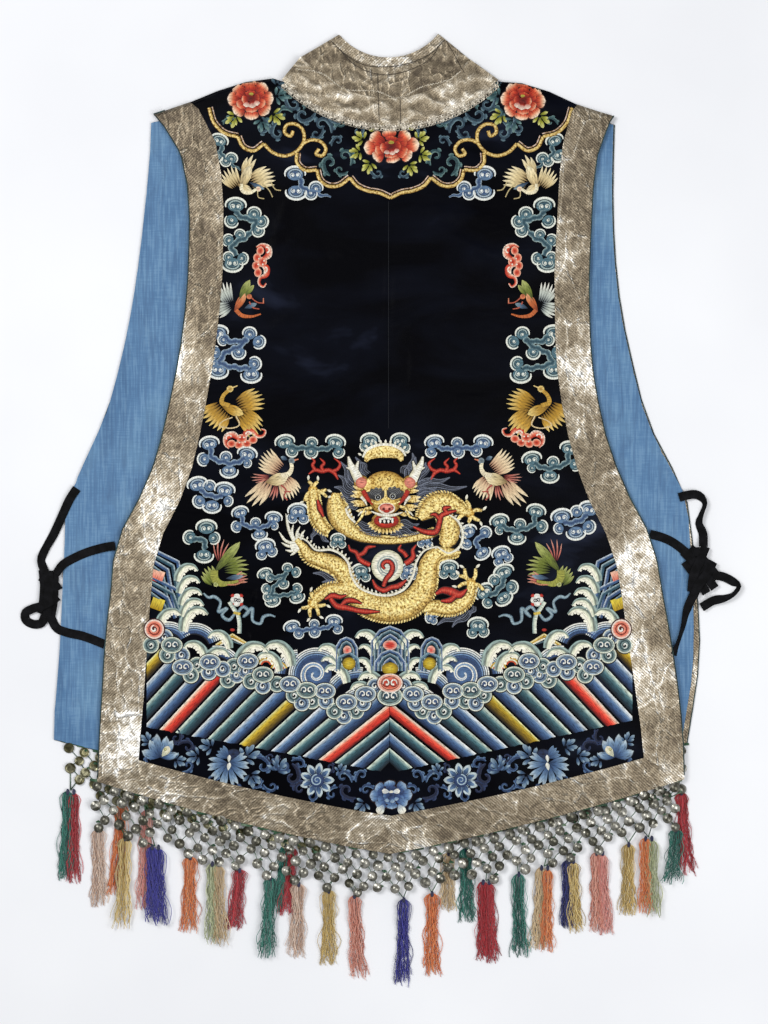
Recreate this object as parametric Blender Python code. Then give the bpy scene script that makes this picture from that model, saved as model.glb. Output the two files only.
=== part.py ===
"""A ceremonial vest of dark satin with silver brocade bands, laid flat with its back panel up.

X runs across the vest and Y from the hem to the collar, both in the plane it lies on; Z is the height over
that plane. Sizes are millimetres until a mesh is made. The two front panels lie face down underneath with
their blue lining up, the back panel lies on them, and the net fringes with their tassels lie below the hems.
"""

import math

import bmesh
import bpy
import numpy as np

MM = 0.001

# Thicknesses and heights of the layers
SEAM = 0.3
CLOTH = 2.0
SHELL = 1.5
LINING = 1.0
BAND_CLOTH = 1.2
LINING_LEVEL = SHELL + SEAM
BACK_LEVEL = 5.0
TRIM_LIFT = 0.3
YOKE_LIFT = 0.5
FLOOR_CLEAR = 0.3
TAPE_CLEAR = 0.15
ROLL = 10.0
ROLL_FADE = 30.0
SET_BACK = 10.0

# Outline of the back panel
CENTRE_X = 10.0
BACK_EDGE = {
    "y": (
        475, 455, 430, 400, 370, 330, 270, 220, 180, 140,
        100, 65, 30, -5, -36, -90, -150, -210, -280, -325,
    ),
    "left": (
        -272, -253, -240, -233, -229, -229, -231, -236, -242, -250,
        -259, -268, -281, -299, -315, -322, -329, -333, -337, -339,
    ),
    "right": (
        282, 270, 262, 257, 255, 253, 251, 252, 254, 260,
        268, 279, 292, 311, 326, 337, 348, 357, 364, 365,
    ),
    "band": (44, 45, 42, 41, 41, 41, 42, 42, 43, 44, 45, 46, 48, 49, 49, 48, 50, 50, 48, 48),
}
HEM_POINT_Y = -413.0
HEM_BULGE = 6.0
HEM_BAND_SIDE = 40.0
HEM_BAND_POINT = 46.0

# Shoulder line and outer edge of the collar, from the left armhole to the right one
SHOULDER = {
    "x": (-272, -228, -210, -189, -144, -118, -95, -49, 70, 85, 109, 143, 167, 206, 242, 282),
    "y": (475, 490, 500, 505, 520, 517, 544, 571, 572, 560, 540, 518, 514, 502, 485, 473),
}
COLLAR_TIPS = ((-49.0, 571.0), (70.0, 572.0))
COLLAR_TOP_SAG = 28.0
COLLAR_SEAM_ENDS = ((-95.0, 544.0), (109.0, 540.0))
COLLAR_SEAM_SAG = 48.0
YOKE_ENDS = ((-118.0, 516.0), (142.0, 516.0))
YOKE_SAG = 55.0
NECK_SAG = 26.0
BINDING = 12.0
LACE = 6.0
LACE_SCALLOPS = 26
STAND_TOP_LEVEL = 2.2

# Outline of the front panels, which spread out below the back panel
FRONT_EDGE = {
    "y": (474, 440, 370, 300, 240, 170, 120, 65, 35, -5, -35, -100, -165, -205, -260, -276),
    "left": (-274, -275, -281, -289, -298, -313, -327, -351, -365, -377, -378, -381, -384, -387, -391, -391),
    "right": (282, 281, 280, 283, 290, 305, 318, 342, 360, 372, 375, 381, 384, 381, 372, 369),
}
FRONT_BAND = 42.0
FRONT_TOP_Y = 440.0
FRONT_OPENING = {"left": (2.0, -42.0), "right": (16.0, 62.0)}
FRONT_HEM_Y = {"left": (-276.0, -363.0), "right": (-280.0, -360.0)}
NECKLINE = {"reach": (30, 60, 90, 125, 150), "drop": (2, 14, 38, 66, 78)}
LINING_INSET = {"left": 1.5, "right": 3.5}
LINING_CREASE_MOST = 1.6

# Largest folds: centre, half length, half width, direction in degrees from +X, and height
BACK_FOLDS = (
    {"x": 60, "y": 412, "length": 150, "width": 16, "turn": -4, "height": 1.1},
    {"x": 110, "y": 345, "length": 120, "width": 20, "turn": -24, "height": 1.3},
    {"x": -70, "y": 300, "length": 130, "width": 26, "turn": 12, "height": 0.8},
    {"x": 12, "y": 260, "length": 190, "width": 9, "turn": 90, "height": 0.7},
    {"x": -230, "y": 150, "length": 70, "width": 14, "turn": 62, "height": 1.2},
    {"x": 240, "y": 60, "length": 80, "width": 15, "turn": -58, "height": 1.4},
    {"x": -150, "y": 40, "length": 130, "width": 30, "turn": 6, "height": 0.9},
    {"x": 170, "y": -30, "length": 120, "width": 28, "turn": -10, "height": 1.0},
    {"x": -250, "y": -170, "length": 110, "width": 18, "turn": 78, "height": 1.3},
    {"x": 290, "y": -190, "length": 120, "width": 17, "turn": 97, "height": 1.5},
    {"x": -100, "y": -345, "length": 90, "width": 15, "turn": 82, "height": 1.6},
    {"x": 12, "y": -360, "length": 70, "width": 11, "turn": 90, "height": 1.2},
    {"x": 150, "y": -330, "length": 80, "width": 18, "turn": 104, "height": 1.1},
    {"x": -220, "y": -330, "length": 60, "width": 13, "turn": 68, "height": 1.2},
)
LINING_FOLDS = (
    {"x": -255, "y": 330, "length": 100, "width": 9, "turn": 96, "height": 0.7},
    {"x": -285, "y": 170, "length": 110, "width": 11, "turn": 108, "height": 0.9},
    {"x": -340, "y": 60, "length": 60, "width": 9, "turn": 118, "height": 1.0},
    {"x": -362, "y": -60, "length": 90, "width": 8, "turn": 92, "height": 1.0},
    {"x": -350, "y": -215, "length": 70, "width": 9, "turn": 84, "height": 1.5},
    {"x": -375, "y": -230, "length": 60, "width": 7, "turn": 95, "height": 1.4},
    {"x": 268, "y": 270, "length": 120, "width": 8, "turn": 88, "height": 1.0},
    {"x": 290, "y": 110, "length": 100, "width": 9, "turn": 70, "height": 1.2},
    {"x": 335, "y": 40, "length": 70, "width": 9, "turn": 58, "height": 1.6},
    {"x": 350, "y": -90, "length": 80, "width": 8, "turn": 78, "height": 1.2},
    {"x": 372, "y": -180, "length": 80, "width": 7, "turn": 97, "height": 1.5},
)

# The net fringe: where its points hang, and the size of its mesh
NET_CORD = 2.2
NET_DROP = 17.5
NET_ROWS = 4
NET_THICK = 1.2
BACK_NET_LEVEL = 5.0
FRONT_NET_LEVEL = 0.3
NET_POINTS = {
    "back_left": (-339, -306, -270, -228, -198, -169, -132, -98, -62, -31, 0),
    "back_right": (28, 62, 95, 127, 166, 197, 228, 263, 298, 322, 355),
    "front_left": (-372, -340, -312, -281, -255, -216, -183, -150, -110, -76),
    "front_right": (82, 103, 146, 178, 211, 242, 276, 312, 340, 362),
}

# Tassels: the net and point each hangs from, its length, how far its tip swings in X, the height its threads
# lie at over the plane, and its colours, one for each skirt
TASSELS = (
    {"net": "front_left", "point": 0, "length": 106, "swing": -2, "lift": 0.0, "skirts": ("green", "red")},
    {"net": "front_left", "point": 2, "length": 108, "swing": -7, "lift": 0.0, "skirts": ("orange",)},
    {"net": "front_left", "point": 3, "length": 118, "swing": -2, "lift": 0.0, "skirts": ("pink",)},
    {"net": "front_left", "point": 8, "length": 79, "swing": -10, "lift": 0.0, "skirts": ("green", "red")},
    {"net": "front_right", "point": 0, "length": 70, "swing": -2, "lift": 0.0, "skirts": ("beige",)},
    {"net": "front_right", "point": 1, "length": 88, "swing": 2, "lift": 0.0, "skirts": ("green",)},
    {"net": "front_right", "point": 9, "length": 99, "swing": 8, "lift": 0.0, "skirts": ("red",)},
    {"net": "back_left", "point": 0, "length": 92, "swing": 2, "lift": 0.0, "skirts": ("shell",)},
    {"net": "back_left", "point": 1, "length": 107, "swing": -4, "lift": 5.0, "skirts": ("straw",)},
    {"net": "back_left", "point": 2, "length": 90, "swing": 2, "lift": 5.0, "skirts": ("blue", "blue")},
    {"net": "back_left", "point": 3, "length": 94, "swing": -2, "lift": 0.0, "skirts": ("orange",)},
    {"net": "back_left", "point": 4, "length": 95, "swing": 2, "lift": 5.0, "skirts": ("sage", "beige")},
    {"net": "back_left", "point": 5, "length": 73, "swing": -8, "lift": 0.0, "skirts": ("red",)},
    {"net": "back_left", "point": 6, "length": 96, "swing": -5, "lift": 5.0, "skirts": ("green",)},
    {"net": "back_left", "point": 7, "length": 89, "swing": -3, "lift": 0.0, "skirts": ("shell",)},
    {"net": "back_left", "point": 8, "length": 90, "swing": 0, "lift": 0.0, "skirts": ("straw",)},
    {"net": "back_left", "point": 9, "length": 100, "swing": 5, "lift": 0.0, "skirts": ("salmon",)},
    {"net": "back_right", "point": 0, "length": 105, "swing": -1, "lift": 0.0, "skirts": ("blue",)},
    {"net": "back_right", "point": 1, "length": 99, "swing": 0, "lift": 0.0, "skirts": ("orange",)},
    {"net": "back_right", "point": 3, "length": 94, "swing": 3, "lift": 0.0, "skirts": ("red", "red")},
    {"net": "back_right", "point": 4, "length": 100, "swing": 3, "lift": 0.0, "skirts": ("green",)},
    {"net": "back_right", "point": 5, "length": 98, "swing": -3, "lift": 0.0, "skirts": ("beige", "orange")},
    {"net": "back_right", "point": 6, "length": 83, "swing": 2, "lift": 0.0, "skirts": ("navy", "straw")},
    {"net": "back_right", "point": 7, "length": 95, "swing": 4, "lift": 0.0, "skirts": ("salmon", "pink")},
    {"net": "back_right", "point": 8, "length": 86, "swing": 0, "lift": 0.0, "skirts": ("straw",)},
    {"net": "back_right", "point": 9, "length": 90, "swing": 2, "lift": 5.0, "skirts": ("orange", "sage")},
    {"net": "back_right", "point": 10, "length": 65, "swing": -6, "lift": 5.0, "skirts": ("green",)},
)
STRANDS = {1: 6, 2: 8}
HEAD_LENGTH = 13.0
HEAD_WIDTH = {1: 9.0, 2: 13.5}
HEAD_DEPTH = 3.6
HEAD_RINGS = (
    {"down": 2.0, "wide": 0.35, "deep": 0.5, "sunk": 0.0},
    {"down": 6.0, "wide": 1.0, "deep": 1.0, "sunk": 0.7},
    {"down": HEAD_LENGTH, "wide": 0.85, "deep": 0.9, "sunk": 1.0},
)
SKIRT_HALF_WIDTH = {1: 7.0, 2: 12.0}
SKIRT_HALF_DEPTH = 1.35
SKIRT_CLEAR = 0.8
STRAND_STATIONS = (0.3, 0.65, 1.0)
STRAND_RADIUS = (1.25, 0.8)
STRAND_WAVE = 0.9

# Ribbon ties at the side slits, each from where it is sewn on to its knot
TIE_WIDTH = 10.0
TIE_THICK = 1.2
TIE_DROP = 14.0
KNOT_DEPTH = 7.0
LOOP_LIFT = 1.0
TIES = {
    "tie_left_front": {
        "sewn_to": "lining",
        "route": ((-366, 24), (-378, 2), (-390, -26), (-404, -55), (-400, -75.0)),
    },
    "tie_left_upper": {
        "sewn_to": "back",
        "route": ((-317.3, -43), (-334, -47), (-352, -51), (-367, -57), (-384, -71)),
    },
    "tie_left_lower": {
        "sewn_to": "back",
        "route": ((-331.3, -160), (-349, -153), (-367, -147), (-384, -146), (-391, -140), (-392.5, -131.5)),
    },
    "tie_right_front": {
        "sewn_to": "lining",
        "route": ((359, 15), (378, 18), (389, 10), (384, -14), (391, -29), (388, -42.5)),
    },
    "tie_right_upper": {"sewn_to": "back", "route": ((325.3, -29.5), (336, -33), (348, -37), (360.5, -44.5))},
    "tie_right_lower": {
        "sewn_to": "back",
        "route": ((356.0, -170), (361, -151), (367, -130), (372.5, -104.5)),
    },
}
KNOTS = {
    "knot_left": {
        "corners": ((-409, -75), (-386, -74), (-385.5, -112), (-391, -128), (-412, -122)),
        "loop": (
            (-408, -120), (-420, -121), (-428, -127), (-427, -136),
            (-418, -141), (-407, -138), (-404, -124),
        ),
    },
    "knot_right": {
        "corners": ((363, -49), (391, -45), (406, -76), (398, -92), (375, -102), (368, -78)),
        "loop": (
            (402, -77), (418, -80), (430, -89), (424, -101),
            (408, -107), (392, -110), (384, -104), (384, -96),
        ),
    },
}

COLOURS = {
    "satin": ((0.010, 0.011, 0.022), 0.35, 0.0),
    "silver": ((0.33, 0.28, 0.22), 0.38, 0.75),
    "blue_silk": ((0.10, 0.21, 0.36), 0.6, 0.0),
    "tape": ((0.006, 0.006, 0.007), 0.8, 0.0),
    "net_cord": ((0.03, 0.10, 0.06), 0.7, 0.0),
    "green": ((0.01, 0.11, 0.08), 0.5, 0.0),
    "red": ((0.33, 0.01, 0.02), 0.5, 0.0),
    "orange": ((0.60, 0.14, 0.03), 0.5, 0.0),
    "pink": ((0.55, 0.18, 0.15), 0.5, 0.0),
    "beige": ((0.42, 0.28, 0.15), 0.5, 0.0),
    "sage": ((0.25, 0.30, 0.17), 0.5, 0.0),
    "shell": ((0.55, 0.38, 0.27), 0.5, 0.0),
    "straw": ((0.48, 0.34, 0.10), 0.5, 0.0),
    "blue": ((0.02, 0.02, 0.16), 0.5, 0.0),
    "navy": ((0.01, 0.01, 0.06), 0.5, 0.0),
    "salmon": ((0.45, 0.14, 0.10), 0.5, 0.0),
}


# Small helpers for numbers and curves
def mix(a, b, t):
    """The value t of the way from a to b."""
    return a + (b - a) * t


def smooth_value(table, column, at):
    """A column of an edge table read at height y from a smooth curve through its rows."""
    y = np.array(table["y"][::-1], float)
    value = np.array(table[column][::-1], float)
    slope = np.gradient(value, y)
    at = min(max(at, y[0]), y[-1])
    k = min(max(int(np.searchsorted(y, at)) - 1, 0), len(y) - 2)
    step = y[k + 1] - y[k]
    t = (at - y[k]) / step
    return float(
        (2 * t**3 - 3 * t**2 + 1) * value[k]
        + (t**3 - 2 * t**2 + t) * step * slope[k]
        + (3 * t**2 - 2 * t**3) * value[k + 1]
        + (t**3 - t**2) * step * slope[k + 1]
    )


def arc(start, end, sag, count):
    """count + 1 points on the arc from start to end that sags by sag towards -Y."""
    chord = math.hypot(end[0] - start[0], end[1] - start[1])
    radius = (chord**2 / 4 + sag**2) / (2 * sag)
    half = math.asin(chord / 2 / radius)
    points = []
    for k in range(count + 1):
        angle = mix(-half, half, k / count)
        across = 0.5 + math.sin(angle) * radius / chord
        drop = radius * (math.cos(angle) - math.cos(half))
        points.append((mix(start[0], end[0], across), mix(start[1], end[1], across) - drop))
    return points


def smooth_route(route, count):
    """count + 1 points, spaced evenly in their parameter, on a smooth curve through the points of a route."""
    points = np.array(route, float)
    steps = np.linalg.norm(np.diff(points[:, :2], axis=0), axis=1)
    along = np.concatenate([[0], np.cumsum(steps)])
    slope = np.gradient(points, along, axis=0)
    result = []
    for at in np.linspace(0, along[-1], count + 1):
        k = min(int(np.searchsorted(along, at, side="right")) - 1, len(points) - 2)
        t = (at - along[k]) / steps[k]
        result.append(
            (2 * t**3 - 3 * t**2 + 1) * points[k]
            + (t**3 - 2 * t**2 + t) * steps[k] * slope[k]
            + (3 * t**2 - 2 * t**3) * points[k + 1]
            + (t**3 - t**2) * steps[k] * slope[k + 1]
        )
    return result


def fold_height(folds, x, y):
    """Height of the soft ridges of a fold table at a point."""
    total = 0.0
    for fold in folds:
        turn = math.radians(fold["turn"])
        dx, dy = x - fold["x"], y - fold["y"]
        along = (dx * math.cos(turn) + dy * math.sin(turn)) / fold["length"]
        across = (dy * math.cos(turn) - dx * math.sin(turn)) / fold["width"]
        if abs(along) < 1:
            total += fold["height"] * (1 - along**2) ** 2 * math.exp(-(across**2))
    return total


def shoulder_y(x):
    """Height of the shoulder line, or of the collar's outer edge, at x."""
    return float(np.interp(x, SHOULDER["x"], SHOULDER["y"]))


def roll(x, y):
    """How far the cloth has risen: 0 at the shoulder fold, 1 where it lies flat or the collar holds it."""
    beside = max(YOKE_ENDS[0][0] - x, x - YOKE_ENDS[1][0], 0.0)
    held = 1 - min(beside / ROLL_FADE, 1.0)
    t = min(max((shoulder_y(x) - y) / ROLL, 0.0), 1.0)
    return max(math.sqrt(1 - (1 - t) ** 2), held)


def back_under(x, y):
    """Underside of the back panel."""
    level = BACK_LEVEL + fold_height(BACK_FOLDS, x, y)
    return FLOOR_CLEAR + (level - FLOOR_CLEAR) * roll(x, y)


def lining_under(x, y):
    """Underside of the front panels' lining."""
    return LINING_LEVEL + min(fold_height(LINING_FOLDS, x, y), LINING_CREASE_MOST)


# Making solids
def material(name):
    """The plain finish of one of the colours above."""
    made = bpy.data.materials.get(name)
    if made is None:
        made = bpy.data.materials.new(name)
        made.use_nodes = True
        shader = made.node_tree.nodes["Principled BSDF"]
        colour, roughness, metallic = COLOURS[name]
        shader.inputs["Base Color"].default_value = (*colour, 1)
        shader.inputs["Roughness"].default_value = roughness
        shader.inputs["Metallic"].default_value = metallic
    return made


def add_object(name, points, faces, finish):
    """A named object from points in millimetres and faces that point outwards."""
    mesh = bpy.data.meshes.new(name)
    mesh.from_pydata([(x * MM, y * MM, z * MM) for x, y, z in points], [], faces)
    mesh.validate()
    body = bmesh.new()
    body.from_mesh(mesh)
    bmesh.ops.recalc_face_normals(body, faces=body.faces)
    body.to_mesh(mesh)
    body.free()
    mesh.shade_smooth()
    mesh.set_sharp_from_angle(angle=math.radians(40))
    mesh.materials.append(material(finish))
    made = bpy.data.objects.new(name, mesh)
    bpy.context.scene.collection.objects.link(made)
    return made


def outline_edges(faces):
    """The directed edges that only one face uses."""
    used = {}
    for face in faces:
        for a, b in zip(face, face[1:] + face[:1]):
            used[(a, b)] = used.get((a, b), 0) + 1
    return [edge for edge in used if (edge[1], edge[0]) not in used]


def drawn_in(points, faces, amount):
    """The points of a flat piece with its outline moved inwards by amount."""
    push = {}
    for a, b in outline_edges(faces):
        (ax, ay), (bx, by) = points[a], points[b]
        length = math.hypot(bx - ax, by - ay)
        normal = ((ay - by) / length, (bx - ax) / length)
        for corner in (a, b):
            push.setdefault(corner, []).append(normal)
    moved = list(points)
    for corner, normals in push.items():
        nx = sum(n[0] for n in normals)
        ny = sum(n[1] for n in normals)
        size = math.hypot(nx, ny)
        x, y = points[corner]
        moved[corner] = (x + nx / size * amount, y + ny / size * amount)
    return moved


def split_faces(faces):
    """Each quad split along its first diagonal, so that stacked layers are split alike."""
    triangles = []
    for face in faces:
        triangles += [(face[0], face[k], face[k + 1]) for k in range(1, len(face) - 1)]
    return triangles


def counter_clockwise(points, faces):
    """The faces turned so that each runs counter-clockwise seen from above."""
    turned = []
    for face in faces:
        sides = zip(face, face[1:] + face[:1])
        area = sum(points[a][0] * points[b][1] - points[b][0] * points[a][1] for a, b in sides)
        turned.append(tuple(face) if area > 0 else tuple(reversed(face)))
    return turned


def wall(name, points, faces, under, thick, finish, inset=SEAM / 2):
    """A wall of cloth over flat faces: its underside is at under(x, y) and its top is thick above that."""
    used = sorted({corner for face in faces for corner in face})
    index = {old: new for new, old in enumerate(used)}
    points = [points[old] for old in used]
    faces = [tuple(index[corner] for corner in face) for face in faces]
    faces = counter_clockwise(points, split_faces(faces))
    levels = [under(x, y) for x, y in points]
    count = len(points)
    low = [(x, y, z) for (x, y), z in zip(drawn_in(points, faces, inset), levels)]
    high = [(x, y, z + thick) for x, y, z in low]
    solid = [tuple(count + corner for corner in face) for face in faces]
    solid += [tuple(reversed(face)) for face in faces]
    solid += [(a, b, count + b, count + a) for a, b in outline_edges(faces)]
    return add_object(name, low + high, solid, finish)


def grid_faces(rows, columns):
    """Quads over rows x columns cells of points that are listed row by row."""
    faces = []
    for r in range(rows):
        for c in range(columns):
            first = r * (columns + 1) + c
            below = first + columns + 1
            faces.append((first, first + 1, below + 1, below))
    return faces


def strip_between(first, second, steps):
    """Points row by row from one line of points to another, with its faces."""
    points = []
    for r in range(steps + 1):
        t = r / steps
        points += [(mix(a[0], b[0], t), mix(a[1], b[1], t)) for a, b in zip(first, second)]
    return points, grid_faces(steps, len(first) - 1)


# The back panel's grid, which its bands share
BAND_CELLS = 2
INNER_COLUMNS = 14
MAIN_ROWS = 20
COLUMNS = INNER_COLUMNS + 2 * BAND_CELLS
ROWS = MAIN_ROWS + 2 + BAND_CELLS


def hem_y(x):
    """The back hem: two slightly bulged slopes that meet in a point at the centre."""
    ends = {True: (BACK_EDGE["left"][-1], -326.0), False: (BACK_EDGE["right"][-1], -323.0)}
    end_x, end_y = ends[x < CENTRE_X]
    t = min(max((x - end_x) / (CENTRE_X - end_x), 0.0), 1.0)
    return mix(end_y, HEM_POINT_Y, t) - HEM_BULGE * 4 * t * (1 - t)


def hem_band(x):
    """Height of the hem band, measured along Y."""
    reach = abs(x - CENTRE_X) / (BACK_EDGE["right"][-1] - CENTRE_X)
    return mix(HEM_BAND_POINT, HEM_BAND_SIDE, min(reach, 1.0))


def body_top_y(x):
    """Top edge of the back panel: the shoulders, dipping under the yoke at the neck."""
    (left, _), (right, _) = YOKE_ENDS
    if left < x < right:
        neck = arc(*YOKE_ENDS, NECK_SAG, 16)
        return float(np.interp(x, [p[0] for p in neck], [p[1] for p in neck]))
    return shoulder_y(x)


def row_share(row):
    """How far down a row lies between the top edge, 0, and the upper edge of the hem band, 1."""
    near_top = (0.0, 0.004, 0.013)
    if row < len(near_top):
        return near_top[row]
    return mix(near_top[-1], 1.0, (row - 2) / MAIN_ROWS)


def across_share(column, band_share):
    """How far across a column lies, with the bands' columns kept as wide as the bands."""
    if column <= BAND_CELLS:
        return band_share * column / BAND_CELLS
    if column >= COLUMNS - BAND_CELLS:
        return 1 - band_share * (COLUMNS - column) / BAND_CELLS
    return mix(band_share, 1 - band_share, (column - BAND_CELLS) / INNER_COLUMNS)


def back_point(row, column):
    """A point of the back panel's grid."""

    def level(share):
        top_x = mix(BACK_EDGE["left"][0], BACK_EDGE["right"][0], share)
        low_x = mix(BACK_EDGE["left"][-1], BACK_EDGE["right"][-1], share)
        top, hem = body_top_y(top_x), hem_y(low_x)
        band_top = hem + hem_band(low_x)
        if row <= MAIN_ROWS + 2:
            return mix(top, band_top, row_share(row))
        return mix(band_top, hem, (row - MAIN_ROWS - 2) / BAND_CELLS)

    left_y, right_y = level(0.0), level(1.0)
    left = smooth_value(BACK_EDGE, "left", left_y)
    right = smooth_value(BACK_EDGE, "right", right_y)
    band_share = smooth_value(BACK_EDGE, "band", left_y) / (right - left)
    share = across_share(column, band_share)
    return mix(left, right, share), level(share)


def grid_index(row, column):
    return row * (COLUMNS + 1) + column


def corner_faces(side):
    """The cells of a hem corner as (side band's faces, hem band's faces), parted along the mitre."""
    top = MAIN_ROWS + 2
    side_faces, hem_faces = [], []
    for r in range(BAND_CELLS):
        for c in range(BAND_CELLS):
            column = c if side == "left" else COLUMNS - 1 - c
            inner, outer = (column + 1, column) if side == "left" else (column, column + 1)
            corners = {
                "upper_outer": grid_index(top + r, outer),
                "upper_inner": grid_index(top + r, inner),
                "lower_inner": grid_index(top + r + 1, inner),
                "lower_outer": grid_index(top + r + 1, outer),
            }
            if r + c < BAND_CELLS - 1:
                side_faces.append(tuple(corners.values()))
            elif r + c > BAND_CELLS - 1:
                hem_faces.append(tuple(corners.values()))
            else:
                side_faces.append((corners["upper_outer"], corners["upper_inner"], corners["lower_outer"]))
                hem_faces.append((corners["upper_inner"], corners["lower_inner"], corners["lower_outer"]))
    return side_faces, hem_faces


def cells(rows, columns):
    """Quads of the back grid over the given ranges of rows and columns."""
    return [
        (grid_index(r, c), grid_index(r, c + 1), grid_index(r + 1, c + 1), grid_index(r + 1, c))
        for r in rows
        for c in columns
    ]


def make_back():
    """The embroidered back panel with the bands that are sewn round it."""
    points = [back_point(r, c) for r in range(ROWS + 1) for c in range(COLUMNS + 1)]
    hem_rows = range(MAIN_ROWS + 2, ROWS)
    inside = range(BAND_CELLS, COLUMNS - BAND_CELLS)
    body = cells(range(MAIN_ROWS + 2), range(COLUMNS)) + cells(hem_rows, inside)
    for side in ("left", "right"):
        mitre_side, mitre_hem = corner_faces(side)
        body += mitre_side + mitre_hem
    wall("back_body", points, body, back_under, CLOTH, "satin")

    def on_back(x, y):
        return back_under(x, y) + CLOTH + TRIM_LIFT

    middle = COLUMNS // 2
    spans = {
        "left": (range(BAND_CELLS), range(BAND_CELLS, middle)),
        "right": (range(COLUMNS - BAND_CELLS, COLUMNS), range(middle, COLUMNS - BAND_CELLS)),
    }
    for side, (band_columns, hem_columns) in spans.items():
        mitre_side, mitre_hem = corner_faces(side)
        side_faces = cells(range(MAIN_ROWS + 2), band_columns) + mitre_side
        wall(f"band_back_side_{side}", points, side_faces, on_back, BAND_CLOTH, "silver")
        hem_faces = cells(hem_rows, hem_columns) + mitre_hem
        wall(f"band_back_hem_{side}", points, hem_faces, on_back, BAND_CLOTH, "silver")


# The front panels, which lie face down
FRONT_ROWS = 18
SHELL_COLUMNS = (0.4, 0.7, 1.0)
LINING_COLUMNS = (0.0, 0.06, 0.13, 0.21, 0.3, 0.6, 1.0)
LINING_ROWS = 22


def front_top_y(side, x):
    """Top edge of a front panel: the shoulder set back from its fold, then the neckline."""
    centre = FRONT_OPENING[side][0]
    reach = abs(x - centre)
    if reach < NECKLINE["reach"][-1]:
        return FRONT_TOP_Y + float(np.interp(reach, NECKLINE["reach"], NECKLINE["drop"])) - SET_BACK
    return min(shoulder_y(x) - SET_BACK, FRONT_TOP_Y + NECKLINE["drop"][-1] - SET_BACK)


def front_point(side, down, across, from_edge=0.0):
    """A point of a front panel: down and across run from 0 to 1, from its outer edge to the opening."""
    opening_top, opening_hem = FRONT_OPENING[side]
    outer_hem, centre_hem = FRONT_HEM_Y[side]
    top_x = mix(FRONT_EDGE[side][0], opening_top, across)
    y = mix(front_top_y(side, top_x), mix(outer_hem, centre_hem, across), down)
    edge_y = mix(front_top_y(side, FRONT_EDGE[side][0]), outer_hem, down)
    sign = 1 if side == "left" else -1
    outer = smooth_value(FRONT_EDGE, side, edge_y) + sign * from_edge
    inner = mix(opening_top, opening_hem, down)
    return mix(outer, inner, across), y


def front_grid(side, rows, shares, from_edge=0.0):
    return [front_point(side, r / rows, share, from_edge) for r in range(rows + 1) for share in shares]


def make_front(side):
    """One front panel: its satin, the silver band round its outer edge and hem, and the lining that shows."""
    rows = FRONT_ROWS
    band = FRONT_BAND / abs(FRONT_EDGE[side][-1] - FRONT_OPENING[side][1])
    shares = (0.0, band, *SHELL_COLUMNS)
    points = front_grid(side, rows, shares)
    hem_row = rows - 1
    raised = len(shares) * hem_row
    for c in range(len(shares)):
        x, y = points[raised + len(shares) + c]
        points[raised + c] = (points[raised + c][0], y + FRONT_BAND)
    faces = grid_faces(rows, len(shares) - 1)
    wide = len(shares) - 1
    body = [face for k, face in enumerate(faces) if k % wide > 0 and k // wide < hem_row]
    edge = [face for k, face in enumerate(faces) if k % wide == 0 or k // wide >= hem_row]
    wall(f"front_body_{side}", points, body, lambda x, y: 0.0, SHELL, "satin")
    wall(f"band_front_{side}", points, edge, lambda x, y: 0.0, SHELL, "silver")
    lining = front_grid(side, LINING_ROWS, LINING_COLUMNS, LINING_INSET[side])
    faces = grid_faces(LINING_ROWS, len(LINING_COLUMNS) - 1)
    wall(f"lining_{side}", lining, faces, lining_under, LINING, "blue_silk")


# The collar and the silver yoke round the neck
COLLAR_COLUMNS = 14


def collar_lines():
    """The collar's top edge, the lower edge of its binding, and its seam, as matching lines of points."""
    top = arc(*COLLAR_TIPS, COLLAR_TOP_SAG, COLLAR_COLUMNS)
    seam = arc(*COLLAR_SEAM_ENDS, COLLAR_SEAM_SAG, COLLAR_COLUMNS)
    bound = []
    for a, b in zip(top, seam):
        share = BINDING / math.hypot(b[0] - a[0], b[1] - a[1])
        bound.append((mix(a[0], b[0], share), mix(a[1], b[1], share)))
    return top, bound, seam


def stand_under(x, y):
    """Underside of the stand collar, which slopes down from the neck seam to its free edge."""
    (_, seam_y), (_, _) = COLLAR_SEAM_ENDS
    low_y = seam_y - COLLAR_SEAM_SAG
    rise = min(max((y - low_y) / (COLLAR_TIPS[0][1] - COLLAR_TOP_SAG - low_y), 0.0), 1.0)
    level = mix(BACK_LEVEL, STAND_TOP_LEVEL, rise)
    return FLOOR_CLEAR + (level - FLOOR_CLEAR) * roll(x, y)


def make_collar():
    """The stand collar's back half with its binding, and the two front halves folded under it."""
    top, bound, seam = collar_lines()
    points, faces = strip_between(top, bound, 1)
    wall("collar_binding", points, faces, stand_under, CLOTH, "silver")
    points, faces = strip_between(bound, seam, 2)
    wall("collar_stand", points, faces, stand_under, CLOTH, "silver")
    half = COLLAR_COLUMNS // 2
    for side, sign in (("left", -1), ("right", 1)):
        upper = top[:half] if sign < 0 else top[:half:-1]
        lower = seam[:half] if sign < 0 else seam[:half:-1]
        inside = [(mix(a[0], b[0], 0.3), mix(a[1], b[1], 0.3)) for a, b in zip(upper, lower)]
        inside = [(x - sign * 7, y - 6) for x, y in inside]
        outer = [(x - sign * 7, y - 8) for x, y in lower]
        points, faces = strip_between(inside, outer, 1)
        wall(f"collar_front_{side}", points, faces, lambda x, y: 0.0, SHELL, "silver")


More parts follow.
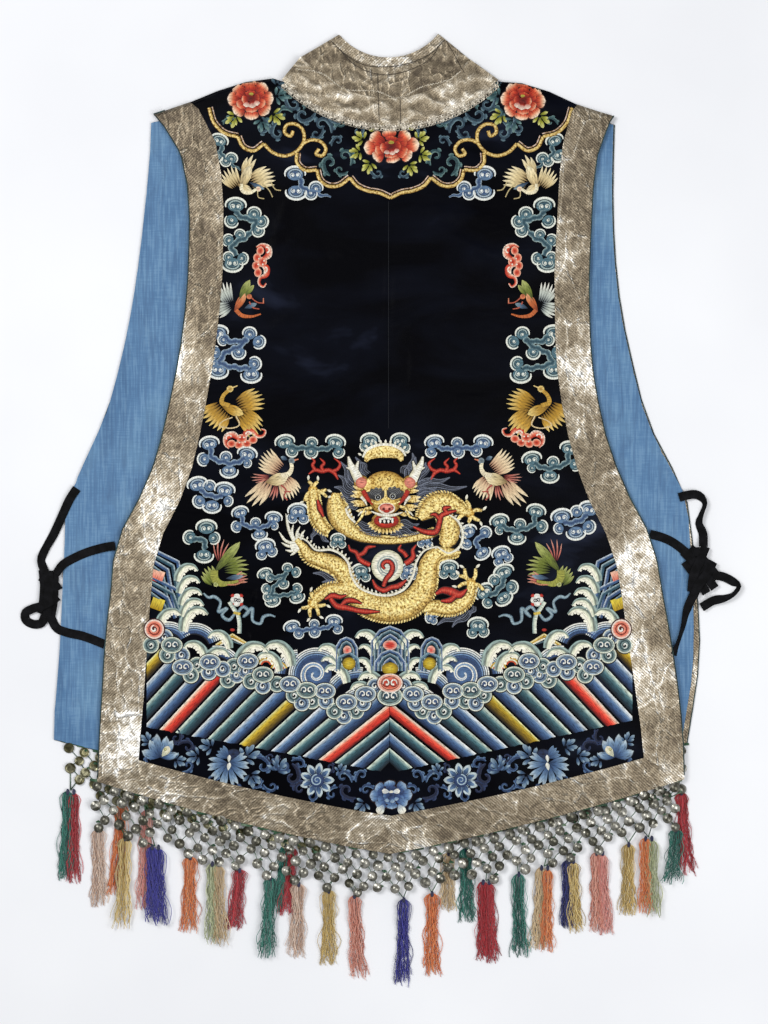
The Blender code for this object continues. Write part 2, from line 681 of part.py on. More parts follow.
def make_yoke():
    """The silver yoke that lies on the back panel round the neck, and the lace along its lower edge."""
    columns = 16
    seam = arc(*COLLAR_SEAM_ENDS, COLLAR_SEAM_SAG, columns)
    edge = arc(*YOKE_ENDS, YOKE_SAG, columns)

    def on_back(x, y):
        return back_under(x, y) + CLOTH + YOKE_LIFT

    points, faces = strip_between(seam, edge, 3)
    wall("neck_yoke", points, faces, on_back, BAND_CLOTH, "silver")
    fine = 2 * LACE_SCALLOPS
    inner = arc(*YOKE_ENDS, YOKE_SAG, fine)
    radius_x = (YOKE_ENDS[0][0] + YOKE_ENDS[1][0]) / 2
    centre = (radius_x, YOKE_ENDS[0][1] + 120)
    outer = []
    for k, (x, y) in enumerate(inner):
        reach = LACE * (1.0 if k % 2 else 0.55)
        away = math.hypot(x - centre[0], y - centre[1])
        outer.append((x + (x - centre[0]) / away * reach, y + (y - centre[1]) / away * reach))
    points, faces = strip_between(inner[1:-1], outer[1:-1], 1)
    wall("neck_lace", points, faces, on_back, BAND_CLOTH * 0.7, "silver")


# Net fringe and tassels
def front_hem_y(side, x):
    outer_hem, centre_hem = FRONT_HEM_Y[side]
    outer_x, centre_x = FRONT_EDGE[side][-1], FRONT_OPENING[side][1]
    return mix(outer_hem, centre_hem, (x - outer_x) / (centre_x - outer_x))


def net_hem(net, x):
    """The hem line that a net hangs from."""
    kind, side = net.split("_")
    return hem_y(x) if kind == "back" else front_hem_y(side, x)


def knot_centre(net, row, step):
    """Centre of a knot: even steps lie under the net's points, odd ones half way between them."""
    hangers = NET_POINTS[net]
    x = float(np.interp(step / 2, range(len(hangers)), hangers))
    return x, net_hem(net, x) - SEAM - NET_CORD - NET_DROP * row


def make_net(net):
    """A knotted net of diamonds, whose last row has a knot only over each tassel."""
    points, faces, knots = [], [], {}
    steps = 2 * len(NET_POINTS[net]) - 1
    for row in range(NET_ROWS):
        for step in range(steps):
            hangs = (row + step) % 2 == 1
            if row == NET_ROWS - 1:
                hangs = step % 2 == 0
            if not hangs:
                continue
            x, y = knot_centre(net, row, step)
            knots[row, step] = len(points)
            points += [(x - NET_CORD, y), (x, y - NET_CORD), (x + NET_CORD, y), (x, y + NET_CORD)]
            faces.append(tuple(range(len(points) - 4, len(points))))
    west, south, east, north = range(4)
    for (row, step), first in knots.items():
        left, right = knots.get((row + 1, step - 1)), knots.get((row + 1, step + 1))
        if left is not None:
            faces.append((first + west, left + north, left + east, first + south))
        if right is not None:
            faces.append((first + south, right + west, right + north, first + east))
    level = BACK_NET_LEVEL if net.startswith("back") else FRONT_NET_LEVEL
    wall(f"net_{net}", points, faces, lambda x, y: level, NET_THICK, "net_cord", inset=0.0)


def make_tassel(number, tassel):
    """A tassel: a bound head under its knot, and strands that start side by side from the head's end."""
    net, point = tassel["net"], tassel["point"]
    x, y = knot_centre(net, NET_ROWS - 1, 2 * point)
    y -= NET_CORD + SEAM
    level = BACK_NET_LEVEL if net.startswith("back") else FRONT_NET_LEVEL
    start_z = level + NET_THICK / 2
    skirts = len(tassel["skirts"])
    sides = STRANDS[skirts]
    lie = tassel["lift"] + HEAD_DEPTH / 2 + SKIRT_CLEAR
    head_z = max(mix(start_z, 0.0, 0.4), lie)
    points = [(x, y, start_z)]
    for ring in HEAD_RINGS:
        ring_z = mix(start_z, head_z, ring["sunk"])
        for k in range(sides):
            angle = 2 * math.pi * (k + 0.5) / sides
            across = math.cos(angle) * HEAD_WIDTH[skirts] / 2 * ring["wide"]
            rise = math.sin(angle) * HEAD_DEPTH / 2 * ring["deep"]
            points.append((x + across, y - ring["down"], max(ring_z + rise, FLOOR_CLEAR)))
    faces = [(0, 1 + k, 1 + (k + 1) % sides) for k in range(sides)]
    for r in range(len(HEAD_RINGS) - 1):
        low, high = 1 + r * sides, 1 + (r + 1) * sides
        faces += [(low + k, high + k, high + (k + 1) % sides, low + (k + 1) % sides) for k in range(sides)]
    last = 1 + (len(HEAD_RINGS) - 1) * sides
    hub = len(points)
    points.append((x, y - HEAD_LENGTH, head_z))
    for k in range(sides):
        corners = (hub, last + k, last + (k + 1) % sides)
        faces += make_strand(points, corners, k, sides, tassel, (x, y - HEAD_LENGTH, lie))
    add_object(f"tassel_{number:02d}_{tassel['skirts'][0]}", points, faces, tassel["skirts"][0])


def make_strand(points, corners, number, sides, tassel, root):
    """Adds the points of one three-sided strand that grows from a face of the head, and returns its faces."""
    skirts = len(tassel["skirts"])
    angle = 2 * math.pi * (number + 1) / sides
    spread = SKIRT_HALF_WIDTH[skirts]
    length = tassel["length"] - HEAD_LENGTH
    centre = [sum(points[c][axis] for c in corners) / 3 for axis in (0, 2)]
    previous, faces = corners, []
    for share in STRAND_STATIONS:
        wave = STRAND_WAVE * math.sin(5.1 * share + 1.7 * number)
        across = mix(centre[0] - root[0], math.cos(angle) * spread, min(share * 1.6, 1.0)) + wave * share
        x = root[0] + across + tassel["swing"] * share**1.3
        y = root[1] - length * share * (1 - 0.03 * (number % 3))
        z = mix(centre[1], root[2] + math.sin(angle) * SKIRT_HALF_DEPTH, min(share * 1.8, 1.0))
        size = mix(*STRAND_RADIUS, share)
        ring = []
        for k, corner in enumerate(corners):
            dx = points[corner][0] - centre[0]
            dz = points[corner][2] - centre[1]
            away = max(math.hypot(dx, dz), 0.01)
            ring.append(len(points))
            points.append((x + dx / away * size, y, max(z + dz / away * size * 0.8, FLOOR_CLEAR + 0.1 * k)))
        for k in range(3):
            m = (k + 1) % 3
            faces.append((previous[k], previous[m], ring[m], ring[k]))
        previous = tuple(ring)
    faces.append(tuple(reversed(previous)))
    return faces


# Ribbon ties and their knots
def ribbon_points(route, width, thick):
    """Rings of four points round a flat tape that follows a route, and the tape's faces."""
    points, faces = [], []
    for k, at in enumerate(route):
        ahead = route[min(k + 1, len(route) - 1)] - route[max(k - 1, 0)]
        size = math.hypot(ahead[0], ahead[1])
        side = (-ahead[1] / size * width / 2, ahead[0] / size * width / 2)
        for sign, z in ((1, 0.0), (-1, 0.0), (-1, thick), (1, thick)):
            points.append((at[0] + sign * side[0], at[1] + sign * side[1], at[2] + z))
    for k in range(len(route) - 1):
        for c in range(4):
            d = (c + 1) % 4
            faces.append((4 * k + c, 4 * k + d, 4 * k + 4 + d, 4 * k + 4 + c))
    last = 4 * (len(route) - 1)
    faces += [(0, 3, 2, 1), (last, last + 1, last + 2, last + 3)]
    return points, faces


def tape_rest(x, y, half_width):
    """Height at which a tape rests: on the lining, and down on the plane beyond its edge."""
    side = "left" if x < 0 else "right"
    beyond = abs(x) - abs(smooth_value(FRONT_EDGE, side, y)) - half_width
    on_lining = lining_under(x, y) + LINING + SEAM + TAPE_CLEAR
    return mix(on_lining, FLOOR_CLEAR, min(max(beyond / TIE_DROP, 0.0), 1.0))


def make_tie(name, tie):
    """A flat tape that comes down from where it is sewn on and runs over the lining to its knot."""
    route = []
    start = tie["route"][0]
    for x, y in smooth_route(tie["route"], 8):
        level = tape_rest(x, y, TIE_WIDTH / 2)
        if tie["sewn_to"] == "back":
            away = math.hypot(x - start[0], y - start[1]) / TIE_DROP
            level = mix(BACK_LEVEL, level, min(away, 1.0))
        route.append(np.array((x, y, level)))
    points, faces = ribbon_points(route, TIE_WIDTH, TIE_THICK)
    add_object(name, points, faces, "tape")


def make_knot(name, knot):
    """A flattened lump of knotted tape with a loop of tape that stands out of it."""
    corners = [np.array(c, float) for c in knot["corners"]]
    centre = sum(corners) / len(corners)
    level = max(tape_rest(x, y, 0.0) for x, y in corners)
    outline = []
    for k, corner in enumerate(corners):
        following = corners[(k + 1) % len(corners)]
        outline += [mix(corner, following, t) for t in (0.15, 0.5, 0.85)]
    rings = ((0.96, 0.0), (1.0, 0.3), (0.96, 0.7), (0.62, 1.0))
    count = len(outline)
    points, faces = [], []
    for size, rise in rings:
        for k, at in enumerate(outline):
            lump = 1 + 0.05 * math.sin(2.6 * k) * rise
            x, y = centre + (at - centre) * size * lump
            points.append((x, y, level + KNOT_DEPTH * rise * (1 + 0.08 * math.sin(1.9 * k))))
    for r in range(len(rings) - 1):
        for k in range(count):
            m = (k + 1) % count
            faces.append((r * count + k, r * count + m, (r + 1) * count + m, (r + 1) * count + k))
    faces.append(tuple(reversed(range(count))))
    faces.append(tuple(range((len(rings) - 1) * count, len(rings) * count)))
    lump = add_object(name, points, faces, "tape")
    route = smooth_route([(x, y, level + LOOP_LIFT) for x, y in knot["loop"]], 12)
    points, faces = ribbon_points(route, TIE_WIDTH * 0.7, TIE_THICK * 2)
    loop = add_object(f"{name}_loop", points, faces, "tape")
    loop.hide_render = True
    loop.display_type = "WIRE"
    join = lump.modifiers.new("loop", "BOOLEAN")
    join.operation = "UNION"
    join.solver = "EXACT"
    join.object = loop


def main():
    for old in list(bpy.data.objects):
        bpy.data.objects.remove(old)
    make_back()
    for side in ("left", "right"):
        make_front(side)
    make_collar()
    make_yoke()
    for net in NET_POINTS:
        make_net(net)
    for number, tassel in enumerate(TASSELS):
        make_tassel(number, tassel)
    for name, tie in TIES.items():
        make_tie(name, tie)
    for name, knot in KNOTS.items():
        make_knot(name, knot)


main()
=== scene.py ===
# %% [markdown]
# A ceremonial vest, laid flat with its back panel up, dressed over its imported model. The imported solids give
# every piece its size and place, and the lines of the embroidery were measured on the picture. This lesson
# makes the cloth, the silver bands, the net fringe with its discs and tassels, the side ties, and last the
# silk and gold embroidery, each as a mesh of its own. Lengths in the tables are millimetres, as a sewing
# pattern's are.

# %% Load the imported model
import math
import random

import bpy
import numpy as np
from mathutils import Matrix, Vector, noise
from mathutils.bvhtree import BVHTree


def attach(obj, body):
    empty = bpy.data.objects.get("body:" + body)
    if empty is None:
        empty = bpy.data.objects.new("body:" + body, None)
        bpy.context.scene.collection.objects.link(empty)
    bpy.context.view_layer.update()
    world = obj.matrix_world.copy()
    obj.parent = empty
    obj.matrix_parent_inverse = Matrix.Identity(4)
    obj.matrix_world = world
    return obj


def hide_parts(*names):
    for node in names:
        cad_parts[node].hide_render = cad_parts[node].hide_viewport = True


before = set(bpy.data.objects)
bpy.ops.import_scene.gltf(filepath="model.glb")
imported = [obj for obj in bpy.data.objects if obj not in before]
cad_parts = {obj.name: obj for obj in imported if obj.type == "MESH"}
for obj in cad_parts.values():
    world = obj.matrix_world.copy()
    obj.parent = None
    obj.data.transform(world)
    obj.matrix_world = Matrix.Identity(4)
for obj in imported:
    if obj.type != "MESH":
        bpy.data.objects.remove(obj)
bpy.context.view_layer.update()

MM = 0.001

# %% [markdown]
# The camera looks straight down, as it did over the table that the vest was photographed on. The picture is
# 768 by 1024 pixels and one pixel is 1.2 mm on the cloth, so the height of the frame is known and the lens
# follows from it. A long lens from high up keeps the outline almost free of perspective. The pixel of the
# vest's origin turns every other pixel of the picture into a place on the cloth.

# %% Camera
PIXEL = 1.2
PICTURE = (768, 1024)
ORIGIN = (380, 510)
EYE_HEIGHT = 3.4
CLOTH_HEIGHT = 0.006
SENSOR_HEIGHT = 24
picture_centre = ((PICTURE[0] / 2 - ORIGIN[0]) * PIXEL * MM, (ORIGIN[1] - PICTURE[1] / 2) * PIXEL * MM)
bpy.ops.object.camera_add(location=(*picture_centre, EYE_HEIGHT), rotation=(0, 0, 0))
camera = bpy.context.object
camera.data.sensor_fit = "VERTICAL"
camera.data.sensor_height = SENSOR_HEIGHT
camera.data.lens = SENSOR_HEIGHT * (EYE_HEIGHT - CLOTH_HEIGHT) / (PICTURE[1] * PIXEL * MM)
camera.data.clip_end = 20
bpy.context.scene.camera = camera
print("lens", round(camera.data.lens, 1), "mm")

# %% [markdown]
# Every finish is built of shader nodes. Colours are written as they look on a screen, as sRGB hex, and one
# function turns them linear. Another adds a node with its settings, its values and its links, so that a
# finish reads as a list of what it is made of.

# %% Helpers for colours and shader nodes
# The two colour inputs of a mix node, which has inputs of the same names for other kinds of values.
MIX_A, MIX_B = 6, 7


def linear(code):
    """An sRGB hex colour as linear red, green, blue and alpha."""
    values = [int(code[k : k + 2], 16) / 255 for k in (0, 2, 4)]
    return tuple(v / 12.92 if v <= 0.04045 else ((v + 0.055) / 1.055) ** 2.4 for v in values) + (1.0,)


def feed(tree, node, inputs):
    """Fills a node's inputs with values or links; a node is linked by its first output in use."""
    for name, value in inputs.items():
        if isinstance(value, bpy.types.Node):
            value = next(output for output in value.outputs if output.enabled)
        if isinstance(value, bpy.types.NodeSocket):
            tree.links.new(value, node.inputs[name])
        else:
            node.inputs[name].default_value = value


def add_node(tree, kind, inputs=None, stops=(), **settings):
    """A shader node with its settings made, its inputs filled and the stops of its colour ramp set."""
    made = tree.nodes.new(kind)
    for name, value in settings.items():
        setattr(made, name, value)
    feed(tree, made, inputs or {})
    if stops:
        elements = made.color_ramp.elements
        while len(elements) < len(stops):
            elements.new(0.5)
        for element, (position, code) in zip(elements, stops):
            element.position, element.color = position, linear(code)
    return made


def new_material(name):
    """A new material: returns it with its node tree, its shader node and its Object coordinates."""
    made = bpy.data.materials.new(name)
    made.use_nodes = True
    tree = made.node_tree
    return made, tree, tree.nodes["Principled BSDF"], add_node(tree, "ShaderNodeTexCoord").outputs["Object"]


# %% [markdown]
# A pale studio: a white table, a soft white surround and three soft lights. The key comes from the upper left
# and models the stitches, a weaker one fills the shade from the lower right, and a small one overhead glints
# in the silver bands.

# %% Table and lights
def table_white():
    """Matt white lacquer, sprayed: even and pale, with the faintest mottle."""
    made, tree, shader, place = new_material("table_matt_white_lacquer")
    mottle = add_node(tree, "ShaderNodeTexNoise", {"Vector": place, "Scale": 3.0, "Detail": 3.0})
    tint = add_node(tree, "ShaderNodeValToRGB", {"Fac": mottle}, ((0.3, "e9eaed"), (0.7, "f1f2f4")))
    feed(tree, shader, {"Base Color": tint, "Roughness": 0.75})
    return made


bpy.ops.mesh.primitive_plane_add(size=6, location=(0, 0, -0.0002))
table = bpy.context.object
table.name = "table"
table.data.materials.append(table_white())

LIGHTS = {
    "key_softbox": {"at": (-1.35, 0.85, 2.55), "size": 1.1, "watts": 44},
    "fill_softbox": {"at": (1.5, -0.8, 2.4), "size": 1.5, "watts": 31},
    "glint_softbox": {"at": (0.75, 0.15, 2.7), "size": 0.5, "watts": 8},
}
for name, light in LIGHTS.items():
    aim = Vector((0, 0, 0)) - Vector(light["at"])
    turn = aim.to_track_quat("-Z", "Y").to_euler()
    bpy.ops.object.light_add(type="AREA", location=light["at"], rotation=turn)
    bpy.context.object.name = name
    bpy.context.object.data.energy = light["watts"]
    bpy.context.object.data.size = light["size"]
world = bpy.data.worlds.new("studio_surround")
world.use_nodes = True
world.node_tree.nodes["Background"].inputs["Color"].default_value = linear("f4f6fa")
world.node_tree.nodes["Background"].inputs["Strength"].default_value = 0.38
bpy.context.scene.world = world
bpy.context.scene.view_settings.view_transform = "Standard"
print("lights", list(LIGHTS))

# %% [markdown]
# Every cloth piece starts as a copy of its solid. The copy's loose triangles are merged, split finer in edit
# mode, and then its upper points are raised into creases that are placed one by one, so that the shell keeps
# its solid's form and thickness. A simulation would drape it anew and lose the true outline.

# %% Helpers for meshes
# In metres: points nearer than this are merged, and things are dropped on the cloth from this height.
MERGE_DISTANCE = 0.00002
DROP_FROM = 0.05


def only(piece):
    """Selects one object alone and makes it the active one."""
    bpy.ops.object.select_all(action="DESELECT")
    piece.select_set(True)
    bpy.context.view_layer.objects.active = piece


def in_edit_mode(piece, action, **options):
    """Does one of the mesh editor's actions to the whole of a piece."""
    only(piece)
    bpy.ops.object.mode_set(mode="EDIT")
    bpy.ops.mesh.select_all(action="SELECT")
    action(**options)
    bpy.ops.object.mode_set(mode="OBJECT")


def new_piece(name, points, faces):
    """A new object from an array of points in metres and a list of faces."""
    mesh = bpy.data.meshes.new(name)
    mesh.from_pydata(points.tolist(), [], faces)
    made = bpy.data.objects.new(name, mesh)
    bpy.context.scene.collection.objects.link(made)
    return made


def own_copy(node, name):
    """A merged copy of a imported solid's mesh, as a new object."""
    made = bpy.data.objects.new(name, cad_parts[node].data.copy())
    bpy.context.scene.collection.objects.link(made)
    made.data.materials.clear()
    for layer in list(made.data.attributes):
        if layer.name in ("custom_normal", "UVMap"):
            made.data.attributes.remove(layer)
    in_edit_mode(made, bpy.ops.mesh.remove_doubles, threshold=MERGE_DISTANCE)
    return made


def split_finer(piece, cuts):
    """Splits every edge of a piece into cuts + 1."""
    in_edit_mode(piece, bpy.ops.mesh.subdivide, number_cuts=cuts)


def points_of(piece):
    """The points of a piece's mesh as an array, in metres."""
    flat = np.zeros(len(piece.data.vertices) * 3)
    piece.data.vertices.foreach_get("co", flat)
    return flat.reshape(-1, 3)


def set_points(piece, points):
    piece.data.vertices.foreach_set("co", points.reshape(-1))
    piece.data.update()


def cover_of(piece):
    """The surface of a piece, on which other things can be dropped."""
    points = [point.co.copy() for point in piece.data.vertices]
    return BVHTree.FromPolygons(points, [tuple(face.vertices) for face in piece.data.polygons])


def height_on(cover, x, y):
    """Height of a cover's upper side at x and y, all in millimetres, or nothing beyond its edge."""
    hit = cover.ray_cast(Vector((x * MM, y * MM, DROP_FROM)), Vector((0, 0, -1)))[0]
    return None if hit is None else hit.z / MM


def finish_piece(piece, material, slot, *nodes, smooth=40):
    """Shades a piece, gives it its material, lets it ride on the vest and stand for its solids."""
    only(piece)
    bpy.ops.object.shade_smooth_by_angle(angle=math.radians(smooth))
    piece.data.materials.clear()
    piece.data.materials.append(material)
    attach(piece, "root")
    if nodes:
        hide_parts(*nodes)
    return piece


def cut_area(piece):
    """The flat area of a laid cloth, in square metres: all that faces up."""
    return sum(face.area for face in piece.data.polygons if face.normal.z > 0.35)


def declare_cloth(piece, strip=False):
    """Prints the size of the cut of a laid sheet of cloth: as it lies, or for a strip its own width."""
    points = points_of(piece)
    width, length = (points.max(0) - points.min(0))[:2]
    area = min(cut_area(piece), 0.999 * width * length)
    if strip:
        length = math.hypot(width, length)
        width, area = area / length, None
    print(piece.name, "cut", round(width, 3), "by", round(length, 3), "m, area", area)


# %% [markdown]
# Creases are soft ridges and troughs along short lines. Each row of a table places one: the x and y of its
# middle, half its length, half its width, the way it runs in degrees from +X, how high it stands, and last
# how far it bows, where it is bent. A negative height is a trough. They are uneven in length, depth and
# direction, as creases pressed by folding are.

# %% Creases
def crease_height(creases, x, y):
    """Height in millimetres of all the creases of a table at points x, y, given as arrays."""
    total = np.zeros_like(x)
    for crease in creases:
        middle_x, middle_y, length, width, degrees, height, bow = (*crease, 0.0)[:7]
        turn = math.radians(degrees)
        dx, dy = x - middle_x, y - middle_y
        along = (dx * math.cos(turn) + dy * math.sin(turn)) / length
        bend = bow * (1 - along**2)
        across = (dy * math.cos(turn) - dx * math.sin(turn) - bend) / width
        total += np.where(abs(along) < 1, height * (1 - along**2) ** 2 * np.exp(-(across**2)), 0.0)
    return total


def ripple_height(points, size, height, seed):
    """Uneven low swells of cloth that isn't pressed: noise of a size in millimetres."""
    swell = [noise.noise(Vector((x / size, y / size, seed))) for x, y in points]
    return height * np.array(swell)


def raise_top(piece, height):
    """Moves the upper points of a closed shell by a height in millimetres, and its lower ones not at all."""
    points = points_of(piece)
    normals = np.zeros(len(points) * 3)
    piece.data.vertices.foreach_get("normal", normals)
    upper = np.clip(normals.reshape(-1, 3)[:, 2], 0, 1)
    points[:, 2] += height(points[:, :2] / MM) * upper * MM
    set_points(piece, points)


# %% [markdown]
# The back panel is silk satin, woven with long floats that give a dark, even gloss, and dyed a blue that is
# almost black. Its sheen comes partly from the shader's own sheen and partly from paler streaks painted into
# its colour along a soft noise; the floats are a fine bump. Real floats are 0.15 mm apart, which is drawn
# here at 0.9 mm so that it shows in a close view.

# %% Satin
FLOAT_PITCH = 0.9


def satin(name, dark, light, painted_highlight):
    """Silk satin, woven with long floats along the length and calendered; soft rumples are painted paler in its
    colour as sheen.
    """
    made, tree, shader, place = new_material(name)
    drawn = {"Vector": place, "Rotation": (0, 0, 0.2), "Scale": (0.42, 1.0, 1.0)}
    drawn = add_node(tree, "ShaderNodeMapping", drawn)
    rumple = {"Vector": drawn, "Scale": 15.0, "Detail": 4.0, "Distortion": 0.4}
    rumple = add_node(tree, "ShaderNodeTexNoise", rumple)
    # The ramp's paler stops are painted sheen along a soft noise of rumples, which is not tied to the creases.
    tint = add_node(tree, "ShaderNodeValToRGB", {"Fac": rumple}, ((0.42, dark), (0.6, light), (0.74, painted_highlight)))
    stretch = add_node(tree, "ShaderNodeMapping", {"Vector": place, "Scale": (1.0, 0.12, 1.0)})
    floats = add_node(tree, "ShaderNodeTexNoise", {"Vector": stretch, "Scale": 1 / (FLOAT_PITCH * MM)})
    low = add_node(tree, "ShaderNodeBump", {"Height": rumple, "Distance": 4.0 * MM, "Strength": 0.6})
    fine = {"Height": floats, "Distance": 0.12 * MM, "Strength": 0.5, "Normal": low}
    fine = add_node(tree, "ShaderNodeBump", fine)
    feed(tree, shader, {"Base Color": tint, "Normal": fine, "Roughness": 0.36, "Specular IOR Level": 0.03})
    feed(tree, shader, {"Sheen Weight": 0.012, "Sheen Roughness": 0.4, "Sheen Tint": linear("5a668c")})
    return made


# The second and third tints are painted sheen on the navy satin.
SATIN = satin("satin_silk_woven_navy", "020205", "070912", "1e2333")
BACK_CREASES = (
    (10, 250, 200, 1.2, 90, 0.5),
    (70, 352, 90, 3.5, -8, 0.8, 6),
    (118, 318, 80, 4.5, -26, 0.9, -5),
    (-40, 300, 70, 5.0, 14, 0.6, 4),
    (-95, 240, 90, 6.0, 34, 0.5),
    (60, 225, 100, 6.0, -12, -0.6, 8),
    (140, 180, 80, 5.0, 48, 0.5),
    (-60, 160, 80, 5.5, -22, 0.5, -6),
    (-120, 340, 50, 4.0, 70, 0.6),
    (30, 120, 90, 6.0, 6, 0.5, 5),
)
back_panel = own_copy("back_body", "back_panel")
split_finer(back_panel, 5)
raise_top(
    back_panel,
    lambda at: crease_height(BACK_CREASES, at[:, 0], at[:, 1]) * 1.5 + ripple_height(at, 70, 0.5, 3.0),
)
finish_piece(back_panel, SATIN, "satin", "back_body")
declare_cloth(back_panel)
for side in ("left", "right"):
    front = own_copy(f"front_body_{side}", f"front_panel_{side}")
    split_finer(front, 2)
    finish_piece(front, SATIN, "satin", f"front_body_{side}")
    declare_cloth(front)

# %% [markdown]
# The bands are silver brocade: a silk ground with flat strips of silvered metal laid across it, which has
# tarnished to a warm grey and crumpled where it bends. Its glints come partly from a rough metal over a bump
# of sharp small creases, and partly from paler patches and lines painted into its colour. The strips are
# 0.5 mm wide, and are drawn 2.7 mm apart so that they show.

# %% Silver brocade
STRIP_PITCH = 2.7
# How far the lines of the metal's creases wander, in metres.
SWAY = 0.012


def silver_brocade(name, turn, pattern=0.0, creasing=1.0, bright=0.5, paler=0.0, paler_low=0.0):
    """Tarnished silver strip brocade, woven flat: how strong its scrolls, its creases with their painted
    glints, and its zones of painted highlight are.

    paler adds to its tone everywhere, and paler_low adds towards the hem and takes away towards the neck.
    """
    made, tree, shader, place = new_material(name)
    grain = add_node(tree, "ShaderNodeTexNoise", {"Vector": place, "Scale": 760.0, "Detail": 3.0})
    crumple = {"Vector": place, "Scale": 88.0, "Detail": 6.0, "Distortion": 0.7}
    crumple = add_node(tree, "ShaderNodeTexNoise", crumple)
    # The strips run slantwise over the cloth, so their wave is a diagonal one.
    lean = math.radians(92 if turn > 0 else -2)
    leaning = add_node(tree, "ShaderNodeMapping", {"Vector": place, "Rotation": (0, 0, lean)})
    wave_scale = 2 * math.pi / (10 * math.sqrt(2) * STRIP_PITCH * MM)
    strips = {"Vector": leaning, "Scale": wave_scale, "Distortion": 2.0, "Detail": 2.0, "Detail Scale": 0.5}
    strips = add_node(tree, "ShaderNodeTexWave", strips, bands_direction="DIAGONAL")
    # Zones of painted highlight are paler, and a brighter cloth has more of them.
    zones = add_node(tree, "ShaderNodeTexNoise", {"Vector": place, "Scale": 9.0, "Detail": 4.0})
    painted_highlight = {"Value": zones, "From Min": 0.6 - 0.2 * bright, "From Max": 0.78 - 0.2 * bright}
    painted_highlight.update({"To Min": 0.0 if pattern else -0.025, "To Max": 0.14})
    painted_highlight = add_node(tree, "ShaderNodeMapRange", painted_highlight)
    scrolls = {"Vector": place, "Scale": 15.0, "Distortion": 9.0, "Detail": 1.5, "Detail Scale": 2.0}
    scrolls = add_node(tree, "ShaderNodeTexWave", scrolls, wave_type="RINGS")
    # Two nets of wandering lines, a wide one and a close one, are the creases that the metal has taken; they
    # are also painted paler in the tone, as glints along the creases.
    lie = add_node(tree, "ShaderNodeMapping", {"Vector": place, "Rotation": (0, 0, math.radians(turn))})
    long_way = add_node(tree, "ShaderNodeMapping", {"Vector": lie, "Scale": (1.0, 0.45, 1.0)})
    sway = add_node(tree, "ShaderNodeTexNoise", {"Vector": place, "Scale": 40.0, "Detail": 2.0})
    bent = {0: sway.outputs["Color"], 1: (SWAY, SWAY, 0.0)}
    bent = add_node(tree, "ShaderNodeVectorMath", bent, operation="MULTIPLY")
    bent = add_node(tree, "ShaderNodeVectorMath", {0: long_way, 1: bent})
    edges = []
    for scale, reach in ((34.0, 0.05), (95.0, 0.14)):
        cells = {"Vector": bent, "Scale": scale}
        cells = add_node(tree, "ShaderNodeTexVoronoi", cells, feature="DISTANCE_TO_EDGE")
        edge = {"Value": cells, "From Max": reach, "To Min": 1.0, "To Max": 0.0}
        edges.append(add_node(tree, "ShaderNodeMapRange", edge))
    # The tone of the cloth is the sum of all these, each with its share. Grain, crumples, creases and highlight
    # zones lift it into the pale top of the ramp: painted glints over the tarnish.
    height = add_node(tree, "ShaderNodeSeparateXYZ", {0: place}).outputs["Y"]
    tone = {"Value": height, "From Min": -0.3, "From Max": 0.5}
    tone.update({"To Min": paler + paler_low, "To Max": paler - paler_low})
    tone = add_node(tree, "ShaderNodeMapRange", tone)
    tone = add_node(tree, "ShaderNodeMath", {0: tone, 1: painted_highlight})
    for texture, share in (
        (grain, 0.22), (crumple, 0.38), (strips, 0.03 if pattern else 0.08), (scrolls, 0.1 * pattern),
        (edges[0], 0.09 * creasing), (edges[1], 0.05 * creasing),
    ):
        part = add_node(tree, "ShaderNodeMath", {0: texture, 1: share}, operation="MULTIPLY")
        tone = add_node(tree, "ShaderNodeMath", {0: tone, 1: part})
    # The ramp runs from the tarnish's warm greys up to a near-white, which is painted glint.
    tarnish = ((0.26, "564c3f"), (0.33, "766a57"), (0.41, "908470"), (0.49, "beb5a4"), (0.56, "faf8f2"))
    # Every relief stands over the one before it: its height, its depth in mm and its strength.
    some = {"Value": crumple, "From Min": 0.44, "From Max": 0.6, "To Max": creasing}
    some = add_node(tree, "ShaderNodeMapRange", some)
    below = {}
    for texture, depth, strength in (
        (edges[0], 1.2, some),
        (edges[1], 0.8, some),
        (crumple, 1.8, 0.3 + 0.7 * bright),
        (grain, 0.35, 0.4 + 0.6 * bright),
        (scrolls.outputs["Fac"], 0.7, pattern),
        (strips.outputs["Fac"], 0.14, 0.7),
    ):
        if strength != 0.0:
            relief = {"Height": texture, "Distance": depth * MM, "Strength": strength, **below}
            below = {"Normal": add_node(tree, "ShaderNodeBump", relief)}
    feed(tree, shader, {"Base Color": add_node(tree, "ShaderNodeValToRGB", {"Fac": tone}, tarnish), **below})
    feed(tree, shader, {"Roughness": 0.4, "Metallic": 0.75})
    return made


# %% [markdown]
# Four bands lie on the back: one down each side, and two along the hem that meet at the point. Each is a
# copy of its solid, split fine and crumpled by a noise that turns over in sharp ridges, with the larger
# creases of two tables on it. The bands of the fronts lie underneath and are left plain.

# %% Silver bands
BAND_TURN = {"side_left": 4, "side_right": -6, "hem_left": 72, "hem_right": -72}
BAND_PALER_LOW = {"side_left": 0.06}
# How bright each band is: how much painted highlight it has, and how strongly its crumples and grain stand out.
BAND_BRIGHT = {"side_left": 0.5, "side_right": 0.75, "hem_left": 0.45, "hem_right": 0.5}
HEM_CREASES = (
    (-300, -345, 26, 1.6, -48, 1.0),
    (-262, -338, 26, 1.4, -20, 0.8),
    (-196, -352, 34, 1.5, 30, 1.2),
    (-168, -360, 36, 1.3, 24, -0.9),
    (-128, -372, 30, 1.4, -66, 1.3),
    (-70, -382, 34, 1.6, 62, 1.0),
    (10, -390, 30, 1.2, 84, 1.1),
    (46, -386, 36, 1.5, 38, 1.2),
    (96, -372, 34, 1.4, -32, 0.9),
    (150, -358, 34, 1.3, 46, 1.1),
    (205, -346, 30, 1.6, 20, 0.9),
    (262, -326, 32, 1.5, -38, 1.0),
    (330, -300, 30, 1.4, 58, 1.1),
)
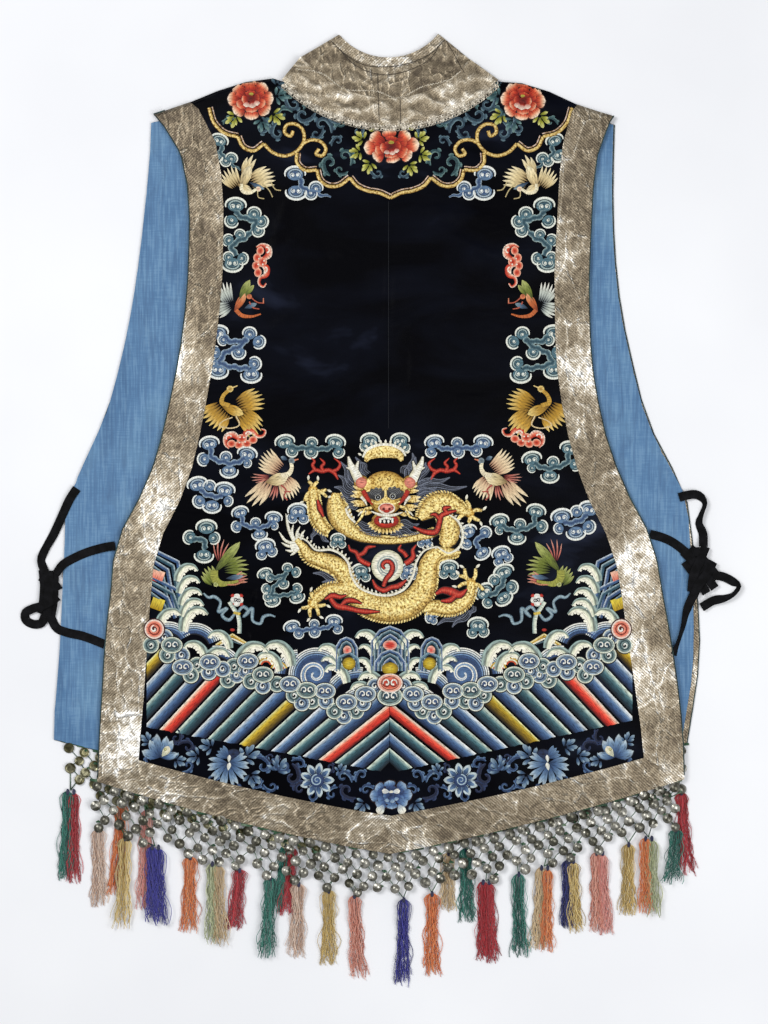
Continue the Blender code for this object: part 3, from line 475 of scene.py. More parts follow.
SIDE_CREASES = (
    (-222, 430, 40, 2.0, 80, 0.9),
    (-210, 330, 60, 2.2, 97, -0.8),
    (-218, 220, 50, 2.0, 84, 1.0),
    (-236, 110, 46, 1.8, 62, 0.9),
    (-286, -20, 40, 2.2, 50, 1.1),
    (-298, -120, 60, 2.4, 92, 1.0),
    (-310, -230, 56, 2.2, 100, -0.9),
    (240, 420, 40, 2.0, 104, 0.9),
    (230, 310, 70, 2.4, 88, 1.1),
    (232, 200, 60, 2.2, 95, -1.0),
    (250, 80, 44, 2.0, 118, 1.0),
    (300, -40, 46, 2.4, 112, 1.2),
    (322, -150, 60, 2.2, 82, 1.0),
    (338, -250, 44, 2.0, 70, 1.0),
)


def crumpled(seed, height=0.9):
    """Height of a crumpled band: small sharp ridges where noise turns over, with its placed creases."""

    def height_at(at):
        ridges = [
            (1 - 2 * abs(noise.noise(Vector((x / 24, y / 30, seed)))))
            + 0.5 * (1 - 2 * abs(noise.noise(Vector((x / 9, y / 12, seed + 7)))))
            for x, y in at
        ]
        creases = crease_height(HEM_CREASES, *at.T) + crease_height(SIDE_CREASES, *at.T)
        return height * (np.array(ridges) - 0.7) * 0.35 + creases * 1.25

    return height_at


for part, turn in BAND_TURN.items():
    band = own_copy(f"band_back_{part}", f"silver_band_{part}")
    split_finer(band, 7)
    raise_top(band, crumpled(len(part) + turn))
    paler_low = BAND_PALER_LOW.get(part, 0.0)
    brocade = silver_brocade(f"silver_brocade_woven_{part}", turn, bright=BAND_BRIGHT[part],
                             paler_low=paler_low)
    finish_piece(band, brocade, "silver_brocade", f"band_back_{part}")
    declare_cloth(band, strip=True)
for side, turn in (("left", 4), ("right", -6)):
    band = own_copy(f"band_front_{side}", f"silver_band_front_{side}")
    split_finer(band, 3)
    brocade = silver_brocade(f"silver_brocade_woven_front_{side}", turn)
    finish_piece(band, brocade, "silver_brocade", f"band_front_{side}")
    declare_cloth(band, strip=True)

# %% [markdown]
# The lining is a light plain-weave silk, faded unevenly, with fine slubs along its length and finer picks
# across it. Two stretched noises give both, and soft creases run down it beside the back panel. A third
# stretched noise gives small wrinkles: a bump, with thin lines of painted shade along them.

# %% Lining
LINING_CREASES = (
    (-262, 330, 90, 3.5, 94, 0.7),
    (-272, 220, 80, 3.0, 104, -0.6),
    (-300, 130, 70, 4.0, 112, 0.8),
    (-345, 30, 60, 3.5, 120, 0.7),
    (-352, -60, 60, 3.0, 88, 0.8),
    (-362, -120, 60, 3.0, 84, -0.7),
    (-352, -220, 56, 4.0, 88, 1.0),
    (-376, -236, 50, 2.6, 97, 0.9),
    (266, 300, 90, 3.5, 88, 0.8),
    (272, 190, 70, 3.0, 78, -0.6),
    (300, 110, 70, 3.6, 66, 0.9),
    (330, 62, 50, 3.0, 50, 0.8),
    (352, 10, 44, 2.6, 150, 0.9),
    (346, -70, 60, 3.0, 80, 0.8),
    (372, -190, 60, 2.6, 98, 0.9),
)


def lining_silk():
    """Plain-weave silk, dyed light blue and faded, with painted shade in its small wrinkles."""
    made, tree, shader, place = new_material("lining_silk_woven_blue")
    faded = add_node(tree, "ShaderNodeTexNoise", {"Vector": place, "Scale": 12.0, "Detail": 6.0})
    base = ((0.3, "3c668f"), (0.5, "4f779e"), (0.7, "658cab"))
    base = add_node(tree, "ShaderNodeValToRGB", {"Fac": faded}, base)
    long_way = add_node(tree, "ShaderNodeMapping", {"Vector": place, "Scale": (1.0, 0.06, 1.0)})
    slubs = add_node(tree, "ShaderNodeTexNoise", {"Vector": long_way, "Scale": 430.0, "Detail": 3.0})
    cross_way = add_node(tree, "ShaderNodeMapping", {"Vector": place, "Scale": (0.09, 1.0, 1.0)})
    picks = add_node(tree, "ShaderNodeTexNoise", {"Vector": cross_way, "Scale": 620.0, "Detail": 2.0})
    crossing = add_node(tree, "ShaderNodeMath", {0: picks, 1: 0.35, 2: slubs}, operation="MULTIPLY_ADD")
    streaks = ((0.54, "2d5078"), (0.68, "4c7aa4"), (0.82, "88aecb"))
    streaks = add_node(tree, "ShaderNodeValToRGB", {"Fac": crossing}, streaks)
    woven = add_node(tree, "ShaderNodeMix", {"Factor": 0.24}, data_type="RGBA")
    feed(tree, woven, {MIX_A: base, MIX_B: streaks})
    drawn = add_node(tree, "ShaderNodeMapping", {"Vector": place, "Scale": (1.0, 0.22, 1.0)})
    wrinkle = {"Vector": drawn, "Scale": 26.0, "Detail": 3.0, "Distortion": 0.8}
    wrinkle = add_node(tree, "ShaderNodeTexNoise", wrinkle)
    # Thin darker lines along the wrinkle noise are painted shade in the small wrinkles.
    shadow = ((0.47, "ffffff"), (0.5, "b4bfcc"), (0.54, "ffffff"))
    shadow = add_node(tree, "ShaderNodeValToRGB", {"Fac": wrinkle}, shadow)
    with_painted_shade = add_node(tree, "ShaderNodeMix", {"Factor": 0.28}, data_type="RGBA", blend_type="MULTIPLY")
    feed(tree, with_painted_shade, {MIX_A: woven, MIX_B: shadow})
    below = {}
    for texture, depth in ((wrinkle, 5.0), (slubs, 0.3), (picks, 0.3)):
        relief = {"Height": texture, "Distance": depth * MM, "Strength": 0.6, **below}
        below = {"Normal": add_node(tree, "ShaderNodeBump", relief)}
    feed(tree, shader, {"Base Color": with_painted_shade, "Roughness": 0.66, "Sheen Weight": 0.06, **below})
    return made


def eased_over(piece, side, reach):
    """Eases the outer edge of a lining over the band below it, by a reach in mm listed for some heights."""
    points = points_of(piece) / MM
    rows = np.round(points[:, 1] / 6).astype(int)
    outermost = {row: (points[rows == row, 0] * side).max() for row in set(rows)}
    inward = np.array([outermost[row] for row in rows]) - points[:, 0] * side
    points[:, 0] += side * np.interp(points[:, 1], *reach) * np.clip(1 - inward / 6, 0, 1)
    set_points(piece, points * MM)


LINING_SILK = lining_silk()
LINING_REACH = {"left": ((-600, 600), (2.3, 2.3)), "right": ((-150, -60, 20), (-3.5, 0.0, 2.3))}
for side, way in (("left", -1), ("right", 1)):
    lining = own_copy(f"lining_{side}", f"silk_lining_{side}")
    split_finer(lining, 5)
    eased_over(lining, way, LINING_REACH[side])
    raise_top(
        lining,
        lambda at: crease_height(LINING_CREASES, at[:, 0], at[:, 1]) * 0.5 + ripple_height(at, 26, 0.35, 9.0),
    )
    finish_piece(lining, LINING_SILK, "lining_silk", f"lining_{side}")
    declare_cloth(lining)

# %% [markdown]
# The stand collar, its binding and the yoke are cut from three silver brocades: a dull one, one cut on the
# bias, and one with woven scrolls. Their solids give the curves, and a few creases and seams are pressed in;
# the threads of the seams follow later. The fronts of the collar lie folded underneath, outside down.

# %% Collar and yoke
COLLAR_SEAMS = (
    (-2, 515, 26, 0.7, 90, -1.0),
    (20, 478, 24, 0.7, 90, -1.0),
    (-60, 508, 30, 1.6, -40, 0.6),
    (70, 512, 30, 1.6, 48, 0.6),
    (30, 492, 26, 1.5, 12, 0.5),
)
STAND_BROCADE = silver_brocade("silver_brocade_woven_tarnished", 8, 0.4, creasing=0.8, bright=0.3, paler=-0.02)
YOKE_BROCADE = silver_brocade("silver_brocade_woven_scrolls", 8, 1.0, creasing=0.2, bright=0.6, paler=0.02)
BINDING_BROCADE = silver_brocade("silver_brocade_cut_on_the_bias", 50, creasing=0.8, bright=0.7, paler=0.03)
for node, under, cloth in (
    ("collar_stand", "table", STAND_BROCADE),
    ("collar_binding", "table", BINDING_BROCADE),
    ("neck_yoke", back_panel.name, YOKE_BROCADE),
    ("collar_front_left", "table", STAND_BROCADE),
    ("collar_front_right", "table", STAND_BROCADE),
):
    shell = own_copy(node, f"silver_{node}")
    split_finer(shell, 5 if "front" not in node else 2)
    raise_top(
        shell, lambda at: crease_height(COLLAR_SEAMS, at[:, 0], at[:, 1]) + ripple_height(at, 14, 0.5, 5.0)
    )
    finish_piece(shell, cloth, "silver_brocade", node)
    declare_cloth(shell)

# %% [markdown]
# Small things that repeat by the hundred, such as the loops of the lace and the discs of the net, are
# modelled once and then laid out by a list of places. Each place is an x, y, z, a tilt and the way it
# tilts, and a size, and all the copies are joined in one mesh so that the file stays light.

# %% Laying out copies
def laid_out(source, places, name):
    """One mesh of many copies of a source object, which is removed once all are made."""
    base = points_of(source)
    faces = [tuple(face.vertices) for face in source.data.polygons]
    all_points, all_faces = [], []
    for x, y, z, tilt, way, size in places:
        ct, st, cw, sw = math.cos(tilt), math.sin(tilt), math.cos(way), math.sin(way)
        lean = np.array(((ct, 0, st), (0, 1, 0), (-st, 0, ct)))
        turn = np.array(((cw, -sw, 0), (sw, cw, 0), (0, 0, 1)))
        first = len(all_points) * len(base)
        all_points.append(base @ (turn @ lean).T * size + np.array((x, y, z)) * MM)
        all_faces += [tuple(first + corner for corner in face) for face in faces]
    made = new_piece(name, np.concatenate(all_points), all_faces)
    bpy.data.objects.remove(source)
    print(name, len(places), "copies", len(all_faces), "faces")
    return made


def plain_metal_thread():
    """Silver-wrapped thread, spun: a soft grey gleam."""
    made, tree, shader, place = new_material("silver_thread_spun")
    tone = add_node(tree, "ShaderNodeTexNoise", {"Vector": place, "Scale": 300.0, "Detail": 2.0})
    tint = add_node(tree, "ShaderNodeValToRGB", {"Fac": tone}, ((0.35, "8d8372"), (0.65, "d8d0c0")))
    wraps = add_node(tree, "ShaderNodeBump", {"Height": tone, "Distance": 0.3 * MM, "Strength": 0.6})
    feed(tree, shader, {"Base Color": tint, "Normal": wraps, "Metallic": 0.6, "Roughness": 0.42})
    return made


# %% [markdown]
# The lower edge of the yoke is finished with a narrow lace: two rows of tiny loops worked in silver thread.
# One loop is a torus, and the loops follow the edge of the lace's own solid, whose outermost points are the
# tips of its scallops.

# %% Lace
LACE_LOOP = 2.5
LOOP_PAIRS = 78
# The middle of the lace's curve lies this far above the yoke, in mm.
CURVE_ABOVE_YOKE = 90.0
SILVER_THREAD = plain_metal_thread()
lace_points = points_of(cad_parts["neck_lace"]) / MM
yoke_points = points_of(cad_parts["neck_yoke"]) / MM
lace_top = lace_points[:, 2].max()
edge_middle = np.array((lace_points[:, 0].mean(), yoke_points[:, 1].max() + CURVE_ABOVE_YOKE))
bearing = np.arctan2(*(lace_points[:, :2] - edge_middle).T[::-1])
reach = np.linalg.norm(lace_points[:, :2] - edge_middle, axis=1)
loops = []
for step in range(LOOP_PAIRS):
    angle = bearing.min() + (bearing.max() - bearing.min()) * (step + 0.5) / LOOP_PAIRS
    near = abs(bearing - angle) < 0.035
    outer = reach[near].max()
    for row, inward in enumerate((LACE_LOOP * 0.7, LACE_LOOP * 2.1)):
        radius = outer - inward
        x = edge_middle[0] + math.cos(angle + row * 0.014) * radius
        y = edge_middle[1] + math.sin(angle + row * 0.014) * radius
        loops.append((x, y, lace_top + 0.1 * row, 0.12, step * 1.3, 1.0))
bpy.ops.mesh.primitive_torus_add(
    major_radius=LACE_LOOP * MM, minor_radius=0.55 * MM, major_segments=12, minor_segments=5
)
lace = laid_out(bpy.context.object, loops, "lace_loops")
lace_ground = own_copy("neck_lace", "lace_ground")
finish_piece(lace, SILVER_THREAD, "silver_brocade")
finish_piece(lace_ground, SILVER_THREAD, "silver_brocade", "neck_lace")

# %% [markdown]
# The fringe is a net knotted in green cord, with a domed metal disc tied on at each knot, so that the discs
# hide most of the cord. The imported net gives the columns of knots: each column has two, and half the way
# between them is the net's drop. The finer net here has a knot every 12.2 mm down, each row set half a mesh
# to the side of the one above, and the lowest row has knots only where a tassel hangs.

# %% Net lattice
KNOT_HALF = 2.2
NET_ROWS = 5
NET_PITCH = 12.2
NET_MESH = 18.2
# How far a knot strays to the side and down, how near a tassel has to hang for a last knot, and the gap in
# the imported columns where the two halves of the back's net meet, all in mm.
STRAY_X, STRAY_Y = 2.2, 2.0
TASSEL_NEAR, TASSEL_ABOVE = 15, 4
MIDDLE_GAP = 24


def packed_knots(node):
    """Centres of a packed net's knots, found by their four corners."""
    points = {tuple(p) for p in np.round(points_of(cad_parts[node])[:, :2] / MM, 1)}
    near = (-0.1, 0, 0.1)

    def there(x, y):
        return any((round(x + dx, 1), round(y + dy, 1)) in points for dx in near for dy in near)

    centres = []
    for x, y in sorted(points):
        middle = x + KNOT_HALF
        if there(middle + KNOT_HALF, y) and there(middle, y + KNOT_HALF) and there(middle, y - KNOT_HALF):
            centres.append((middle, y))
    return centres


def net_columns(nodes):
    """The net's columns as (x, height of their top row), from left to right."""
    columns = []
    for node in nodes:
        by_x = {}
        for x, y in packed_knots(node):
            by_x.setdefault(round(x), []).append(y)
        for number, (x, heights) in enumerate(sorted(by_x.items())):
            drop = (max(heights) - min(heights)) / 2
            columns.append((x, max(heights) + (drop if number % 2 == 0 else 0)))
    return columns


def closer(columns):
    """The same net line with its columns a mesh apart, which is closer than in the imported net."""
    x, top = np.array(columns).T
    count = round((x[-1] - x[0]) / NET_MESH)
    at = np.linspace(x[0], x[-1], count + 1)
    return list(zip(at, np.interp(at, x, top)))


def lattice(columns, hanging, jitter):
    """Knots of the finer net as {(row, half column): (x, y)}, with a little unevenness."""
    knots = {}
    last = 2 * (len(columns) - 1)
    for row in range(NET_ROWS):
        for half in range(row % 2, last + 1, 2):
            left, right = columns[half // 2], columns[(half + 1) // 2]
            x, top = (left[0] + right[0]) / 2, (left[1] + right[1]) / 2
            x += jitter.uniform(-STRAY_X, STRAY_X)
            y = top - 1.5 - row * NET_PITCH + jitter.uniform(-STRAY_Y, STRAY_Y)
            hung = any(abs(x - tx) < TASSEL_NEAR and y > ty + TASSEL_ABOVE for tx, ty in hanging)
            if row < NET_ROWS - 1 or hung:
                knots[row, half] = (x, y)
    return knots


def tassel_tops():
    """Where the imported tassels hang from, as (x, y) in mm."""
    tops = []
    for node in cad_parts:
        if node.startswith("tassel_"):
            points = points_of(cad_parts[node]) / MM
            tops.append(tuple(points[points[:, 1].argmax()][:2]))
    return tops


jitter = random.Random(11)
NETS = {
    "back": {"nodes": ("net_back_left", "net_back_right"), "level": 5.9},
    "front_left": {"nodes": ("net_front_left",), "level": 1.0},
    "front_right": {"nodes": ("net_front_right",), "level": 1.0},
}
for name, net in NETS.items():
    columns = net_columns(net["nodes"])
    if name == "back":
        gap = next(k for k in range(len(columns) - 1) if columns[k + 1][0] - columns[k][0] > MIDDLE_GAP)
        middle = [(columns[gap][c] + columns[gap + 1][c]) / 2 for c in (0, 1)]
        columns.insert(gap + 1, (middle[0], middle[1] - 1.0))
    columns = closer(columns)
    net["knots"] = lattice(columns, tassel_tops(), jitter)
    print(name, len(columns), "columns", len(net["knots"]), "knots")


# %% [markdown]
# Piping, seams, the cords of the net and the threads of the tassels are thin tubes. A tube is a ring of a
# few points carried along a path, and one function makes them all. Another lays a smooth curve through the
# rows of a route, which may hold more than places, such as a width or a turn.

# %% Tubes
def tube_mesh(paths, sides=4):
    """Points and faces of closed tubes: each path is a list of (x, y, z, radius) in millimetres."""
    points, faces, owners = [], [], []
    for number, path in enumerate(paths):
        spots = np.array([p[:3] for p in path], float)
        ahead = np.gradient(spots, axis=0)
        ahead /= np.maximum(np.linalg.norm(ahead, axis=1, keepdims=True), 1e-9)
        side = np.cross(ahead, (0, 0, 1.0))
        side /= np.maximum(np.linalg.norm(side, axis=1, keepdims=True), 1e-9)
        over = np.cross(side, ahead)
        first = len(points)
        for k, spot in enumerate(spots):
            for c in range(sides):
                angle = 2 * math.pi * (c + 0.5) / sides
                ring = side[k] * math.cos(angle) + over[k] * math.sin(angle)
                edge = spot + ring * path[k][3]
                points.append((edge[0], edge[1], max(edge[2], 0.05)))
                owners.append(number)
        for k in range(len(path) - 1):
            a, b = first + k * sides, first + (k + 1) * sides
            for c in range(sides):
                d = (c + 1) % sides
                faces.append((a + c, a + d, b + d, b + c))
        end = first + (len(path) - 1) * sides
        faces.append(tuple(range(first + sides - 1, first - 1, -1)))
        faces.append(tuple(range(end, end + sides)))
    return points, faces, owners


def smooth_route(route, count):
    """count + 1 points on a smooth curve through the rows of a route."""
    rows = np.array(route, float)
    along = np.concatenate([[0], np.cumsum(np.linalg.norm(np.diff(rows[:, :2], axis=0), axis=1))])
    slope = np.gradient(rows, along, axis=0)
    result = []
    for at in np.linspace(0, along[-1], count + 1):
        k = min(int(np.searchsorted(along, at, side="right")) - 1, len(rows) - 2)
        step = along[k + 1] - along[k]
        t = (at - along[k]) / step
        result.append(
            (2 * t**3 - 3 * t**2 + 1) * rows[k]
            + (t**3 - 2 * t**2 + t) * step * slope[k]
            + (3 * t**2 - 2 * t**3) * rows[k + 1]
            + (t**3 - t**2) * step * slope[k + 1]
        )
    return np.array(result)


def mesh_piece(name, points, faces):
    """A new object from points in millimetres, its faces turned to point outwards."""
    made = new_piece(name, np.array(points) * MM, faces)
    in_edit_mode(made, bpy.ops.mesh.normals_make_consistent, inside=False)
    return made


# %% [markdown]
# The raw edges of the silver bands are bound with a fine dark green piping, which shows as a thin line round
# each armhole. It is a thin round tube that follows the outer points of each band.

# %% Piping
PIPING_RADIUS = 0.85
PIPED_EDGES = {
    "silver_band_side_left": -1, "silver_band_side_right": 1, "silver_band_front_left": -1,
    "silver_band_front_right": 1,
}


def outer_edge(piece, side, step=9.0):
    """Points along the outer edge of a long piece, from its lower end up, a step in mm apart."""
    points = points_of(piece) / MM
    edge = []
    for y in np.arange(points[:, 1].min() + step, points[:, 1].max() - 2, step):
        near = points[abs(points[:, 1] - y) < step * 0.6]
        if len(near):
            outermost = near[(near[:, 0] * side).argmax()]
            edge.append((outermost[0], outermost[1], near[:, 2].mean() + 0.3))
    return edge


def dull_silk(name, scale, detail, low, high, roughness):
    """Dyed silk that is rolled or twisted and so is dull, from a deep tint to a paler one."""
    made, tree, shader, place = new_material(name)
    tone = add_node(tree, "ShaderNodeTexNoise", {"Vector": place, "Scale": scale, "Detail": detail})
    tint = add_node(tree, "ShaderNodeValToRGB", {"Fac": tone}, (low, high))
    feed(tree, shader, {"Base Color": tint, "Roughness": roughness})
    return made


# A narrow bias strip of silk, dyed dark green and rolled.
PIPING_SILK = dull_silk("silk_piping_rolled_green", 60.0, 3.0, (0.35, "12211f"), (0.7, "2a4442"), 0.7)
for name, side in PIPED_EDGES.items():
    edge = [(*at, PIPING_RADIUS) for at in outer_edge(bpy.data.objects[name], side)]
    points, faces, _ = tube_mesh([edge], sides=6)
    piece = mesh_piece(name.replace("silver_band", "piping"), points, faces)
    finish_piece(piece, PIPING_SILK, "satin")
    print(piece.name, len(edge), "points long")

# %% [markdown]
# The parts of the collar are sewn together with dark silk, and a row of pale picots covers the join of the
# stand and the yoke. The two curved dark seams under the stand also stand for the shadow that its edge
# casts. Each is a thin tube along its seam, dropped on the cloth, and the picots sway from side to side.

# %% Collar seams
SEAM_RADIUS, PICOT_REACH = 0.5, 1.5
# The first two seams run under the stand's lower edge: dark as a seam, and as painted shadow of that edge.
SEAMS = (
    ((-58.6, 562.8), (-37.4, 543.6), (-18.2, 534), (8.6, 532.1), (39.4, 537.8), (62.4, 549.4), (77.8, 564.7)),
    ((-50.9, 555.1), (-29.8, 534), (1, 522.5), (35.5, 528.2), (62.4, 543.6), (72, 559)),
    ((-2.9, 524.4), (-2, 496), (-1, 466.8)),
    ((24, 495.6), (24.4, 480), (24.7, 463)),
    ((79.7, 562.8), (90, 545), (100.8, 524.4)),
)
PICOT_LINE = (
    (-100.8, 528.2), (-68.2, 522.5), (-45.1, 505.2), (-2.9, 501.4), (20.2, 493.7), (50.9, 507.1),
    (85.4, 516.7), (110.4, 541.7),
)
SEWN_SHELLS = ("silver_collar_stand", "silver_collar_binding", "silver_neck_yoke")
collar_covers = [cover_of(bpy.data.objects[name]) for name in SEWN_SHELLS]


def on_collar(points, radius, sway=0.0):
    """A thread through a few points, on the collar's cloth, swaying by some mm from point to point."""
    route = smooth_route(points, int(np.linalg.norm(np.diff(points, axis=0), axis=1).sum() / 1.6))
    thread = []
    for number, (x, y) in enumerate(route):
        y += sway * (number % 2)
        levels = [height_on(cover, x, y) for cover in collar_covers]
        levels = [level for level in levels if level is not None]
        if levels:
            thread.append((x, y, max(levels) + 0.2, radius))
    return thread


def sewing_silk(name, low, high):
    """Twisted sewing silk, dyed."""
    return dull_silk(name, 300.0, 2.0, (0.35, low), (0.65, high), 0.75)


for name, paths, silk_made in (
    (
        "sewn_collar_seams",
        [on_collar(seam, SEAM_RADIUS) for seam in SEAMS],
        sewing_silk("sewing_silk_dark_and_shadow", "2a241c", "4c4234"),
    ),
    (
        "sewn_collar_picots",
        [on_collar(PICOT_LINE, 0.6, PICOT_REACH)],
        sewing_silk("sewing_silk_pale", "a89b84", "e6decb"),
    ),
):
    points, faces, _ = tube_mesh(paths, sides=5)
    finish_piece(mesh_piece(name, points, faces), silk_made, "satin")
    print(name, len(faces), "faces")

# %% [markdown]
# The cord of the net is silk, plied and dyed green, and worn grey in patches. The discs are thin copper,
# silvered and stamped. Each place has a grey of its own, and stains lie in small patches.

# %% Cord and disc finishes
def green_cord():
    """Silk cord, plied and dyed green, worn grey in patches."""
    made, tree, shader, place = new_material("silk_cord_plied_green")
    tone = add_node(tree, "ShaderNodeTexNoise", {"Vector": place, "Scale": 90.0, "Detail": 3.0})
    tint = ((0.32, "0c2013"), (0.54, "1d4a2c"), (0.74, "6f806a"))
    tint = add_node(tree, "ShaderNodeValToRGB", {"Fac": tone}, tint)
    ply = add_node(tree, "ShaderNodeTexNoise", {"Vector": place, "Scale": 900.0})
    plied = add_node(tree, "ShaderNodeBump", {"Height": ply, "Distance": 0.3 * MM, "Strength": 0.7})
    feed(tree, shader, {"Base Color": tint, "Normal": plied, "Roughness": 0.7})
    return made


def disc_metal(name, dull, plain, clean):
    """Thin silvered copper, stamped to a dome and tarnished: grey, with olive-brown stains in small patches."""
    made, tree, shader, place = new_material(name)
    each = add_node(tree, "ShaderNodeTexVoronoi", {"Vector": place, "Scale": 80.0}).outputs["Color"]
    grey = add_node(tree, "ShaderNodeValToRGB", {"Fac": each}, ((0.15, dull), (0.5, plain), (0.85, clean)))
    stain = add_node(tree, "ShaderNodeTexNoise", {"Vector": place, "Scale": 260.0, "Detail": 4.0})
    mask = add_node(tree, "ShaderNodeMapRange", {"Value": stain, "From Min": 0.46, "From Max": 0.72})
    tint = add_node(tree, "ShaderNodeMix", data_type="RGBA")
    feed(tree, tint, {"Factor": mask, MIX_A: grey, MIX_B: linear("2c2a18")})
    dents = add_node(tree, "ShaderNodeBump", {"Height": stain, "Distance": 0.25 * MM, "Strength": 0.5})
    feed(tree, shader, {"Base Color": tint, "Normal": dents, "Metallic": 0.7, "Roughness": 0.3})
    return made


# %% [markdown]
# A cord runs from each knot to the two knots below it, a thick cord runs along the top, lumps of knotted
# cord sit at some of the knots, and two cords hold each tassel. A disc is a flat circle that is pushed in by
# steps in edit mode, up to a dome or down to a dish, and has a pinhole in the middle. The discs are laid out
# at the knots, each with a tilt of its own, and the fringe of the left front shows their backs, in a darker
# copy of the metal that is duller and carries painted shade for their hollows.

# %% Net cords and discs
CORD_RADIUS = 0.65
DISC_RADIUS = 6.3
DISC_STEPS = ((-0.5, 0.3), (-1.0, 1.1), (-1.9, 1.0), (-1.6, 0.3))
DISH_STEPS = ((-0.9, 0.0), (-0.8, -0.5), (-1.7, 0.1), (-1.5, 0.1))
GREEN_CORD = green_cord()
DISC_METAL = disc_metal("silvered_copper_stamped", "545246", "86847a", "c6c3b8")
# The backs' copy is darker: duller metal, and painted shade for the hollows that face up.
DISC_BACK_SHADED = disc_metal("silvered_copper_stamped_back_dull_and_shaded", "3a3820", "5b573a", "7d7a62")


def domed_disc(steps):
    """A round plate whose middle is pushed in steps, up or down, with the pinhole that it is tied through."""
    bpy.ops.mesh.primitive_circle_add(vertices=14, radius=DISC_RADIUS * MM, fill_type="NGON")
    bpy.ops.object.mode_set(mode="EDIT")
    bpy.ops.mesh.select_all(action="SELECT")
    bpy.ops.mesh.extrude_region_move(TRANSFORM_OT_translate={"value": (0, 0, 0.7 * MM)})
    for narrower, higher in steps:
        bpy.ops.mesh.inset(thickness=-narrower * MM, depth=higher * MM)
    bpy.ops.mesh.inset(thickness=0.2 * MM, depth=-0.5 * MM)
    bpy.ops.mesh.select_all(action="SELECT")
    bpy.ops.mesh.normals_make_consistent(inside=False)
    bpy.ops.object.mode_set(mode="OBJECT")
    return bpy.context.object


for name, net in NETS.items():
    knots, level = net["knots"], net["level"]
    cords = []
    for (row, half), (x, y) in knots.items():
        for step in (-1, 1):
            below = knots.get((row + 1, half + step))
            if below is None:
                continue
            sag = jitter.uniform(-2.0, 2.0)
            middle = ((x + below[0]) / 2 + sag, (y + below[1]) / 2, level + 0.2)
            cords.append(
                [(x, y, level, CORD_RADIUS), (*middle, CORD_RADIUS), (below[0], below[1], level, CORD_RADIUS)]
            )
        if row == 0:
            cords.append([(x - 9, y + 6.2, level, 1.8), (x, y + 5.0, level, 2.1),
                          (x + 9, y + 6.2, level, 1.8)])
        if jitter.random() < 0.45:
            dx, dy = jitter.uniform(-5, 5), jitter.uniform(-1, 5)
            ends = [(x + dx + reach, y + dy, level, 1.2) for reach in (-2.5, 2.5)]
            cords.append([ends[0], (x + dx, y + dy + 1, level + 0.6, 2.0), ends[1]])
    for tx, ty in tassel_tops():
        near = sorted(knots.values(), key=lambda knot: math.hypot(knot[0] - tx, knot[1] - ty - 6))[:2]
        if math.hypot(near[0][0] - tx, near[0][1] - ty) < 26:
            cords += [[(x, y, level, CORD_RADIUS), (tx, ty + 1.5, level, 0.9)] for x, y in near]
    points, faces, _ = tube_mesh(cords)
    piece = mesh_piece(f"net_cord_{name}", points, faces)
    finish_piece(piece, GREEN_CORD, "net_cord", *net["nodes"])
    places = []
    for x, y in knots.values():
        tilt = jitter.uniform(0.08, 0.36)
        way = jitter.choice((1.6, -1.6, 0.6, 2.4, -0.8)) + jitter.uniform(-0.5, 0.5)
        lift = 0.7 + DISC_RADIUS * math.sin(tilt) * 0.45
        places.append((x, y - 2.0, level + lift, tilt, way, jitter.uniform(0.88, 1.04)))
    turned_over = name == "front_left"
    discs = laid_out(domed_disc(DISH_STEPS if turned_over else DISC_STEPS), places, f"net_discs_{name}")
    finish_piece(discs, DISC_BACK_SHADED if turned_over else DISC_METAL, "net_cord", smooth=50)

# %% [markdown]
# A tassel is a hank of floss silk, folded over the net's cord, bound under the fold with dark blue thread,
# and cut. Its silk takes one of eleven tints, each noted as a plain, a pale and a deep one to mix for every
# thread, and some tassels have a second skirt of another colour.

# %% Floss silk
FLOSS = {
    "green": ("11574c", "3a8c7a", "062a28"),
    "red": ("a01420", "cc3f47", "5c0812"),
    "orange": ("d26a30", "ee9f66", "a2441c"),
    "pink": ("d48a80", "efbdb0", "a85c56"),
    "beige": ("bda276", "e2cda8", "846843"),
    "sage": ("a0a67c", "cfd2ae", "6a7450"),
    "shell": ("cfb09a", "ecd8c6", "9c7a66"),
    "straw": ("c9aa5e", "ead496", "8c6f30"),
    "blue": ("1e1d70", "3f3ea6", "0b0b38"),
    "navy": ("171a4c", "343a80", "080926"),
    "salmon": ("c97f6a", "eab29e", "9a5242"),
}
SECOND_SKIRT = {
    "tassel_00_green": "red",
    "tassel_03_green": "red",
    "tassel_09_blue": "blue",
    "tassel_11_sage": "beige",
    "tassel_19_red": "red",
    "tassel_21_beige": "orange",
    "tassel_22_navy": "straw",
    "tassel_23_salmon": "pink",
    "tassel_25_orange": "sage",
}
THREADS = 36
THREAD_RADIUS = 0.46
# How wide a skirt is at some shares of its length, and the shares at which its threads have points.
SKIRT_SWELL = ((0, 0.03, 0.08, 0.2, 0.4, 0.75, 1.0), (0.2, 0.6, 0.86, 0.66, 0.66, 0.86, 1.05))
TASSEL_SHARES = (0.0, 0.03, 0.08, 0.15, 0.22, 0.3, 0.38, 0.46, 0.54, 0.62, 0.7, 0.78, 0.86, 0.93, 1.0)


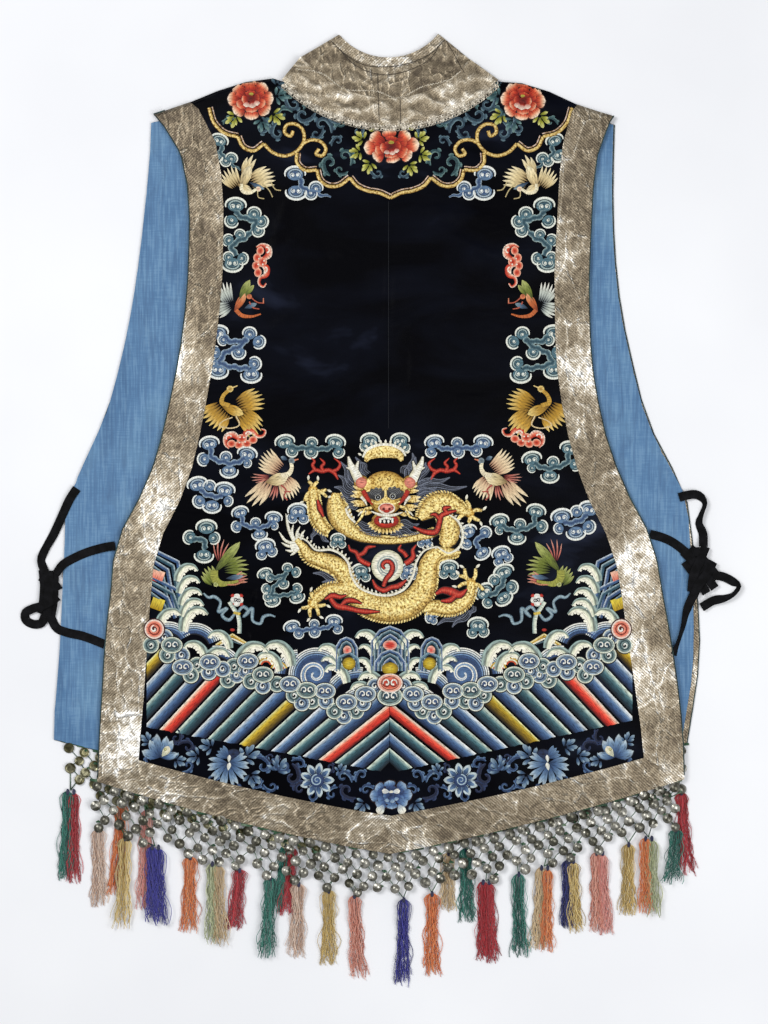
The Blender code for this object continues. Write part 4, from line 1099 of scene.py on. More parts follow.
def floss_silk():
    """Floss silk, reeled and dyed, hardly twisted: glossy along the thread."""
    made, tree, shader, place = new_material("floss_silk_dyed")
    tint = add_node(tree, "ShaderNodeVertexColor", layer_name="thread_colour")
    fibre = add_node(tree, "ShaderNodeTexNoise", {"Vector": place, "Scale": 700.0, "Detail": 2.0})
    fibres = add_node(tree, "ShaderNodeBump", {"Height": fibre, "Distance": 0.25 * MM, "Strength": 0.7})
    feed(tree, shader, {"Base Color": tint, "Normal": fibres, "Roughness": 0.5, "Sheen Weight": 0.2})
    return made


# %% [markdown]
# A tassel takes its place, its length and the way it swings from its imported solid. Each thread is a tube of
# its own, tight at the binding, and loose and wavy towards an end that is cut unevenly; every fifth strays.
# Two skirts hang side by side, each with a binding.

# %% Tassels
FLOSS_SILK = floss_silk()


def paint(piece, colours, layer="thread_colour"):
    """Gives each point of a piece its colour, linear, as a colour attribute."""
    attribute = piece.data.color_attributes.new(layer, "FLOAT_COLOR", "POINT")
    attribute.data.foreach_set("color", np.array(colours, np.float32).reshape(-1))


def thread_paths(top, foot, half_width, draw):
    """Paths of one skirt's threads, from the binding to their cut ends: wavy, and a few of them strayed."""
    paths = []
    length = top[1] - foot[1]
    for number in range(THREADS):
        stray = 2.4 if number % 5 == 3 else 1.0
        side = (number + 0.5) / THREADS * 2 - 1 + draw.uniform(-0.15, 0.15)
        side *= 1.0 if stray == 1.0 else 1.35
        depth = draw.uniform(-1, 1)
        ends = draw.uniform(0.84, 1.02)
        curls, phase = draw.uniform(0.8, 2.0) * stray, draw.uniform(0, 6.3)
        pace = draw.uniform(22, 34) / stray
        path = []
        for share in TASSEL_SHARES:
            down = share * ends
            swell = np.interp(share, *SKIRT_SWELL)
            x = top[0] + (foot[0] - top[0]) * down**1.3 + side * half_width * swell
            x += curls * min(1.0, share * 3) * math.sin(phase + pace * share)
            rise = 1.9 * depth * min(1.0, share / 0.06) * (1 - 0.4 * share)
            z = max(top[2] + (foot[2] - top[2]) * min(1.0, share * 2.2) + rise, 0.6)
            path.append((x, top[1] - down * length, z, THREAD_RADIUS))
        paths.append(path)
    return paths


def make_tassel(node):
    """A tassel of one skirt, or of two side by side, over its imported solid."""
    draw = random.Random(node)
    at = points_of(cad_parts[node]) / MM
    top = at[at[:, 1].argmax()]
    tips = at[at[:, 1] < at[:, 1].min() + 6]
    foot = np.array((tips[:, 0].mean(), at[:, 1].min(), max(tips[:, 2].mean() - 0.6, 1.0)))
    skirts = [node.split("_")[2]] + ([SECOND_SKIRT[node]] if node in SECOND_SKIRT else [])
    paths, tints = [], []
    for number, skirt in enumerate(skirts):
        shift = 0.0 if len(skirts) == 1 else (-4.6, 4.6)[number]
        spread = np.array((shift, -3.0 * number, 0.0))
        wide = 9.4 if len(skirts) == 1 else 7.6
        paths += thread_paths(top + spread * 0.9, foot + spread * 1.2, wide, draw)
        for _ in range(THREADS):
            plain, pale, deep = (np.array(linear(code)) for code in FLOSS[skirt])
            mixed = plain + (pale - plain) * draw.random() ** 1.5 + (deep - plain) * draw.random() ** 1.2
            tints.append(np.clip(mixed, 0, 1))
    for number in range(len(skirts)):
        shift = 0.0 if len(skirts) == 1 else (-3.7, 3.7)[number]
        binding = [
            (top[0] + shift + dx, top[1] + dy, top[2] + 0.8, radius)
            for dx, dy, radius in ((0, 3.2, 0.9), (0.3, 1.6, 2.3), (-0.2, -0.4, 2.7), (0.2, -2.4, 2.3),
                                   (0, -3.8, 1.3))
        ]
        paths.append(binding)
        tints.append(np.array(linear("14183c")))
    points, faces, owners = tube_mesh(paths, sides=3)
    piece = mesh_piece(node.replace("tassel", "floss_tassel"), points, faces)
    paint(piece, [tints[owner] for owner in owners])
    finish_piece(piece, FLOSS_SILK, "tassel_" + skirts[0], node, smooth=60)
    return len(faces)


tassel_nodes = sorted(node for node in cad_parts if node.startswith("tassel_"))
print("tassels", len(tassel_nodes), "faces", sum(make_tassel(node) for node in tassel_nodes))

# %% [markdown]
# The ties are woven black tape, 10.6 mm wide. Each is a strip along its route that can turn on edge, made
# thick with Solidify. The knots are the same tape wound over itself in several layers.

# %% Tape
TAPE_WIDTH = 10.6
TAPE_THICK = 0.9


def black_tape():
    """Cotton tape, woven and dyed black: matt, with a fine rib across."""
    made, tree, shader, place = new_material("cotton_tape_woven_black")
    lie = add_node(tree, "ShaderNodeUVMap", uv_map="tape")
    rib = {"Vector": lie, "Scale": 0.13, "Distortion": 0.6}
    rib = add_node(tree, "ShaderNodeTexWave", rib, bands_direction="X").outputs["Fac"]
    worn = add_node(tree, "ShaderNodeTexNoise", {"Vector": place, "Scale": 120.0, "Detail": 4.0})
    tint = add_node(tree, "ShaderNodeValToRGB", {"Fac": worn}, ((0.4, "040405"), (0.75, "131316")))
    ribbed = add_node(tree, "ShaderNodeBump", {"Height": rib, "Distance": 0.25 * MM, "Strength": 0.8})
    fuzz = {"Height": worn, "Distance": 0.4 * MM, "Strength": 0.5, "Normal": ribbed}
    fuzz = add_node(tree, "ShaderNodeBump", fuzz)
    feed(tree, shader, {"Base Color": tint, "Normal": fuzz, "Roughness": 0.85, "Specular IOR Level": 0.15})
    return made


def tape_strip(route, width=TAPE_WIDTH, count=22):
    """Points, faces and tape coordinates of a strip: each row of its route is x, y, z and a turn on edge."""
    rows = smooth_route(route, count)
    ahead = np.gradient(rows[:, :2], axis=0)
    ahead /= np.linalg.norm(ahead, axis=1, keepdims=True)
    run = np.concatenate([[0], np.cumsum(np.linalg.norm(np.diff(rows[:, :3], axis=0), axis=1))])
    points, places = [], []
    for k, row in enumerate(rows):
        turn = math.radians(row[3])
        for across in (-0.5, -0.45, 0.0, 0.45, 0.5):
            flat = across * width * math.cos(turn)
            x = row[0] - ahead[k][1] * flat
            y = row[1] + ahead[k][0] * flat
            belly = 0.5 * (0.25 - across**2)
            points.append((x, y, max(row[2] + across * width * math.sin(turn) + belly, 0.1 + belly)))
            places.append((run[k], across * width))
    faces = []
    for k in range(count):
        for c in range(4):
            a = 5 * k + c
            faces.append((a, a + 1, a + 6, a + 5))
    return points, faces, places


def tape_piece(name, strips, nodes):
    """One piece of tape made of one or more strips, given its thickness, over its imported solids."""
    points, faces, places = [], [], []
    for strip_points, strip_faces, strip_places in strips:
        first = len(points)
        points += strip_points
        faces += [tuple(first + corner for corner in face) for face in strip_faces]
        places += strip_places
    piece = mesh_piece(name, points, faces)
    layer = piece.data.uv_layers.new(name="tape")
    for loop in piece.data.loops:
        layer.data[loop.index].uv = places[loop.vertex_index]
    for face in piece.data.polygons:
        if face.normal.z < 0:
            face.flip()
    solid = piece.modifiers.new("thickness", "SOLIDIFY")
    solid.thickness = TAPE_THICK * MM
    solid.offset = 1
    bpy.ops.object.modifier_apply(modifier=solid.name)
    finish_piece(piece, BLACK_TAPE, "tape", *nodes, smooth=50)
    return piece


# %% [markdown]
# The routes of the six ties and of the windings of the two knots are tables: each row is an x and a y, a
# height over the table, all in millimetres, and how far the tape is turned on edge there, in degrees. A knot
# is one piece of several short strips that cross over one another.

# %% Ties and knots
BLACK_TAPE = black_tape()
TIE_ROUTES = {
    "tie_left_front": ((-364, 26, 3.4, 0), (-372, 14, 3.4, 0), (-380, -3, 2.4, 6), (-391, -27, 0.9, 0),
                       (-405, -53, 0.8, 4), (-407, -58, 1.6, -24), (-402, -76, 3.2, 8)),
    "tie_left_upper": ((-318, -43, 5.0, 0), (-326, -44, 4.2, 0), (-335, -46, 3.6, 4), (-352, -51, 3.4, 0),
                       (-368, -58, 3.4, -6), (-381, -66, 3.2, 10), (-389, -77, 4.4, 20)),
    "tie_left_lower": ((-331, -161, 5.0, 0), (-341, -157, 3.8, 0), (-358, -151, 3.5, 0),
                       (-376, -147, 3.3, 4), (-388, -142, 2.0, -10), (-394, -132, 2.2, 12),
                       (-397, -122, 3.6, 0)),
    "tie_right_front": ((359, 15, 4.2, 0), (370, 18, 3.9, 0), (382, 18, 2.2, 10), (390, 9, 2.4, 58),
                        (386, -5, 2.6, 62), (383, -15, 2.6, 40), (388, -28, 2.6, 20), (388, -44, 4.6, 0)),
    "tie_right_upper": ((324, -29, 5.2, 0), (336, -32, 4.0, 0), (350, -38, 3.6, -6), (366, -50, 4.2, 0),
                        (378, -62, 5.2, 6)),
    "tie_right_lower": ((352, -174, 5.6, 40), (358, -160, 4.0, 50), (365, -138, 4.0, 40),
                        (369, -118, 4.0, 20), (378, -98, 4.6, 0)),
}
for name, route in TIE_ROUTES.items():
    tie = tape_piece(name.replace("tie", "tape"), [tape_strip(route)], [name])
    length = float(np.linalg.norm(np.diff(smooth_route(route, 60)[:, :3], axis=0), axis=1).sum()) * MM
KNOT_STRIPS = {
    "knot_left": (
        ((-405, -72, 2.0, 0), (-403, -90, 4.0, 6), (-404, -108, 4.2, 0), (-406, -124, 2.4, -8)),
        ((-391, -74, 2.4, 0), (-391, -92, 4.6, -6), (-392, -110, 4.4, 0), (-395, -127, 2.2, 8)),
        ((-398, -73, 3.6, 4), (-397, -92, 6.0, 0), (-399, -112, 5.6, 0), (-400, -126, 3.4, 0)),
        ((-408, -80, 2.6, 20), (-400, -84, 7.0, 6), (-390, -90, 6.2, -14), (-386, -96, 2.6, -30)),
        ((-387, -104, 2.6, -20), (-396, -110, 6.6, 0), (-407, -116, 5.2, 14), (-411, -122, 2.2, 30)),
        ((-408, -116, 3.0, 0), (-418, -119, 2.2, 6), (-426, -124, 1.2, 0), (-426, -131, 0.9, 0),
         (-417, -137, 0.9, 6), (-407, -136, 1.6, 0), (-402, -126, 3.0, 0)),
    ),
    "knot_right": (
        ((364, -50, 4.6, 0), (378, -64, 7.6, 6), (392, -80, 7.0, 0), (402, -94, 4.4, -6)),
        ((372, -46, 4.6, 0), (386, -58, 7.0, 0), (398, -72, 6.4, 4), (406, -82, 4.4, 0)),
        ((366, -62, 4.6, 0), (376, -76, 7.2, 0), (386, -90, 6.4, -4), (392, -100, 4.4, 0)),
        ((391, -44, 4.6, 0), (384, -60, 8.6, 4), (376, -78, 8.2, 0), (374, -98, 4.6, 0)),
        ((400, -62, 4.6, 0), (392, -76, 8.4, 0), (382, -90, 7.8, 4), (376, -104, 4.6, 0)),
        ((372, -52, 5.4, 0), (380, -50, 8.4, 0), (392, -50, 5.0, 0)),
        ((398, -78, 5.0, 0), (412, -80, 3.8, 10), (424, -86, 3.0, 20), (431, -91, 3.0, 60),
         (426, -100, 2.8, 66), (414, -106, 2.8, 40), (400, -109, 3.2, 0), (386, -117, 3.8, 0)),
    ),
}
for name, strips in KNOT_STRIPS.items():
    knot = tape_piece(name.replace("knot", "tape_knot"), [tape_strip(route) for route in strips], [name])
    print(knot.name, len(knot.data.polygons), "faces")

# %% [markdown]
# The embroidery is drawn in the flat first, as a pattern is drawn on the silk before it is stitched. These
# are its lines: arcs, spirals, and smooth or cornered paths through a few points, in steps of one stitch.
# Some places were measured as pixels of the picture, and one function turns those into millimetres.

# %% Lines of the pattern
STITCH_STEP = 1.7


def spot(px, py):
    """The place on the cloth, in millimetres, of a pixel of the picture."""
    return (px - ORIGIN[0]) * PIXEL, (ORIGIN[1] - py) * PIXEL


def spots(*pixels):
    """The same for several pixels, as an array."""
    return np.array([spot(px, py) for px, py in pixels])


def turned(points, degrees, x=0.0, y=0.0):
    """Points turned about the origin and then moved."""
    angle = math.radians(degrees)
    cos, sin = math.cos(angle), math.sin(angle)
    return np.array(points, float) @ np.array(((cos, sin), (-sin, cos))) + (x, y)


def arc(x, y, radius, start, end, step=STITCH_STEP):
    """Points along an arc, from one bearing to another in degrees."""
    count = max(int(abs(math.radians(end - start)) * radius / step), 5)
    angles = np.radians(np.linspace(start, end, count + 1))
    return np.stack([x + radius * np.cos(angles), y + radius * np.sin(angles)], axis=1)


def curl(x, y, outer, inner, start, turns, step=STITCH_STEP):
    """Points along a spiral from its outer radius to its inner one, from a bearing, in turns either way."""
    count = max(int(abs(turns) * math.pi * (outer + inner) / step), 8)
    share = np.linspace(0, 1, count + 1)
    angles = np.radians(start) + 2 * math.pi * turns * share
    radius = outer + (inner - outer) * share
    return np.stack([x + radius * np.cos(angles), y + radius * np.sin(angles)], axis=1)


def eased(points, step=STITCH_STEP):
    """A smooth path through a few points, in steps of about one stitch."""
    length = np.linalg.norm(np.diff(np.array(points, float), axis=0), axis=1).sum()
    return smooth_route(points, max(int(length / step), 5))


def straight(points, step=STITCH_STEP):
    """A path with corners through a few points."""
    rows = [np.array(points[0], float)]
    for start, end in zip(points[:-1], points[1:]):
        start, end = np.array(start, float), np.array(end, float)
        count = max(int(np.linalg.norm(end - start) / step), 1)
        rows += [start + (end - start) * k / count for k in range(1, count + 1)]
    return np.array(rows)


# %% [markdown]
# Floss is shaded as the embroiderer shades it, from row to row through a few tints. The tints are noted as
# they were dyed; the indigo blues have greyed since, and all have deepened a little.

# %% Shades of floss
FADED, DEEPENED = 0.22, 1.12


def aged(code):
    """A tint of floss as it is now: deeper than when it was dyed, and greyer where it is an indigo blue."""
    colour = np.array(linear(code)[:3])
    if colour[2] > colour[0]:
        colour += (colour.mean() - colour) * FADED
    return colour**DEEPENED


def shade_table(tints, u, v, along):
    """Linear colours over a patch: graded along it (u) or across it (v) through a few sRGB tints."""
    codes = np.array([aged(code) for code in ([tints] if isinstance(tints, str) else tints)])
    share = np.linspace(0, 1, len(codes)) if len(codes) > 1 else np.array([0.0])
    at = u if along else v
    row = np.stack([np.interp(at, share, codes[:, c]) for c in range(3)], axis=1)
    return np.repeat(row[:, None], len(v), axis=1) if along else np.repeat(row[None], len(u), axis=0)


# %% [markdown]
# The embroidery is floss silk laid in satin stitch, and gold thread laid on top and tied down. Each shape is
# a low dome of thread, so it is modelled as a thin patch: a ribbon along a path, a round dot or a petal. All
# the patches of a piece are gathered in one needlework. Their shades go to a colour attribute, and a UV map
# keeps how the threads lie.

# %% Needlework
class Needlework:
    """Patches gathered for one piece, in millimetres, and the place where they are now being worked."""

    def __init__(self, seed):
        self.points, self.faces, self.tints, self.lie, self.count = [], [], [], [], 0
        self.draw = np.random.default_rng(seed)
        self.move()

    def move(self, x=0.0, y=0.0, size=1.0, turn=0.0, mirror=False):
        """What is stitched next is mirrored, sized, turned and put at this place."""
        self.frame = np.diag((-size if mirror else size, size))
        self.shift, self.turn, self.size = np.array((x, y)), turn, size

    def patch(self, places, heights, tints, lie, closed=False):
        """Adds a grid of points as a patch of quads; a closed one joins its last column to its first."""
        rows, columns = heights.shape
        flat = turned(places.reshape(-1, 2) @ self.frame, self.turn) + self.shift
        self.points.append(np.column_stack([flat, heights.reshape(-1)]))
        self.tints.append(np.clip(tints.reshape(-1, 3), 0, 1))
        self.lie.append(lie.reshape(-1, 2))
        for r in range(rows - 1):
            for c in range(columns if closed else columns - 1):
                a, b = self.count + r * columns + c, self.count + r * columns + (c + 1) % columns
                self.faces.append((a, b, b + columns, a + columns))
        if closed:
            self.faces.append(tuple(range(self.count + (rows - 1) * columns, self.count + rows * columns)))
        self.count += rows * columns

    def ribbon(
        self, path, width, tints, level=0.3, rise=0.35, across=4, grain="across", along=False, vary=0.1
    ):
        """Satin stitch along a path: its width in mm, as one number or a profile, and its tints."""
        path = np.array(path, float)
        ahead = np.gradient(path, axis=0)
        ahead /= np.maximum(np.linalg.norm(ahead, axis=1, keepdims=True), 1e-6)
        side = np.stack([-ahead[:, 1], ahead[:, 0]], axis=1)
        run = np.concatenate([[0], np.cumsum(np.linalg.norm(np.diff(path, axis=0), axis=1))])
        u, v = run / run[-1], np.linspace(0, 1, across + 1)
        profile = np.atleast_1d(np.array(width, float))
        half = 0.5 * np.interp(u, np.linspace(0, 1, len(profile)), profile)
        offset = half[:, None] * (1 - 2 * v)[None]
        dome = np.sqrt(np.clip(1 - (2 * v - 1) ** 2, 0, 1))
        heights = level + rise * dome[None] * np.minimum(1, half / 1.2)[:, None]
        shades = shade_table(tints, u, v, along)
        thread = self.draw.normal(1, vary, (len(u), 1, 1) if grain == "across" else (1, len(v), 1))
        shades = shades * thread * self.draw.normal(1, 0.04, (len(u), len(v), 1))
        spread = np.broadcast_to(run[:, None], offset.shape)
        lie = np.stack([offset, spread] if grain == "across" else [spread, offset], axis=2) * self.size
        self.patch(path[:, None] + side[:, None] * offset[..., None], heights, shades, lie)

    def dot(self, x, y, radius, tints, level=0.3, rise=0.4, squash=1.0, turn=0.0, around=None, rings=None):
        """A round or oval patch whose tints go from its edge to its middle."""
        around = around or max(8, min(int(radius * 3.2), 40))
        rings = rings or max(2, min(int(radius / 1.2), 8))
        u, v = np.linspace(0, 1, rings + 1), np.linspace(0, 1, around, endpoint=False)
        reach = radius * (1 - 0.94 * u)
        ring = np.stack([np.cos(2 * math.pi * v), np.sin(2 * math.pi * v) * squash], axis=1)
        places = turned((reach[:, None, None] * ring[None]).reshape(-1, 2), turn, x, y)
        places = places.reshape(rings + 1, around, 2)
        heights = np.repeat((level + rise * np.sqrt(1 - (1 - u) ** 2))[:, None], around, axis=1)
        shades = shade_table(tints, u, v, along=True) * self.draw.normal(1, 0.06, (rings + 1, around, 1))
        self.patch(places, heights, shades, places * self.size, closed=True)

    def petal(self, x, y, length, width, facing, tints, level=0.3, rise=0.5, tip=0.5, bend=0.0, across=4):
        """A petal, leaf or feather from base to tip, its threads along it; tip 1 is blunt, 0 pointed."""
        share = np.linspace(0, 1, 9)
        fullness = np.sin(math.pi * np.clip(share, 0, 1) ** (0.85 + 0.7 * tip)) ** (0.9 - 0.45 * tip)
        profile = width * np.maximum(fullness, 0.06)
        line = [(0, 0), (length * 0.5, bend * length * 0.5), (length, bend * length * 0.2)]
        path = turned(eased(line, min(STITCH_STEP, length / 6)), facing, x, y)
        self.ribbon(path, profile, tints, level, rise, across, "along", along=True)


# %% [markdown]
# One finish serves both threads. Its streaks follow the threads of the floss: painted sheen that makes each
# thread a little darker or paler. In the gold they are a fine grain of painted glitter instead, because the
# couching stitches break the gleam up.

# %% Stitched silk and gold
def silk_stitch(name, sheen, gold=False):
    """Floss silk, laid flat and glossy, or gold leaf on thread; the streaks are painted sheen on its threads.
    """
    made, tree, shader, place = new_material(name)
    tint = add_node(tree, "ShaderNodeVertexColor", layer_name="thread_colour")
    lie = add_node(tree, "ShaderNodeUVMap", uv_map="stitch")
    drawn_out = add_node(tree, "ShaderNodeMapping", {"Vector": lie, "Scale": (0.16, 1.1, 1.0)})
    streak = {"Vector": drawn_out, "Scale": 1.0, "Detail": 2.0}
    # The floss streaks are painted sheen: each thread darker or paler as it catches the light.
    light = ((0.32, "9c9c9c"), (0.48, "e8e8e8"), (0.6, "ffffff"))
    if gold:
        streak = {"Vector": place, "Scale": 480.0, "Detail": 3.0}
        # In the gold, a fine grain of painted glitter.
        light = ((0.36, "8c7450"), (0.46, "decfb0"), (0.56, "ffffff"))
    streak = add_node(tree, "ShaderNodeTexNoise", streak)
    shade = add_node(tree, "ShaderNodeValToRGB", {"Fac": streak}, light)
    mixed = add_node(tree, "ShaderNodeMix", {"Factor": 1.0}, data_type="RGBA", blend_type="MULTIPLY")
    feed(tree, mixed, {MIX_A: tint, MIX_B: shade})
    threads = add_node(tree, "ShaderNodeBump", {"Height": streak, "Distance": 0.35 * MM, "Strength": 0.8})
    feed(tree, shader, {"Base Color": mixed, "Normal": threads, "Roughness": 0.5, "Specular IOR Level": 0.2})
    feed(tree, shader, {"Sheen Weight": sheen, "Metallic": 0.25 if gold else 0.0})
    return made


# %% [markdown]
# The gathered patches are dropped on the back panel's real surface, so that they follow its folds, and any
# that would fall past its edge are left out. The panel's centre seam is dropped on it in the same way.

# %% Dropping on the cloth
back_cover = cover_of(back_panel)
# The seam down the middle of the back shows between the collar's embroidery and the dragon: its ends in mm.
SEAM_X, SEAM_TOP, SEAM_FOOT, SEAM_THREAD = 10.2, 372, 98, 0.28
seam = [
    (SEAM_X, y, height_on(back_cover, SEAM_X, y) - 0.05, SEAM_THREAD)
    for y in np.arange(SEAM_FOOT, SEAM_TOP, 4.0)
]
points, faces, _ = tube_mesh([seam], sides=5)
seam_silk = sewing_silk("sewing_silk_navy", "04060b", "0c101b")
finish_piece(mesh_piece("sewn_centre_seam", points, faces), seam_silk, "satin")


def stitched(work, name, material):
    """Drops the gathered patches on the back panel and makes them one piece of the vest."""
    flat = np.concatenate(work.points)
    levels = np.array([height_on(back_cover, x, y) for x, y, _ in flat], float)
    lost = np.isnan(levels)
    flat[:, 2] += np.where(lost, 0, levels)
    kept = [face for face in work.faces if not any(lost[corner] for corner in face)]
    piece = new_piece(name, flat * MM, kept)
    mesh = piece.data
    paint(piece, np.column_stack([np.concatenate(work.tints), np.ones(len(flat))]))
    layer = mesh.uv_layers.new(name="stitch")
    corners = np.zeros(len(mesh.loops), int)
    mesh.loops.foreach_get("vertex_index", corners)
    layer.data.foreach_set("uv", np.concatenate(work.lie)[corners].reshape(-1))
    for face in mesh.polygons:
        if face.normal.z < 0:
            face.flip()
    in_edit_mode(piece, bpy.ops.mesh.delete_loose, use_verts=True, use_edges=False, use_faces=False)
    print(name, len(mesh.polygons), "faces,", int(lost.sum()), "points past the cloth's edge")
    return finish_piece(piece, material, "satin", smooth=60)


FLOSS_STITCH = silk_stitch("floss_silk_satin_stitch", 0.04)
GOLD_STITCH = silk_stitch("gold_thread_couched", 0.0, gold=True)

# %% [markdown]
# Clouds fill the ground. A cloud has a wavy stem and several heads, each of nested crescents from white to
# pale; a big head has two curled eyes, and a small one is a single curl. Eight kinds are drawn once, in
# millimetres about their middle, and stitched again and again, turned and mirrored, in blue or in teal.

# %% Clouds
CRESCENT = np.array((0.45, 0.85, 1.0, 1.0, 1.0, 0.85, 0.45))
CLOUD_BLUE = ("f6f7ee", "b0c4ce", "5d82a6", "2c5080")
CLOUD_TEAL = ("f4f5e8", "b0c4bc", "527f8c", "24505f")
DARK_LINE = "141c2e"
# A head of more than this radius, in mm, has two eyes, and a smaller one is a curl.
BIG_HEAD = 10.5
# Stems as points, and heads as x, y, radius and the way they face.
CLOUD_KINDS = {
    "bar": {
        "stem": ((-27, -1), (-12, -3), (0, -2), (13, -4), (27, -1)),
        "heads": ((-33, 5, 12, 100), (-24, -7, 8, 250), (1, 4, 8, 88), (0, -8, 9, 268), (31, 5, 12, 80),
                  (35, -8, 8, 290)),
    },
    "hook": {
        "stem": ((-20, 16), (-17, 4), (-4, -1), (8, -3), (24, 3)),
        "heads": ((-21, 22, 12, 100), (-28, 2, 9, 190), (0, 5, 8, 90), (4, -13, 11, 270), (27, 9, 12, 78),
                  (27, -3, 6, 320)),
    },
    "knot": {
        "stem": ((-15, 6), (-2, -2), (14, -4)),
        "heads": ((-17, 13, 12, 100), (-2, 10, 8, 80), (-16, -8, 9, 215), (-1, -15, 11, 265), (16, 4, 12, 80),
                  (19, -10, 7, 340)),
    },
    "tail": {
        "stem": ((-7, 6), (-5, -3), (3, -9), (14, -12), (22, -14), (30, -15)),
        "heads": ((-13, 12, 12, 92), (12, -5, 9, 85), (6, -12, 8, 270), (-12, -10, 12, 268)),
    },
    "drop": {
        "stem": ((-14, -2), (-3, 0), (3, -12)),
        "heads": ((3, 14, 12, 92), (12, 1, 8, 340), (-17, 2, 9, 165), (0, -20, 11, 268)),
    },
    "small": {"stem": (), "heads": ((-7, -5, 7, 240), (7, -6, 7, 300), (0, 4, 12, 92))},
    "column": {
        "stem": ((-7, 30), (4, 23), (19, 18), (16, 9), (4, -2), (-7, -8), (-10, -14), (-4, -22)),
        "heads": (
            (-5, 38, 12, 88), (-10, 19, 9, 240), (17, 28, 9, 80), (26, 18, 9, 325), (22, 7, 8, 285),
            (0, 3, 7, 80), (-14, -4, 8, 150), (-14, -24, 7, 120), (3, -26, 8, 345), (-9, -33, 12, 268),
        ),
    },
    "zigzag": {
        "stem": ((-18, 24), (-6, 18), (10, 20), (0, 12), (-16, 4), (-22, -6), (-6, -12), (14, -14)),
        "heads": (
            (-24, 29, 12, 95), (-18, 20, 7, 200), (14, 28, 9, 85), (25, 18, 9, 330), (1, 5, 9, 275),
            (-28, 5, 9, 165), (-30, -8, 8, 175), (-24, -17, 12, 265), (20, -8, 9, 30), (16, -22, 12, 272),
        ),
    },
}


def cloud_head(work, x, y, radius, facing, family, level):
    """Nested caps over a body with two eyes, or over one curl where the head is small."""
    white, pale, mid, deep = family
    twin = radius > BIG_HEAD
    lean, oval = facing - 90, (1.12, 0.78) if twin else (1.0, 0.92)
    work.dot(x, y, radius * 0.84, (mid, mid, deep), level - 0.15, 0.35, squash=oval[1], turn=lean,
             around=18, rings=3)
    for share, thick, reach, tints, lift in (
        (0.73, 0.1, 104, DARK_LINE, 0.12), (0.91, 0.26, 108, (white, white, pale), 0.2),
        (0.55, 0.17, 100, (pale, pale, mid), 0.2), (0.42, 0.07, 98, DARK_LINE, 0.2),
    ):
        band = arc(0, 0, radius * share, 90 + reach, 90 - reach) * oval
        work.ribbon(turned(band, lean, x, y), radius * thick * CRESCENT, tints, level + lift, 0.35, 2,
                    vary=0.03)
    for side in (-1, 1) if twin else (1,):
        eye = turned([(side * 0.27 * radius if twin else 0, -0.14 * radius)], lean, x, y)[0]
        ring = curl(*eye, radius * 0.27, radius * 0.1, lean + 90 - side * 150, side * 0.95, 1.0)
        work.ribbon(ring, radius * np.array((0.05, 0.1, 0.1)), (white, pale), level + 0.35, 0.2, across=2)
        work.dot(*eye, radius * 0.11, (white,), level + 0.45, 0.3, around=6, rings=1)


def cloud(work, kind, family, level=0.3):
    """One cloud at the work's place."""
    pale, mid, deep = family[1:]
    if CLOUD_KINDS[kind]["stem"]:
        path = eased(CLOUD_KINDS[kind]["stem"], 1.1)
        wave = np.sin(np.arange(len(path)) * 0.55)
        sway = np.gradient(path, axis=0)
        path = path + np.stack([-sway[:, 1], sway[:, 0]], axis=1) * wave[:, None] * 0.8
        width = 5.4 + 2.4 * np.abs(wave)
        if kind == "tail":
            width = width * np.interp(np.arange(len(path)), (0, 20, len(path)), (1.0, 0.9, 0.25))
        work.ribbon(path, width, (pale, mid, deep, deep, mid, pale), level - 0.1, 0.3, across=6, vary=0.03)
    for x, y, radius, facing in CLOUD_KINDS[kind]["heads"]:
        cloud_head(work, x, y, radius, facing, family, level)


# %% [markdown]
# The clouds were measured one by one, because the two halves of the vest don't match. A row is the pixel of
# a cloud's middle, its kind, size, turn and mirror, and whether it is teal; the left half comes first.

# %% Places of the clouds
CLOUD_PLACES = (
    (240, 237, "column", 1.0, 0, False, True),
    (238, 357, "zigzag", 1.0, 0, False, False),
    (306, 184, "tail", 1.0, 0, False, False),
    (225, 152, "tail", 0.86, -22, False, True),
    (311, 446, "bar", 0.95, 0, False, True),
    (370, 443, "small", 0.9, 0, False, True),
    (226, 461, "hook", 0.95, 0, False, False),
    (212, 494, "knot", 0.98, 4, False, False),
    (204, 539, "drop", 1.0, 0, False, True),
    (256, 526, "hook", 0.82, 6, False, False),
    (266, 549, "small", 0.95, 12, True, False),
    (298, 514, "small", 0.98, 0, False, False),
    (284, 587, "zigzag", 0.74, 16, False, True),
    (314, 627, "bar", 0.8, 8, False, False),
    (361, 573, "small", 0.85, 0, False, True),
    (338, 541, "small", 0.7, 0, False, True),
    (540, 237, "column", 1.0, 0, True, True),
    (534, 357, "zigzag", 1.0, 0, True, True),
    (474, 184, "tail", 1.0, 0, True, False),
    (549, 152, "tail", 0.86, 22, True, True),
    (458, 446, "bar", 0.92, 0, True, False),
    (400, 443, "small", 0.9, 0, False, True),
    (553, 466, "hook", 0.95, 0, True, True),
    (575, 520, "knot", 1.02, 0, True, False),
    (520, 528, "hook", 0.92, 0, True, True),
    (475, 540, "drop", 0.9, 30, True, False),
    (449, 570, "small", 0.9, 0, False, True),
    (497, 588, "knot", 0.98, 30, True, True),
    (478, 628, "small", 0.98, 0, True, True),
    (409, 572, "small", 0.78, 0, True, False),
    (425, 541, "small", 0.68, 0, False, False),
    (432, 617, "small", 0.62, 80, False, False),
    (502, 556, "small", 0.9, 20, True, False),
)
clouds = Needlework(21)
for px, py, kind, size, turn, mirror, teal in CLOUD_PLACES:
    clouds.move(*spot(px, py), size, turn, mirror)
    cloud(clouds, kind, CLOUD_TEAL if teal else CLOUD_BLUE)
stitched(clouds, "stitched_clouds", FLOSS_STITCH)

